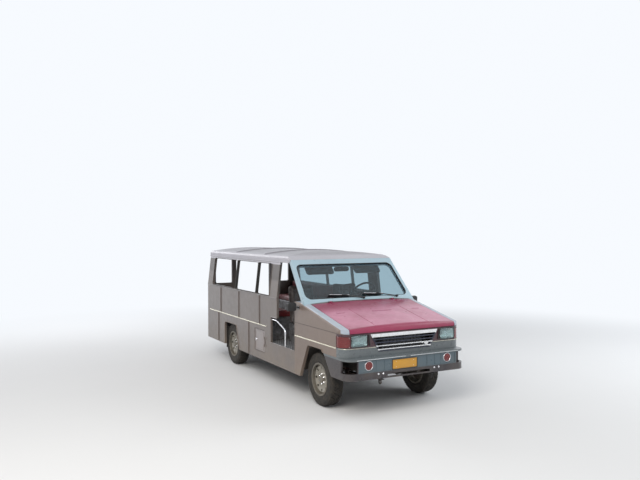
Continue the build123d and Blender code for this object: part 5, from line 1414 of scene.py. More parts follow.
class JEEPNEY_OT_nose_trim(bpy.types.Operator):
    """Lay the bright strips of the nose and bumper and hang the blank plate"""

    bl_idname = "jeepney.nose_trim"
    bl_label = "Nose Trim"

    def execute(self, context):
        strips = []
        for side in SIDES:
            corner, aims = round_corner(0.0, 82.0, 0.8385, 0.0012)
            line = [(0.430, NOSE - 0.0012, 0.8385), *corner]
            strips.append((mirrored(line, side), mirrored([FRONT, *aims], side), False))
        bead("nose_strips", strips, "body", "trim_plating", 0.012, 0.005, edge=0.002)

        # The bumper strips carry a painted highlight: near-white paint in place of chrome.
        upper = [([(x0, BUMPER_Y - 0.0008, 0.7135), (x1, BUMPER_Y - 0.0008, 0.7135)], FRONT, False)
                 for x0, x1 in ((-0.760, -0.060), (0.020, 0.760))]
        bead("bumper_strips", upper, "body", "strip_plating", 0.0190, 0.0050, edge=0.0016)
        rim = [(-0.722, POCKET_Y, 0.555), (0.722, POCKET_Y, 0.555), (0.722, POCKET_Y, 0.702),
               (-0.722, POCKET_Y, 0.702)]
        bead("pocket_rim", [(rim, FRONT, True)], "body", "bumper_paint", 0.006, 0.006, corner=0.008)
        mesh_bars = [([(x, POCKET_Y - 0.0002, 0.566), (x, POCKET_Y - 0.0002, 0.692)], FRONT, False)
                     for x in (-0.48, -0.36, 0.28, 0.40, 0.50)]
        bead("pocket_ribs", mesh_bars, "body", "bumper_paint", 0.010, 0.006, edge=0.002)

        form = bmesh.new()
        outline = upright_loop(0.360, 0.112, 0.010, (-0.06, POCKET_Y, 0.622))
        slab(form, outline, (0, -0.0030, 0), 0.0006)
        form_piece("front_plate", form, "body", "plate_paint")
        raised = upright_loop(0.346, 0.098, 0.009, (-0.06, POCKET_Y - 0.0030, 0.622))
        bead("front_plate_bead", [(raised, FRONT, True)], "body", "plate_paint", 0.004, 0.0020)
        holder = upright_loop(0.372, 0.124, 0.012, (-0.06, POCKET_Y - 0.0012, 0.622))
        bead("front_plate_holder", [(holder, FRONT, True)], "body", "black_plastic", 0.010,
             0.0045, edge=0.0015)
        bolts = [((x, POCKET_Y - 0.0030, z), FRONT) for x in (-0.19, 0.07) for z in (0.588, 0.656)]
        fasteners("plate_screws", bolts, pan_screw, "body", "chrome_trim")
        mounts = [((side * x, BUMPER_Y - 0.0002, 0.530), FRONT) for side in SIDES for x in (0.385, 0.455)]
        fasteners("bumper_bolts", mounts, hex_bolt, "body", "chrome_trim")
        return {"FINISHED"}


def fan_blade(form, turn, heart):
    """One twisted sheet blade of the cooling fan."""
    rings = []
    for reach, chord, pitch in ((0.040, 0.034, 50), (0.090, 0.052, 38), (0.140, 0.060, 28),
                                (0.165, 0.050, 24)):
        tilt = math.radians(pitch)
        out = Vector((math.cos(turn), 0, math.sin(turn)))
        swing = Vector((-math.sin(turn), 0, math.cos(turn)))
        edge = swing * math.cos(tilt) * chord / 2 + Vector(BACK) * math.sin(tilt) * chord / 2
        skin = edge.cross(out).normalized() * 0.0009
        centre = Vector(heart) + out * reach
        rings.append([form.verts.new(centre + edge * a + skin * b)
                      for a, b in ((-1, -1), (1, -1), (1, 1), (-1, 1))])
    join_rings(form, rings)


class JEEPNEY_OT_engine_bay(bpy.types.Operator):
    """Dress the engine with its cover, air cleaner, fan, hoses, leads and battery"""

    bl_idname = "jeepney.engine_bay"
    bl_label = "Engine Bay"

    def execute(self, context):
        low, high = (Vector(corner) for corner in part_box("engine"))
        top, front = high.z, low.y
        form = bmesh.new()
        block(form, (-0.085, front + 0.08, top - 0.002), (0.085, front + 0.54, top + 0.062), 0.014)
        for index in range(9):
            y = front + 0.12 + index * 0.047
            block(form, (-0.060, y, top + 0.060), (0.060, y + 0.008, top + 0.067), 0.002)
        turned(form, ((0.0, 0.030), (0.010, 0.030), (0.012, 0.026), (0.024, 0.025), (0.027, 0.020),
                      (0.027, 0.0)), (0.0, front + 0.50, top + 0.060), UP, 20)
        form_piece("rocker_cover", form, "body", "cast_iron")
        sites = [((x, front + y, top + 0.0615), UP) for x in (-0.072, 0.072) for y in (0.11, 0.30, 0.49)]
        fasteners("rocker_bolts", sites, hex_bolt, "body", "chrome_trim")

        form = bmesh.new()
        turned(form, ((0.0, 0.05), (0.0, 0.118), (0.006, 0.126), (0.014, 0.130), (0.056, 0.130),
                      (0.060, 0.134), (0.066, 0.134), (0.070, 0.124), (0.076, 0.040), (0.080, 0.016),
                      (0.088, 0.010), (0.088, 0.0)), (0.165, front + 0.33, top - 0.001), UP, 44)
        turned(form, ((0.0, 0.026), (0.10, 0.026), (0.12, 0.034), (0.121, 0.0)),
               (0.165, front + 0.21, top + 0.032), (0.35, -1, 0), 18)
        form_piece("air_cleaner", form, "body", "black_plastic")

        form = bmesh.new()
        heart = (0.0, front - 0.115, 0.735)
        for index in range(6):
            fan_blade(form, 2 * math.pi * index / 6, heart)
        turned(form, ((-0.116, 0.030), (-0.020, 0.030), (-0.018, 0.046), (0.012, 0.046), (0.018, 0.038),
                      (0.018, 0.0)), heart, FRONT, 24)
        turned(form, ((-0.062, 0.050), (-0.058, 0.066), (-0.050, 0.060), (-0.046, 0.066), (-0.042, 0.050)),
               heart, FRONT, 28)
        turned(form, ((0.0, 0.030), (0.05, 0.030), (0.052, 0.046), (0.060, 0.040), (0.064, 0.046),
                      (0.068, 0.0)), (0.17, front + 0.002, 0.86), FRONT, 24)
        form_piece("fan_and_pulleys", form, "body", "spring_steel", angle=30)
        belt = [(0.062 * math.cos(t), front - 0.060, 0.735 + 0.062 * math.sin(t))
                for t in (math.radians(150 + 30 * step) for step in range(6))]
        belt += [(0.17 + 0.044 * math.cos(t), front - 0.060, 0.86 + 0.044 * math.sin(t))
                 for t in (math.radians(-30 + 30 * step) for step in range(6))]
        bead("fan_belt", [(belt, FRONT, True)], "body", "seal_rubber", 0.008, 0.010, edge=0.002)

        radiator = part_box("radiator")
        back = radiator[1][1]
        hoses = [
            [(0.10, back - 0.004, 0.945), (0.10, back + 0.060, 0.950), (0.075, front - 0.040, 0.905),
             (0.060, front + 0.030, 0.900)],
            [(-0.16, back - 0.004, 0.610), (-0.16, back + 0.070, 0.605), (-0.13, front - 0.050, 0.560),
             (-0.13, front + 0.010, 0.560)]]
        bead("coolant_hoses", [(line, UP, False) for line in hoses], "body", "seal_rubber",
             0.036, corner=0.04)
        form = bmesh.new()
        for line in hoses:
            turned(form, ((0.0, 0.0190), (0.0, 0.0205), (0.012, 0.0205), (0.012, 0.0190)),
                   Vector(line[0]) + Vector((0, 0.012, 0)), BACK, 24, closed=True)
        turned(form, ((-0.006, 0.026), (0.004, 0.026), (0.008, 0.022), (0.014, 0.021), (0.016, 0.0)),
               (-0.05, (radiator[0][1] + back) / 2, radiator[1][2] + 0.003), UP, 20)
        block(form, (-0.29, radiator[0][1] + 0.004, radiator[1][2] - 0.004),
              (0.29, back - 0.004, radiator[1][2] + 0.004), 0.003)
        form_piece("radiator_fittings", form, "body", "radiator_metal")
        leads = [[(0.048 - 0.010 * index, front + 0.13 + 0.095 * index, top + 0.066),
                  (0.060, front + 0.13 + 0.095 * index, top + 0.105),
                  (0.150 - 0.02 * index, front + 0.60, top + 0.095), (0.120, front + 0.655, top + 0.045)]
                 for index in range(4)]
        bead("plug_leads", [(line, UP, False) for line in leads], "body", "seal_rubber", 0.008, corner=0.05)

        form = bmesh.new()
        wall = -1.4800
        block(form, (-0.44, wall - 0.175, 0.790), (-0.20, wall, 0.796), 0.001)
        for x in (-0.42, -0.23):
            slab(form, ((x, wall, 0.79), (x, wall - 0.16, 0.79), (x, wall, 0.66)), (0.004, 0, 0))
        form_piece("battery_tray", form, "body", "chassis_paint")
        form = bmesh.new()
        block(form, (-0.43, wall - 0.170, 0.7962), (-0.21, wall - 0.010, 0.955), 0.005)
        block(form, (-0.432, wall - 0.172, 0.925), (-0.208, wall - 0.008, 0.965), 0.003)
        for index in range(6):
            turned(form, ((0.0, 0.010), (0.006, 0.010), (0.008, 0.007), (0.008, 0.0)),
                   (-0.405 + 0.034 * index, wall - 0.090, 0.964), UP, 12)
        form_piece("battery", form, "body", "black_plastic")
        cables = [[(-0.235, wall - 0.035, 0.972), (-0.235, wall - 0.035, 1.010), (-0.150, wall - 0.06, 1.000),
                   (-0.120, wall - 0.10, 0.925)],
                  [(-0.405, wall - 0.035, 0.972), (-0.405, wall - 0.035, 1.005), (-0.470, wall - 0.02, 0.960),
                   (-0.470, wall + 0.002, 0.900)]]
        bead("battery_cables", [(line, UP, False) for line in cables], "body", "seal_rubber",
             0.011, corner=0.03)
        return {"FINISHED"}


# Windscreen and mirrors. A distance up the windscreen is measured along its slope.
SCREEN_FOOT = Vector((0, FRONT_AXLE + 0.316, 1.280))
SCREEN_UP = Vector((0, 0.6800, 0.7332))
SCREEN_OUT = Vector((0, -0.7332, 0.6800))
MIRROR = (0.998, DOOR_FRONT - 0.105, 1.242)
WIPER_X = (0.062, 0.620)


def on_screen(x, rise, lift=0.0):
    """A point of the windscreen's outer plane, lifted off it or sunk into it."""
    return SCREEN_FOOT + Vector((x, 0, 0)) + SCREEN_UP * rise + SCREEN_OUT * lift


def screen_loop(shrink, lift):
    """Corner points of the glass, smaller all round by a margin."""
    low, high = 0.832 - shrink, 0.792 - shrink
    return [on_screen(x, rise, lift) for x, rise in
            ((-low, 0.08 + shrink), (low, 0.08 + shrink), (high, 0.70 - shrink), (-high, 0.70 - shrink))]


class JEEPNEY_OT_screen_trim(bpy.types.Operator):
    """Seat the windscreen in its rubber and fit wiper caps, mirrors and sun visors"""

    bl_idname = "jeepney.screen_trim"
    bl_label = "Windscreen and Mirrors"

    def execute(self, context):
        bead("screen_seal", [(screen_loop(0.003, -0.0105), SCREEN_OUT, True)], "body", "seal_rubber",
             0.020, 0.013, corner=0.087, edge=0.004, Corner_Steps=14)
        bead("screen_insert", [(screen_loop(0.003, -0.0038), SCREEN_OUT, True)], "body", "chrome_trim",
             0.004, 0.003, corner=0.087, Corner_Steps=14)
        head = [on_screen(x, 0.776, 0.0006) for x in (-0.780, 0.780)]
        row("header_rivets", [(head, SCREEN_OUT, False)], rivet, 0.13, "body", "screen_frame_paint")

        form = bmesh.new()
        for x in WIPER_X:
            turned(form, ((-0.004, 0.0155), (0.004, 0.0155), (0.008, 0.0125), (0.014, 0.0085), (0.0150, 0.0)),
                   on_screen(x, 0.058, 0.022), SCREEN_OUT, 20)
            for share in (0.30, 0.62):
                reach = x - 0.333 * share
                heart = on_screen(reach, 0.058 + 0.074 * share, 0.018)
                turned(form, ((-0.001, 0.0050), (0.0016, 0.0046), (0.0022, 0.0)), heart, SCREEN_OUT, 10)
        form_piece("wiper_caps", form, "body", "black_plastic")
        blades = [([on_screen(x - 0.333 - 0.037 + end * 0.155, 0.128 - end * 0.0108, 0.0142)
                    for end in (-1, 1)], SCREEN_OUT, False) for x in WIPER_X]
        bead("wiper_spines", blades, "body", "chrome_trim", 0.0042, 0.0060)

        glass, rims = bmesh.new(), []
        for side in SIDES:
            x, y, z = side * MIRROR[0], MIRROR[1], MIRROR[2]
            slab(glass, upright_loop(0.1262, 0.1022, 0.019, (x, y - 0.0050, z)),
                 (0, 0.0030, 0), 0.0006)
            rims.append((upright_loop(0.1335, 0.1095, 0.022, (x, y + 0.0002, z)),
                         BACK, True))
        form_piece("mirror_glasses", glass, "body", "mirror_glass", angle=20)
        bead("mirror_rims", rims, "body", "black_plastic", 0.0062, 0.0050)
        spots = [((side * (BODY_HALF + 0.0088), MIRROR[1] - 0.016 + y, MIRROR[2] - 0.012 + z), (side, 0, 0))
                 for side in SIDES for y in (-0.022, 0.022) for z in (-0.013, 0.013)]
        fasteners("mirror_screws", spots, pan_screw, "body", "chrome_trim")

        form = bmesh.new()
        heart = Vector((0.0, -0.975, 1.705))
        outline = onto(rounded_loop(0.250, 0.066, 0.030), heart, LEFT, (0, -0.12, 0.993))
        slab(form, outline, (0, -0.020, -0.0024), 0.005)
        stem = (0, -0.60, 0.80)
        turned(form, ((-0.010, 0.007), (0.105, 0.006), (0.110, 0.016), (0.118, 0.022), (0.122, 0.0)),
               heart + Vector((0, -0.016, 0.0)), stem, 14)
        form_piece("cab_mirror", form, "body", "black_plastic")
        form = bmesh.new()
        outline = onto(rounded_loop(0.240, 0.056, 0.026), heart + Vector((0, 0.0002, 0)), LEFT,
                       (0, -0.12, 0.993))
        slab(form, outline, (0, 0.0022, 0.0003), 0.0006)
        form_piece("cab_mirror_glass", form, "body", "mirror_glass", angle=20)

        form = bmesh.new()
        for side in SIDES:
            centre = on_screen(side * 0.395, 0.655, -0.078)
            outline = onto(rounded_loop(0.44, 0.150, 0.030), centre, LEFT, SCREEN_UP)
            slab(form, outline, SCREEN_OUT * -0.016, 0.005)
            for x in (0.21, 0.58):
                turned(form, ((0.0, 0.005), (0.052, 0.005), (0.054, 0.011), (0.060, 0.011), (0.062, 0.0)),
                       on_screen(side * x, 0.722, -0.085), SCREEN_OUT, 12)
        form_piece("sun_visors", form, "body", "dash_plastic")
        return {"FINISHED"}


# Cab. The dashboard's face leans forward from its brow.
DASH_TOP = (-1.246, 1.180)
DASH_UP = Vector((0, 0.2086, 0.9780))
DASH_OUT = Vector((0, 0.9780, -0.2086))
WHEEL_HEART = Vector((0.370, FRONT_AXLE + 0.880, 1.335))
COLUMN = Vector((0, math.cos(math.radians(35)), math.sin(math.radians(35))))
GAUGE_X = (0.302, 0.438)
FLOOR_Z = 0.620
WALL_Y = -1.468


def on_dash(x, z, lift=0.0):
    """A point of the dashboard's face, lifted off it."""
    y, top = DASH_TOP
    return Vector((x, y + (z - top) * DASH_UP.y / DASH_UP.z, z)) + DASH_OUT * lift


def dash_loop(x, z, width, height, corner, lift=0.0):
    """A rounded outline on the dashboard's face."""
    return onto(rounded_loop(width, height, corner), on_dash(x, z, lift), LEFT, DASH_UP)


def vent_slat(form):
    """One slat of the defroster vents, 45 mm long."""
    block(form, (-0.0016, -0.0225, -0.001), (0.0016, 0.0225, 0.0022), 0.0006)


class JEEPNEY_OT_dashboard(bpy.types.Operator):
    """Fit the gauges, vents, glovebox, knobs and handles of the dashboard"""

    bl_idname = "jeepney.dashboard"
    bl_label = "Dashboard"

    def execute(self, context):
        form = bmesh.new()
        ring_plate(form, dash_loop(0.37, 1.108, 0.318, 0.136, 0.030),
                   dash_loop(0.37, 1.108, 0.292, 0.110, 0.024), DASH_OUT * 0.022)
        for x in GAUGE_X:
            turned(form, ((-0.002, 0.0490), (0.010, 0.0485), (0.013, 0.0460), (0.013, 0.0435),
                          (0.004, 0.0425), (-0.002, 0.0425)), on_dash(x, 1.108), DASH_OUT, 36, closed=True)
        form_piece("gauge_hood", form, "body", "black_plastic")
        form = bmesh.new()
        for x in GAUGE_X:
            turned(form, ((-0.002, 0.0424), (0.0030, 0.0424), (0.0031, 0.0)), on_dash(x, 1.108), DASH_OUT, 32)
        form_piece("gauge_dials", form, "body", "dial_face", angle=20)
        ticks = bmesh.new()
        left = Vector(LEFT)
        for x in GAUGE_X:
            heart = on_dash(x, 1.108, 0.0030)
            for index in range(15):
                turn = math.radians(-35 + 250 * index / 14)
                out = left * math.cos(turn) + DASH_UP * math.sin(turn)
                wide = out.cross(DASH_OUT) * (0.0009 if index % 2 == 0 else 0.0005)
                near = heart + out * (0.031 if index % 2 == 0 else 0.034)
                far = heart + out * 0.039
                slab(ticks, (near - wide, near + wide, far + wide, far - wide), DASH_OUT * 0.0006)
            out = left * math.cos(math.radians(205)) + DASH_UP * math.sin(math.radians(205))
            wide = out.cross(DASH_OUT) * 0.0011
            base = heart + DASH_OUT * 0.0022
            slab(ticks, (base - wide, base + wide, base + out * 0.034), DASH_OUT * 0.0008)
            turned(ticks, ((0.0, 0.0055), (0.0050, 0.0050), (0.0056, 0.0)), heart, DASH_OUT, 16)
        form_piece("gauge_needles", ticks, "body", "reflector", angle=20)

        form = bmesh.new()
        slab(form, dash_loop(-0.46, 1.110, 0.370, 0.112, 0.014), DASH_OUT * 0.0045, 0.0014)
        slab(form, dash_loop(0.0, 1.122, 0.190, 0.060, 0.006), DASH_OUT * 0.0060, 0.0014)
        turned(form, ((0.0, 0.013), (0.006, 0.013), (0.010, 0.011), (0.011, 0.0)),
               on_dash(-0.46, 1.150, 0.0045), DASH_OUT, 20)
        for x in (-0.078, 0.078):
            turned(form, ((0.0, 0.0125), (0.004, 0.0125), (0.005, 0.0105), (0.018, 0.0098), (0.019, 0.0)),
                   on_dash(x, 1.122, 0.006), DASH_OUT, 20)
        for index in range(5):
            heart = on_dash(-0.084 + 0.042 * index, 1.058)
            turned(form, ((0.0, 0.0115), (0.0025, 0.0115), (0.0035, 0.0060), (0.013, 0.0060), (0.015, 0.0095),
                          (0.023, 0.0090), (0.0245, 0.0070), (0.0245, 0.0)), heart, DASH_OUT, 18)
        for x in (-0.755, 0.70, 0.155, -0.175):
            ring_plate(form, dash_loop(x, 1.118, 0.108, 0.066, 0.010),
                       dash_loop(x, 1.118, 0.094, 0.052, 0.006), DASH_OUT * 0.009)
            for index in range(5):
                z = 1.100 + 0.009 * index
                near, far = on_dash(x - 0.047, z, 0.001), on_dash(x + 0.047, z, 0.001)
                slab(form, (near, far, far + DASH_UP * 0.0030 + DASH_OUT * 0.005,
                            near + DASH_UP * 0.0030 + DASH_OUT * 0.005), DASH_UP * 0.0014)
        form_piece("dash_fittings", form, "body", "black_plastic")
        seam = [(dash_loop(-0.46, 1.110, 0.378, 0.120, 0.017, 0.0002), DASH_OUT, True)]
        bead("glovebox_seam", seam, "body", "seal_rubber", 0.003, 0.0012)
        rail = [on_dash(-0.62, 1.036, -0.002), on_dash(-0.62, 1.036, 0.040), on_dash(-0.30, 1.036, 0.040),
                on_dash(-0.30, 1.036, -0.002)]
        bead("dash_handle", [(rail, DASH_OUT, False)], "body", "chrome_trim", 0.014, corner=0.018)
        brow = [([(x, -1.2545, 1.1962) for x in (-0.845, 0.845)], (0, 0.88, 0.47), False)]
        bead("dash_brow", brow, "body", "black_plastic", 0.012, 0.006, edge=0.002)
        row("defroster_slots", [([(x0, -1.4280, 1.2532), (x1, -1.4280, 1.2532)], UP, False)
                                for x0, x1 in ((-0.62, -0.22), (0.22, 0.62))], vent_slat, 0.012, "body",
            "black_plastic")
        return {"FINISHED"}


class JEEPNEY_OT_controls(bpy.types.Operator):
    """Make the horn pad, stalks, pedals, gear lever and handbrake"""

    bl_idname = "jeepney.controls"
    bl_label = "Controls"

    def execute(self, context):
        form = bmesh.new()
        turned(form, ((-0.012, 0.041), (-0.002, 0.0475), (0.006, 0.0460), (0.011, 0.0400), (0.0125, 0.0330),
                      (0.0110, 0.0300), (0.0120, 0.0250), (0.0128, 0.0)), WHEEL_HEART, COLUMN, 40)
        form_piece("horn_pad", form, "steering_wheel", "dash_plastic", angle=25)
        side = Vector(LEFT)
        rise = COLUMN.cross(side) * -1
        grips = []
        for start in (-14, 28, 100, 158, 200):
            for step in range(5):
                turn = math.radians(start + 3.2 * step)
                out = side * math.cos(turn) + rise * math.sin(turn)
                loop = [WHEEL_HEART + out * (0.195 + 0.0141 * math.cos(t)) + COLUMN * (0.0141 * math.sin(t))
                        for t in (2 * math.pi * part / 12 for part in range(12))]
                aims = [tuple((point - WHEEL_HEART - out * 0.195).normalized()) for point in loop]
                grips.append((loop, aims, True))
        bead("wheel_grips", grips, "steering_wheel", "black_plastic", 0.0035, 0.0025, Edge_Steps=1)

        base = WHEEL_HEART - COLUMN * 0.125
        form = bmesh.new()
        turned(form, ((-0.02, 0.0375), (0.0, 0.040), (0.055, 0.041), (0.066, 0.036), (0.068, 0.0)),
               base, COLUMN, 28)
        for end in (1, -1):
            turned(form, ((0.030, 0.0065), (0.120, 0.0045), (0.124, 0.0085), (0.170, 0.0090), (0.176, 0.0060),
                          (0.177, 0.0)), base + COLUMN * 0.035, (end, -0.10, 0.12), 14)
        turned(form, ((0.034, 0.014), (0.052, 0.014), (0.054, 0.012), (0.054, 0.0)), base + COLUMN * 0.012,
               (-0.8, 0.2, -0.5), 18)
        form_piece("column_shroud", form, "body", "dash_plastic")

        arms, pads = [], bmesh.new()
        for x, wide in ((0.470, 0.062), (0.365, 0.062), (0.262, 0.046)):
            arms.append(([(x, WALL_Y - 0.002, 0.985), (x, WALL_Y + 0.060, 0.975), (x, WALL_Y + 0.128, 0.800)],
                         LEFT, False))
            heart = Vector((x, WALL_Y + 0.130, 0.782))
            up, out = Vector((0, -0.50, 0.866)), Vector((0, 0.866, 0.50))
            slab(pads, onto(rounded_loop(wide, 0.072, 0.009), heart - out * 0.004, LEFT, up),
                 out * 0.012, 0.002)
            for index in range(5):
                line = heart + out * 0.008 + up * (0.012 * index - 0.026)
                near, far = line - Vector((wide / 2 - 0.008, 0, 0)), line + Vector((wide / 2 - 0.008, 0, 0))
                slab(pads, (near, far, far + up * 0.005, near + up * 0.005), out * 0.003, 0.0006)
        bead("pedal_arms", arms, "body", "chassis_paint", 0.014, 0.008, corner=0.03, edge=0.002)
        form_piece("pedal_pads", pads, "body", "seal_rubber")

        form = bmesh.new()
        bellows = [(0.0, 0.066), (0.006, 0.066)]
        for index in range(5):
            bellows.extend(((0.010 + 0.012 * index, 0.050 - 0.008 * index),
                            (0.016 + 0.012 * index, 0.056 - 0.008 * index)))
        turned(form, (*bellows, (0.076, 0.010), (0.076, 0.0)), (0.0, -1.05, FLOOR_Z), (0, 0.05, 1), 32)
        form_piece("gear_gaiter", form, "body", "seal_rubber")
        lever = [(0.0, -1.048, FLOOR_Z + 0.05), (0.004, -1.035, 0.830), (0.018, -0.935, 1.010)]
        bead("gear_lever", [(lever, LEFT, False)], "body", "chrome_trim", 0.012, corner=0.10)
        form = bmesh.new()
        turned(form, ((-0.020, 0.0), (-0.020, 0.009), (-0.012, 0.016), (0.0, 0.0215), (0.010, 0.0235),
                      (0.020, 0.0205), (0.027, 0.011), (0.029, 0.0)), lever[-1], (0.08, 0.45, 0.88), 24)
        form_piece("gear_knob", form, "body", "black_plastic")

        form = bmesh.new()
        pivot = Vector((0.100, -0.945, FLOOR_Z))
        for x in (-0.016, 0.012):
            slab(form, [pivot + Vector((x, y, z)) for y, z in ((-0.045, 0.0), (0.055, 0.0), (0.030, 0.062),
                                                               (-0.020, 0.062))], (0.004, 0, 0), 0.0008)
        block(form, pivot + Vector((-0.030, -0.060, 0.0)), pivot + Vector((0.030, 0.070, 0.004)), 0.001)
        turned(form, ((-0.022, 0.009), (0.022, 0.009)), pivot + Vector((0, 0.0, 0.045)), LEFT, 12)
        form_piece("handbrake_foot", form, "body", "chassis_paint")
        start, end = pivot + Vector((0, -0.010, 0.040)), Vector((0.100, -0.668, 0.790))
        bead("handbrake_lever", [([start, end], LEFT, False)], "body", "chrome_trim", 0.020)
        way = (end - start).normalized()
        form = bmesh.new()
        turned(form, ((-0.115, 0.0), (-0.115, 0.0145), (-0.108, 0.0160), (-0.060, 0.0170), (-0.010, 0.0160),
                      (0.0, 0.0150), (0.004, 0.0100), (0.004, 0.0060), (0.018, 0.0060), (0.020, 0.0)), end,
               way, 22)
        form_piece("handbrake_grip", form, "body", "black_plastic")
        return {"FINISHED"}


# Cabin and upholstery. Channels are pressed furrows, placed by a share of a bench's length or in metres.
BENCH_Y = (-0.305, 2.375)
BENCH_X = (0.440, 0.855)
BENCH_Z = (0.9605, 1.050)
PADS = 4
ROOF_WALL = 0.025
BENCH_CHANNELS = (0.17, 0.335, 0.50, 0.665, 0.83)
SEAT_X = (0.150, 0.610)
SEAT_Z = (0.8805, 1.000)
SEAT_CHANNELS = (0.265, 0.3225, 0.4375, 0.495)
DOME_Y = (0.38, 1.82)


def copied(pad, name, place_points):
    """A copy of a pad with its points moved by a function."""
    made = start_piece(name, pad.data.copy())
    store_array(made.data, place_points(corner_array(pad.data)))
    return made


def merged(name, parts):
    """One object from several pads, its faces turned outwards."""
    form = bmesh.new()
    for part in parts:
        form.from_mesh(part.data)
        bpy.data.objects.remove(part)
    return start_piece(name, form_mesh(name, form))


def mirror_points(points):
    """Points mirrored to the other side of the vehicle."""
    return points * np.array((-1.0, 1.0, 1.0))


def piping(name, pad, outlines, direction, body, finish, width=0.007):
    """Sewn piping that lies on a pad along outlines dropped on it."""
    lines = []
    for outline in outlines:
        landed = laid_on(pad, outline, direction, width * 0.18)
        lines.append((landed, tuple(-Vector(direction).normalized()), True))
    return bead(name, lines, body, finish, width)


def densified(outline, spacing):
    """A closed outline with points added along its long sides."""
    dense = []
    for index, (x, y) in enumerate(outline):
        after = outline[(index + 1) % len(outline)]
        count = max(1, int(math.dist((x, y), after) / spacing))
        dense.extend((x + (after[0] - x) * step / count, y + (after[1] - y) * step / count)
                     for step in range(count))
    return dense


class JEEPNEY_OT_benches(bpy.types.Operator):
    """Stuff the long bench pads and channel their back rests"""

    bl_idname = "jeepney.benches"
    bl_label = "Benches"

    def execute(self, context):
        length = (BENCH_Y[1] - BENCH_Y[0]) / PADS
        x0, x1 = BENCH_X
        z0, z1 = BENCH_Z
        low = Vector((x0 + 0.001, BENCH_Y[0] + 0.001, z0))
        high = Vector((x1 - 0.0005, BENCH_Y[0] + length - 0.001, z1))
        form = bmesh.new()
        block(form, low + Vector((0.011, 0.011, 0.001)), high - Vector((0.011, 0.011, 0.015)), 0.020)
        pad = stuffed("bench_pad", form, tuple(low), tuple(high), cap=0.022)
        middle_x = (x0 + x1) / 2
        lines = [((x0 - 0.02, low.y + length * share, z1), (x1 + 0.02, low.y + length * share, z1))
                 for share in BENCH_CHANNELS]
        press(pad, lines, DOWN, 0.0075, 0.013)
        for name, turn in (("left", lambda points: points), ("right", mirror_points)):
            side = 1 if name == "left" else -1
            parts = [copied(pad, f"pad_{index}",
                            lambda points, shift=index * length: turn(points + (0, shift, 0)))
                     for index in range(PADS)]
            bench = merged(f"bench_pads_{name}", parts)
            settle(bench, "body", "bench_vinyl", replaces=(f"bench_cushion_{name}",), angle=60)
            rims, seams = [], []
            for index in range(PADS):
                y0 = BENCH_Y[0] + index * length
                outline = rounded_loop(x1 - x0 - 0.046, length - 0.046, 0.022, 4)
                rims.append([(side * (middle_x + a), y0 + length / 2 + b, z1)
                             for a, b in densified(outline, 0.03)])
                for share in BENCH_CHANNELS:
                    seams.append([(side * (x0 + 0.035 + (x1 - x0 - 0.07) * step / 12), y0 + length * share,
                                   z1) for step in range(13)])
            piping(f"bench_piping_{name}", bench, rims, DOWN, "body", "bench_vinyl")
            threads = [(laid_on(bench, seam, DOWN, 0.0004), UP, False) for seam in seams]
            row(f"bench_stitches_{name}", threads, stitch, 0.0085, "body", "lining")
        bpy.data.objects.remove(pad)

        form = bmesh.new()
        channels, steps = 40, 8
        section = ((0.0597, 0.004), (0.0560, 0.0), (0.030, 0.000), (0.012, 0.004), (0.003, 0.014),
                   (0.0, 0.040), (0.0, 0.110), (0.0, 0.180), (0.003, 0.209), (0.012, 0.2195), (0.030, 0.2235),
                   (0.0560, 0.2235), (0.0597, 0.2195))
        for side in SIDES:
            rings = []
            for index in range(channels * steps + 1):
                share = index / (channels * steps)
                groove = abs(math.sin(math.pi * channels * share)) ** 0.45
                end = min(1.0, 12 * share, 12 * (1 - share)) ** 0.5
                ring_points = []
                for depth, height in section:
                    sunk = 0.0075 * (1 - groove * end) * (1 - depth / 0.0597)
                    if index in (0, channels * steps):
                        depth, height = 0.0597 - (0.0597 - depth) * 0.80, 0.112 + (height - 0.112) * 0.94
                    x = 0.7992 + depth + sunk
                    z = 1.0702 + height * 0.998
                    ring_points.append(form.verts.new((side * x, BENCH_Y[0] + 0.001 + share * 2.678, z)))
                rings.append(ring_points)
            join_rings(form, rings)
        backs = form_piece("bench_back_rests", form, "body", "bench_vinyl",
                           replaces=("bench_backs",), angle=60)
        return {"FINISHED"}


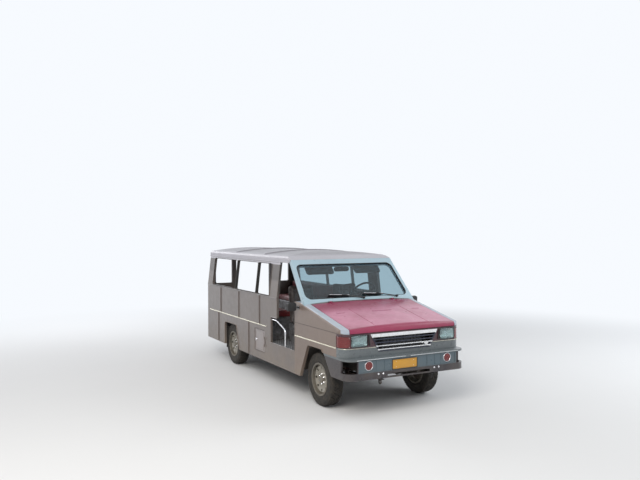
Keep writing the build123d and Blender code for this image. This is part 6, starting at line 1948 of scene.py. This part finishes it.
class JEEPNEY_OT_seats(bpy.types.Operator):
    """Stuff and sew the two front seats"""

    bl_idname = "jeepney.seats"
    bl_label = "Front Seats"

    def execute(self, context):
        x0, x1 = SEAT_X
        z0, z1 = SEAT_Z
        front, joint, rear = -0.875, -0.540, -0.435
        form = bmesh.new()
        block(form, (x0 + 0.013, front + 0.012, z0 + 0.001), (x1 - 0.013, joint - 0.010, z1 - 0.014), 0.026)
        cushion = stuffed("cushion", form, (x0, front, z0), (x1, joint - 0.001, z1 + 0.004), cap=0.022)
        press(cushion, [((x, front - 0.02, z1), (x, joint, z1)) for x in SEAT_CHANNELS],
              DOWN, 0.008, 0.013)
        press(cushion, [((x0 + 0.115, front + 0.075, z1), (x1 - 0.115, front + 0.075, z1))],
              DOWN, 0.007, 0.013)

        lean = 0.090 / 0.580
        thick, top = 0.095, 1.458
        form = bmesh.new()
        outline = [(rear - thick - 0.003 + (z - 0.88) * lean, z) for z in (z1 - 0.112, top - 0.012)]
        outline += [(rear - 0.010 + (z - 0.88) * lean, z) for z in (top - 0.012, z1 - 0.112)]
        slab(form, [(x0 + 0.013, y, z) for y, z in outline], (x1 - x0 - 0.026, 0, 0), 0.026, sides=True)
        rest = stuffed("rest", form, (x0, joint, z0), (x1, rear + 0.088, 1.460), cap=0.020)
        points = corner_array(rest.data)
        limit = joint + 0.0012 + np.maximum(0.0, points[:, 2] - z1) * lean
        points[:, 1] = np.maximum(points[:, 1], limit)
        points[:, 1] = np.minimum(points[:, 1], rear - 0.001 + (points[:, 2] - 0.88) * lean)
        taper = np.clip((points[:, 2] - 1.27) / (top - 1.27), 0.0, 1.0) ** 2
        heart = (x0 + x1) / 2
        points[:, 0] = heart + (points[:, 0] - heart) * (1 - 0.13 * taper)
        store_array(rest.data, points)
        into = (0, 0.988, -0.155)
        face_y = [joint + (z - z1) * lean for z in (1.03, 1.40)]
        press(rest, [((x, face_y[0], 1.03), (x, face_y[1], 1.40)) for x in (0.275, 0.3275, 0.4325, 0.485)],
              into, 0.009, 0.013)
        press(rest, [((x0 + 0.09, joint + (1.345 - z1) * lean, 1.345),
                      (x1 - 0.09, joint + (1.345 - z1) * lean, 1.345))], into, 0.007, 0.012)

        for name, node, turn in (("left", "driver_seat", lambda points: points),
                                 ("right", "passenger_seat", mirror_points)):
            side = 1 if name == "left" else -1
            parts = [copied(cushion, "part", turn), copied(rest, "part", turn)]
            seat = merged(f"front_seat_{name}", parts)
            settle(seat, "body", "seat_vinyl", replaces=(node,), angle=60)
            wide, deep = x1 - x0 - 0.050, joint - front - 0.050
            loop = [(side * (heart + a), (front + joint) / 2 + b, z1) for a, b in
                    densified(rounded_loop(wide, deep, 0.030, 5), 0.02)]
            piping(f"cushion_piping_{name}", seat, [loop], DOWN, "body", "seat_vinyl", 0.008)
            loop = []
            for a, b in densified(rounded_loop(0.370, 0.395, 0.055, 6), 0.02):
                z = 1.236 + b
                narrow = 1 - 0.13 * max(0.0, (z - 1.27) / (top - 1.27)) ** 2
                loop.append((side * (heart + a * narrow), joint + (z - z1) * lean, z))
            piping(f"rest_piping_{name}", seat, [loop], into, "body", "seat_vinyl", 0.008)
            threads = []
            for x in SEAT_CHANNELS:
                line = [(side * x, front + 0.10 + 0.021 * step, z1) for step in range(11)]
                threads.append((laid_on(seat, line, DOWN, 0.0004), UP, False))
            row(f"seat_stitches_{name}", threads, stitch, 0.0085, "body", "lining")
        for pad in (cushion, rest):
            bpy.data.objects.remove(pad)
        form = bmesh.new()
        for side in SIDES:
            for x in (0.215, 0.545):
                block(form, (side * x - 0.014, -0.870, 0.8735), (side * x + 0.014, -0.470, 0.8800), 0.0015)
            turned(form, ((-0.020, 0.006), (0.060, 0.006), (0.062, 0.012), (0.100, 0.012), (0.103, 0.0)),
                   (side * 0.600, -0.800, 0.855), (side, -0.3, 0.0), 14)
        form_piece("seat_runners", form, "body", "chassis_paint")
        return {"FINISHED"}


class JEEPNEY_OT_cabin(bpy.types.Operator):
    """Fit the roof bows, dome lamps, floor mat, rail flanges and bench trim"""

    bl_idname = "jeepney.cabin"
    bl_label = "Cabin Fittings"

    def execute(self, context):
        def ceiling(x, drop=0.0):
            return crown_z(x, ROOF_WALL) - drop
        bows = [([(x, y, ceiling(x, 0.006)) for x in (0.094 * step - 0.752 for step in range(17))], DOWN,
                 False) for y in (-0.34, 0.14, 0.62, 1.10, 1.58, 2.06)]
        bead("roof_bows", bows, "body", "lining", 0.046, 0.013, edge=0.004)
        battens = [([(side * x, -0.36, ceiling(x, 0.003)), (side * x, 2.40, ceiling(x, 0.003))], DOWN, False)
                   for side in SIDES for x in (0.20, 0.52)]
        bead("ceiling_battens", battens, "body", "lining", 0.022, 0.006, edge=0.002)
        form = bmesh.new()
        for y in DOME_Y:
            turned(form, ((-0.012, 0.085), (0.010, 0.085), (0.016, 0.080), (0.017, 0.070), (-0.012, 0.070)),
                   (0, y, ceiling(0)), DOWN, 40, closed=True)
        form_piece("dome_lamp_rims", form, "body", "chrome_trim")
        form = bmesh.new()
        for y in DOME_Y:
            turned(form, ((-0.006, 0.071), (0.006, 0.071), (0.014, 0.064), (0.020, 0.050), (0.024, 0.028),
                          (0.025, 0.0)), (0, y, ceiling(0)), DOWN, 40)
        form_piece("dome_lamp_glasses", form, "body", "headlight_glass")
        flanges = bmesh.new()
        for side in SIDES:
            for y in (-0.205, 2.275):
                turned(flanges, ((-0.006, 0.034), (0.002, 0.034), (0.005, 0.031), (0.009, 0.020),
                                 (0.009, 0.0155), (-0.006, 0.0155)), (side * 0.300, y, ceiling(0.300)), DOWN,
                       24, closed=True)
            for z in (0.95, 1.60):
                turned(flanges, ((-0.002, 0.028), (0.003, 0.028), (0.007, 0.018), (0.007, 0.0125),
                                 (-0.002, 0.0125)), (side * 0.388, BODY_REAR, z), BACK, 24, closed=True)
        form_piece("rail_flanges", flanges, "body", "chrome_trim")
        spots = [((side * 0.388 + dx, BODY_REAR + 0.0030, z + dz), BACK) for side in SIDES
                 for z in (0.95, 1.60) for dx, dz in ((0.020, 0), (-0.020, 0))]
        fasteners("flange_screws", spots, pan_screw, "body", "chrome_trim", size=0.7)

        form = bmesh.new()
        slab(form, [(x, y, FLOOR_Z + 0.0002) for x, y in ((-0.38, -0.40), (0.38, -0.40), (0.38, 2.36),
                                                          (-0.38, 2.36))], (0, 0, 0.0045), 0.0012)
        form_piece("aisle_mat", form, "body", "mat_rubber")
        ribs = [([(0.030 * step - 0.36, -0.385, FLOOR_Z + 0.0048),
                  (0.030 * step - 0.36, 2.345, FLOOR_Z + 0.0048)], UP, False) for step in range(25)]
        bead("mat_ribs", ribs, "body", "mat_rubber", 0.009, 0.0032, edge=0.0012, Edge_Steps=1)
        form = bmesh.new()
        for side in SIDES:
            x0, x1 = sorted((side * 0.130, side * 0.660))
            block(form, (x0, -1.300, FLOOR_Z + 0.0002), (x1, -0.905, FLOOR_Z + 0.0060), 0.002)
            for index in range(14):
                y = -1.285 + 0.0265 * index
                block(form, (x0 + 0.02, y, FLOOR_Z + 0.005), (x1 - 0.02, y + 0.010, FLOOR_Z + 0.0085), 0.001)
        form_piece("cab_mats", form, "body", "mat_rubber")
        edges = [([(side * 0.4495, BENCH_Y[0] + 0.004, 0.9500), (side * 0.4495, BENCH_Y[1] - 0.004, 0.9500)],
                  (-side, 0, 0), False) for side in SIDES]
        bead("bench_edges", edges, "body", "chrome_trim", 0.018, 0.003, edge=0.001)
        return {"FINISHED"}


# Underbody
RAIL_X = 0.385


class JEEPNEY_OT_underbody(bpy.types.Operator):
    """Fit spring clamps, shock absorbers, brake lines, tank straps and the joints of the shaft"""

    bl_idname = "jeepney.underbody"
    bl_label = "Underbody"

    def execute(self, context):
        clamps, plates, nuts = [], bmesh.new(), []
        for axle, reach, low, high in ((FRONT_AXLE, 0.041, 0.3095, 0.418), (REAR_AXLE, 0.062, 0.3000, 0.423)):
            for side in SIDES:
                for y in (axle - reach, axle + reach):
                    loop = [(side * x, y, z) for x, z in ((0.348, low - 0.018), (0.348, high + 0.011),
                                                          (0.422, high + 0.011), (0.422, low - 0.018))]
                    clamps.append((loop, BACK, False))
                    nuts.extend(((side * x, y, low - 0.010), DOWN) for x in (0.348, 0.422))
                x0, x1 = sorted((side * 0.333, side * 0.437))
                block(plates, (x0, axle - reach - 0.014, low - 0.010), (x1, axle + reach + 0.014, low), 0.002)
                block(plates, (x0 + 0.022, axle - reach - 0.008, high + 0.0002),
                      (x1 - 0.022, axle + reach + 0.008, high + 0.0052), 0.001)
        bead("spring_clamps", clamps, "body", "spring_steel", 0.012, corner=0.020)
        form_piece("clamp_plates", plates, "body", "cast_iron")
        fasteners("clamp_nuts", nuts, hex_bolt, "body", "spring_steel")

        form, rods = bmesh.new(), bmesh.new()
        for axle, back in ((FRONT_AXLE, 0.10), (REAR_AXLE, -0.12)):
            for side in SIDES:
                foot = Vector((side * 0.466, axle + back * 0.35, 0.330))
                head = Vector((side * 0.462, axle + back * 1.7, 0.552))
                way = (head - foot).normalized()
                length = (head - foot).length
                turned(form, ((0.020, 0.0), (0.020, 0.024), (0.030, 0.026), (length * 0.52, 0.026),
                              (length * 0.55, 0.022), (length * 0.55, 0.0)), foot, way, 22)
                turned(form, ((length * 0.40, 0.030), (length - 0.022, 0.031), (length - 0.016, 0.026),
                              (length - 0.016, 0.008), (length * 0.40, 0.029)), foot, way, 22, closed=True)
                turned(rods, ((0.0, 0.008), (length - 0.010, 0.008)), foot, way, 12)
                for eye in (foot, head):
                    turned(rods, ((-0.022, 0.018), (0.022, 0.018), (0.022, 0.008), (-0.022, 0.008)), eye,
                           LEFT, 18, closed=True)
                turned(rods, ((-side * 0.062, 0.0078), (side * 0.026, 0.0078)), head, LEFT, 12)
                turned(rods, ((-side * 0.050, 0.0078), (side * 0.026, 0.0078)), foot, LEFT, 12)
                block(rods, (min(foot.x, side * 0.415), foot.y - 0.014, foot.z - 0.010),
                      (max(foot.x - side * 0.024, side * 0.415), foot.y + 0.014, foot.z + 0.010), 0.002)
        form_piece("shock_absorbers", form, "body", "chassis_paint")
        form_piece("shock_eyes", rods, "body", "spring_steel")

        pipes = [
            [(-RAIL_X + 0.016, -2.30, 0.520), (-RAIL_X + 0.016, -1.20, 0.520), (-RAIL_X + 0.016, 1.00, 0.520),
             (-RAIL_X + 0.016, 1.16, 0.500), (-0.24, 1.24, 0.420)],
            [(-RAIL_X + 0.016, -2.05, 0.532), (-RAIL_X + 0.016, -1.90, 0.532), (-0.28, -1.86, 0.425),
             (0.28, -1.86, 0.425)],
            [(RAIL_X - 0.016, -1.50, 0.500), (RAIL_X - 0.016, 0.20, 0.500), (0.44, 0.26, 0.500)]]
        bead("brake_and_fuel_pipes", [(line, UP, False) for line in pipes], "body", "spring_steel", 0.007,
             corner=0.03)
        clips = [((-RAIL_X + 0.018, y, 0.526), LEFT) for y in (-2.1, -1.6, -1.1, -0.6, -0.1, 0.4, 0.9)]
        fasteners("pipe_clips", clips, rivet, "body", "chassis_paint", size=1.8)
        low, high = (Vector(corner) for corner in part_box("fuel_tank"))
        straps = []
        for y in (low.y + 0.12, high.y - 0.12):
            loop = [(low.x - 0.0008, y, high.z - 0.004), (low.x - 0.0008, y, low.z - 0.0008),
                    (high.x + 0.0008, y, low.z - 0.0008), (high.x + 0.0008, y, high.z - 0.004)]
            straps.append((loop, [(-1, 0, 0), (-0.7, 0, -0.7), (0.7, 0, -0.7), LEFT], False))
        bead("tank_straps", straps, "body", "spring_steel", 0.032, 0.003, corner=0.016, edge=0.001)
        bolts = [((low.x - 0.002, y, high.z - 0.030), (-1, 0, 0)) for y in (low.y + 0.12, high.y - 0.12)]
        bolts += [((high.x + 0.002, y, high.z - 0.030), LEFT) for y in (low.y + 0.12, high.y - 0.12)]
        fasteners("tank_bolts", bolts, hex_bolt, "body", "spring_steel", size=0.8)

        form = bmesh.new()
        for y, radius in ((-0.962, 0.048), (1.050, 0.048)):
            z = 0.470 if y < 0 else 0.344
            turned(form, ((-0.012, 0.020), (-0.012, radius), (0.0, radius), (0.0, 0.034), (0.028, 0.028),
                          (0.036, 0.020)), (0, y, z), (0, 1 if y < 0 else -1, 0), 24)
        for turn in (0, 90):
            out = Vector((math.cos(math.radians(turn)), 0, math.sin(math.radians(turn))))
            turned(form, ((-0.036, 0.0), (-0.036, 0.011), (0.036, 0.011), (0.036, 0.0)),
                   (0, -0.918, 0.467), out, 14)
            turned(form, ((-0.036, 0.0), (-0.036, 0.011), (0.036, 0.011), (0.036, 0.0)),
                   (0, 1.004, 0.347), out, 14)
        form_piece("shaft_joints", form, "body", "cast_iron")

        heart = Vector((0.0, REAR_AXLE, 0.345))
        form = bmesh.new()
        turned(form, ((0.020, 0.0), (0.020, 0.112), (0.084, 0.112), (0.086, 0.126), (0.096, 0.126),
                      (0.098, 0.106), (0.118, 0.096), (0.136, 0.066), (0.142, 0.030), (0.143, 0.0)),
               heart, BACK, 36)
        form_piece("axle_cover", form, "body", "cast_iron")
        turns = [math.radians(36 * index) for index in range(10)]
        fasteners("axle_cover_bolts",
                  [(heart + Vector((0.1185 * math.cos(t), 0.0955, 0.1185 * math.sin(t))), BACK)
                   for t in turns], hex_bolt, "body", "cast_iron", size=0.7)
        return {"FINISHED"}


# Rear end


class JEEPNEY_OT_rear(bpy.types.Operator):
    """Frame the rear door, windows and lamps, and fit the rear plate and its lamp, the step's reflectors and
    the exhaust tip
    """

    bl_idname = "jeepney.rear"
    bl_label = "Rear End"

    def execute(self, context):
        frames = [(upright_loop(0.3380, 0.4780, 0.038, (side * 0.59, BODY_REAR + 0.0016, 1.530)),
                   BACK, True) for side in SIDES]
        bead("rear_window_flanges", frames, "body", "body_paint", 0.016, 0.006, edge=0.002)
        door = [(-0.352, BODY_REAR + 0.0010, 0.606), (-0.352, BODY_REAR + 0.0010, 1.767),
                (0.352, BODY_REAR + 0.0010, 1.767), (0.352, BODY_REAR + 0.0010, 0.606)]
        bead("rear_door_edge", [(door, BACK, False)], "body", "body_paint", 0.015, 0.007,
             corner=0.05, edge=0.002)
        inner = [(-0.342, BODY_REAR + 0.0028, 0.606), (-0.342, BODY_REAR + 0.0028, 1.757),
                 (0.342, BODY_REAR + 0.0028, 1.757), (0.342, BODY_REAR + 0.0028, 0.606)]
        bead("rear_door_seal", [(inner, BACK, False)], "body", "seal_rubber", 0.008, 0.006, corner=0.045)
        seams = [([(side * 0.852, BODY_REAR + 0.0006, 0.62), (side * 0.852, BODY_REAR + 0.0006, 1.28)], BACK,
                  False) for side in SIDES]
        seams += [([(side * x, BODY_REAR + 0.0006, 1.245) for x in (0.372, 0.850)], BACK, False)
                  for side in SIDES]
        row("rear_rivets", seams, rivet, 0.082, "body", "body_paint")

        rims, ribs = [], []
        for side in SIDES:
            heart = (side * 0.790, BODY_REAR + 0.0035, 1.120)
            rims.append((upright_loop(0.1160, 0.2660, 0.016, heart), BACK, True))
            for z in (1.111, 1.177):
                ribs.append(([(side * 0.790 - 0.053, BODY_REAR + 0.0283, z),
                              (side * 0.790 + 0.053, BODY_REAR + 0.0283, z)], BACK, False))
        bead("tail_lamp_rims", rims, "body", "chrome_trim", 0.0075, 0.0080, edge=0.002)
        bead("tail_lamp_bars", ribs, "body", "chrome_trim", 0.0035, 0.0022)
        screws = [((side * 0.790 + x, BODY_REAR + 0.0275, z), BACK) for side in SIDES for x in (-0.042, 0.042)
                  for z in (1.006, 1.234)]
        fasteners("tail_lamp_screws", screws, pan_screw, "body", "chrome_trim", size=0.8)

        form = bmesh.new()
        outline = upright_loop(0.300, 0.112, 0.010, (0.600, BODY_REAR + 0.0005, 0.885))
        slab(form, outline, (0, 0.0030, 0), 0.0006)
        form_piece("rear_plate", form, "body", "plate_paint")
        raised = upright_loop(0.286, 0.098, 0.009, (0.600, BODY_REAR + 0.0035, 0.885))
        bead("rear_plate_bead", [(raised, BACK, True)], "body", "plate_paint", 0.004, 0.0020)
        bolts = [((x, BODY_REAR + 0.0035, z), BACK) for x in (0.485, 0.715) for z in (0.852, 0.918)]
        fasteners("rear_plate_screws", bolts, pan_screw, "body", "chrome_trim")
        form = bmesh.new()
        block(form, (0.560, BODY_REAR - 0.001, 0.9520), (0.640, BODY_REAR + 0.026, 0.9700), 0.004)
        block(form, (0.568, BODY_REAR + 0.004, 0.9490), (0.632, BODY_REAR + 0.022, 0.9525), 0.001)
        form_piece("plate_lamp", form, "body", "black_plastic")

        form = bmesh.new()
        step_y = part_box("rear_step")[1][1]
        for side in SIDES:
            turned(form, ((0.0, 0.034), (0.004, 0.034), (0.006, 0.030), (0.0085, 0.028), (0.0090, 0.0)),
                   (side * 0.66, step_y - 0.0006, 0.395), BACK, 28)
        form_piece("rear_reflectors", form, "body", "red_lens", angle=25)

        form = bmesh.new()
        turned(form, ((0.0, 0.0248), (0.045, 0.0248), (0.047, 0.0238), (0.0475, 0.0223), (0.0, 0.0223)),
               (-0.7800, 0.4350, 0.3490), (-0.78, 0, -0.62), 24, closed=True)
        form_piece("exhaust_tip", form, "body", "exhaust_steel")
        return {"FINISHED"}


# Stage. The backdrop's colour shows where the floor fades and in gloss and glass.
BACKDROP = (0.93, 0.96, 1.0)


def seen_rays(tree):
    """1 for rays from the camera and for those that gloss and glass send on."""
    path = add_node(tree, "ShaderNodeLightPath").outputs
    return maths(tree, "MAXIMUM", path["Is Camera Ray"],
                 maths(tree, "MAXIMUM", path["Is Glossy Ray"], path["Is Transmission Ray"]))


class JEEPNEY_OT_stage(bpy.types.Operator):
    """Lay the floor, hang the soft lights and set the camera at the photograph's angle"""

    bl_idname = "jeepney.stage"
    bl_label = "Stage"

    def execute(self, context):
        settings = context.scene.jeepney_stage
        mesh = bpy.data.meshes.new("floor")
        reach = 60.0
        mesh.from_pydata([(-reach, -reach, 0), (reach, -reach, 0), (reach, reach, 0), (-reach, reach, 0)], [],
                         [(0, 1, 2, 3)])
        floor = bpy.data.objects.new("stage_floor", mesh)
        context.collection.objects.link(floor)
        ground, tree, shader = new_finish("stage_floor", Roughness=0.9, Specular_IOR_Level=0.2)
        grain = spread(tree, mottle(tree, 0.8, 3.0), 0.3, 0.7, 0.0, 0.25)
        tree.links.new(blend_colours(tree, grain, tuple(settings.floor), toned(settings.floor, 0.96)),
                       shader.inputs["Base Color"])
        away = add_node(tree, "ShaderNodeVectorMath", {0: place(tree)}, operation="LENGTH").outputs["Value"]
        seen = seen_rays(tree)
        fade = maths(tree, "MULTIPLY", spread(tree, away, 4.5, 11.0, smooth=True), seen)
        glow = add_node(tree, "ShaderNodeEmission", {"Color": (*BACKDROP, 1.0), "Strength": 1.0})
        ground_mix = add_node(tree, "ShaderNodeMixShader",
                              {0: fade, 1: shader.outputs[0], 2: glow.outputs[0]})
        tree.links.new(ground_mix.outputs[0], tree.nodes["Material Output"].inputs["Surface"])
        mesh.materials.append(ground)

        world = bpy.data.worlds.new("studio")
        context.scene.world = world
        world.use_nodes = True
        tree = world.node_tree
        background = tree.nodes["Background"]
        background.inputs["Color"].default_value = (*BACKDROP, 1.0)
        tree.links.new(spread(tree, seen_rays(tree), 0.0, 1.0, 0.45, 1.0), background.inputs["Strength"])

        lamps = (
            # name, place, aim, size, share of the key's power, colour
            ("key_light", (-7.0, -7.5, 7.5), (0.0, -1.0, 0.8), 6.0, 1.0, (1.0, 0.96, 0.90)),
            ("fill_light", (7.5, -4.0, 5.0), (0.0, 0.0, 1.0), 6.0, 0.45, (0.92, 0.96, 1.0)),
            ("rear_light", (-3.0, 9.0, 6.0), (0.0, 1.0, 1.0), 6.0, 0.5, (0.96, 0.97, 1.0)),
        )
        for name, spot, aim, size, share, colour in lamps:
            light = bpy.data.lights.new(name, "AREA")
            light.shape = "SQUARE"
            light.size = size
            light.energy = settings.key_power * share
            light.color = colour
            lamp = bpy.data.objects.new(name, light)
            lamp.location = spot
            lamp.rotation_euler = (Vector(aim) - Vector(spot)).to_track_quat("-Z", "Y").to_euler()
            context.collection.objects.link(lamp)

        forward = Vector((0.46802, 0.88363, -0.01103))
        right = Vector((0.88370, -0.46806, 0.0))
        rise = Vector((0.00516, 0.00975, 0.99992))
        roll = Matrix.Rotation(math.radians(0.1094), 3, forward)
        lens = bpy.data.cameras.new("photograph")
        lens.lens = settings.lens
        lens.sensor_width = 36.0
        lens.clip_end = 200.0
        camera = bpy.data.objects.new("photograph", lens)
        turn = roll @ Matrix((right, rise, -forward)).transposed()
        camera.matrix_world = Matrix.Translation(settings.camera_place) @ turn.to_4x4()
        context.collection.objects.link(camera)
        context.scene.camera = camera
        context.scene.view_settings.view_transform = "Standard"
        return {"FINISHED"}


OPERATORS = (
    JEEPNEY_OT_finishes, JEEPNEY_OT_stage, JEEPNEY_OT_tyres, JEEPNEY_OT_wheels, JEEPNEY_OT_body_trim,
    JEEPNEY_OT_hatch_and_filler, JEEPNEY_OT_lamps, JEEPNEY_OT_nose_trim, JEEPNEY_OT_engine_bay,
    JEEPNEY_OT_screen_trim, JEEPNEY_OT_dashboard, JEEPNEY_OT_controls, JEEPNEY_OT_benches, JEEPNEY_OT_seats,
    JEEPNEY_OT_cabin, JEEPNEY_OT_underbody, JEEPNEY_OT_rear,
)


class JEEPNEY_PT_sidebar(bpy.types.Panel):
    """Lists the jeepney's settings and the steps that build its looks"""

    bl_label = "Jeepney"
    bl_space_type = "VIEW_3D"
    bl_region_type = "UI"
    bl_category = "Jeepney"

    def draw(self, context):
        for name, group in GROUPS.items():
            column = self.layout.column()
            for setting in group.__annotations__:
                column.prop(getattr(context.scene, name), setting)
        for operator in OPERATORS:
            self.layout.operator(operator.bl_idname)


def register():
    """Registers the classes and hangs the settings on the scene."""
    for kind in (*GROUPS.values(), *OPERATORS, JEEPNEY_PT_sidebar):
        bpy.utils.register_class(kind)
    for name, group in GROUPS.items():
        setattr(bpy.types.Scene, name, bpy.props.PointerProperty(type=group))


def unregister():
    """Takes back what register does."""
    for name in GROUPS:
        delattr(bpy.types.Scene, name)
    for kind in (JEEPNEY_PT_sidebar, *reversed(OPERATORS), *reversed(list(GROUPS.values()))):
        bpy.utils.unregister_class(kind)


def main():
    register()
    for operator in OPERATORS:
        group, step = operator.bl_idname.split(".")
        getattr(getattr(bpy.ops, group), step)()


if __name__ == "__main__":
    main()
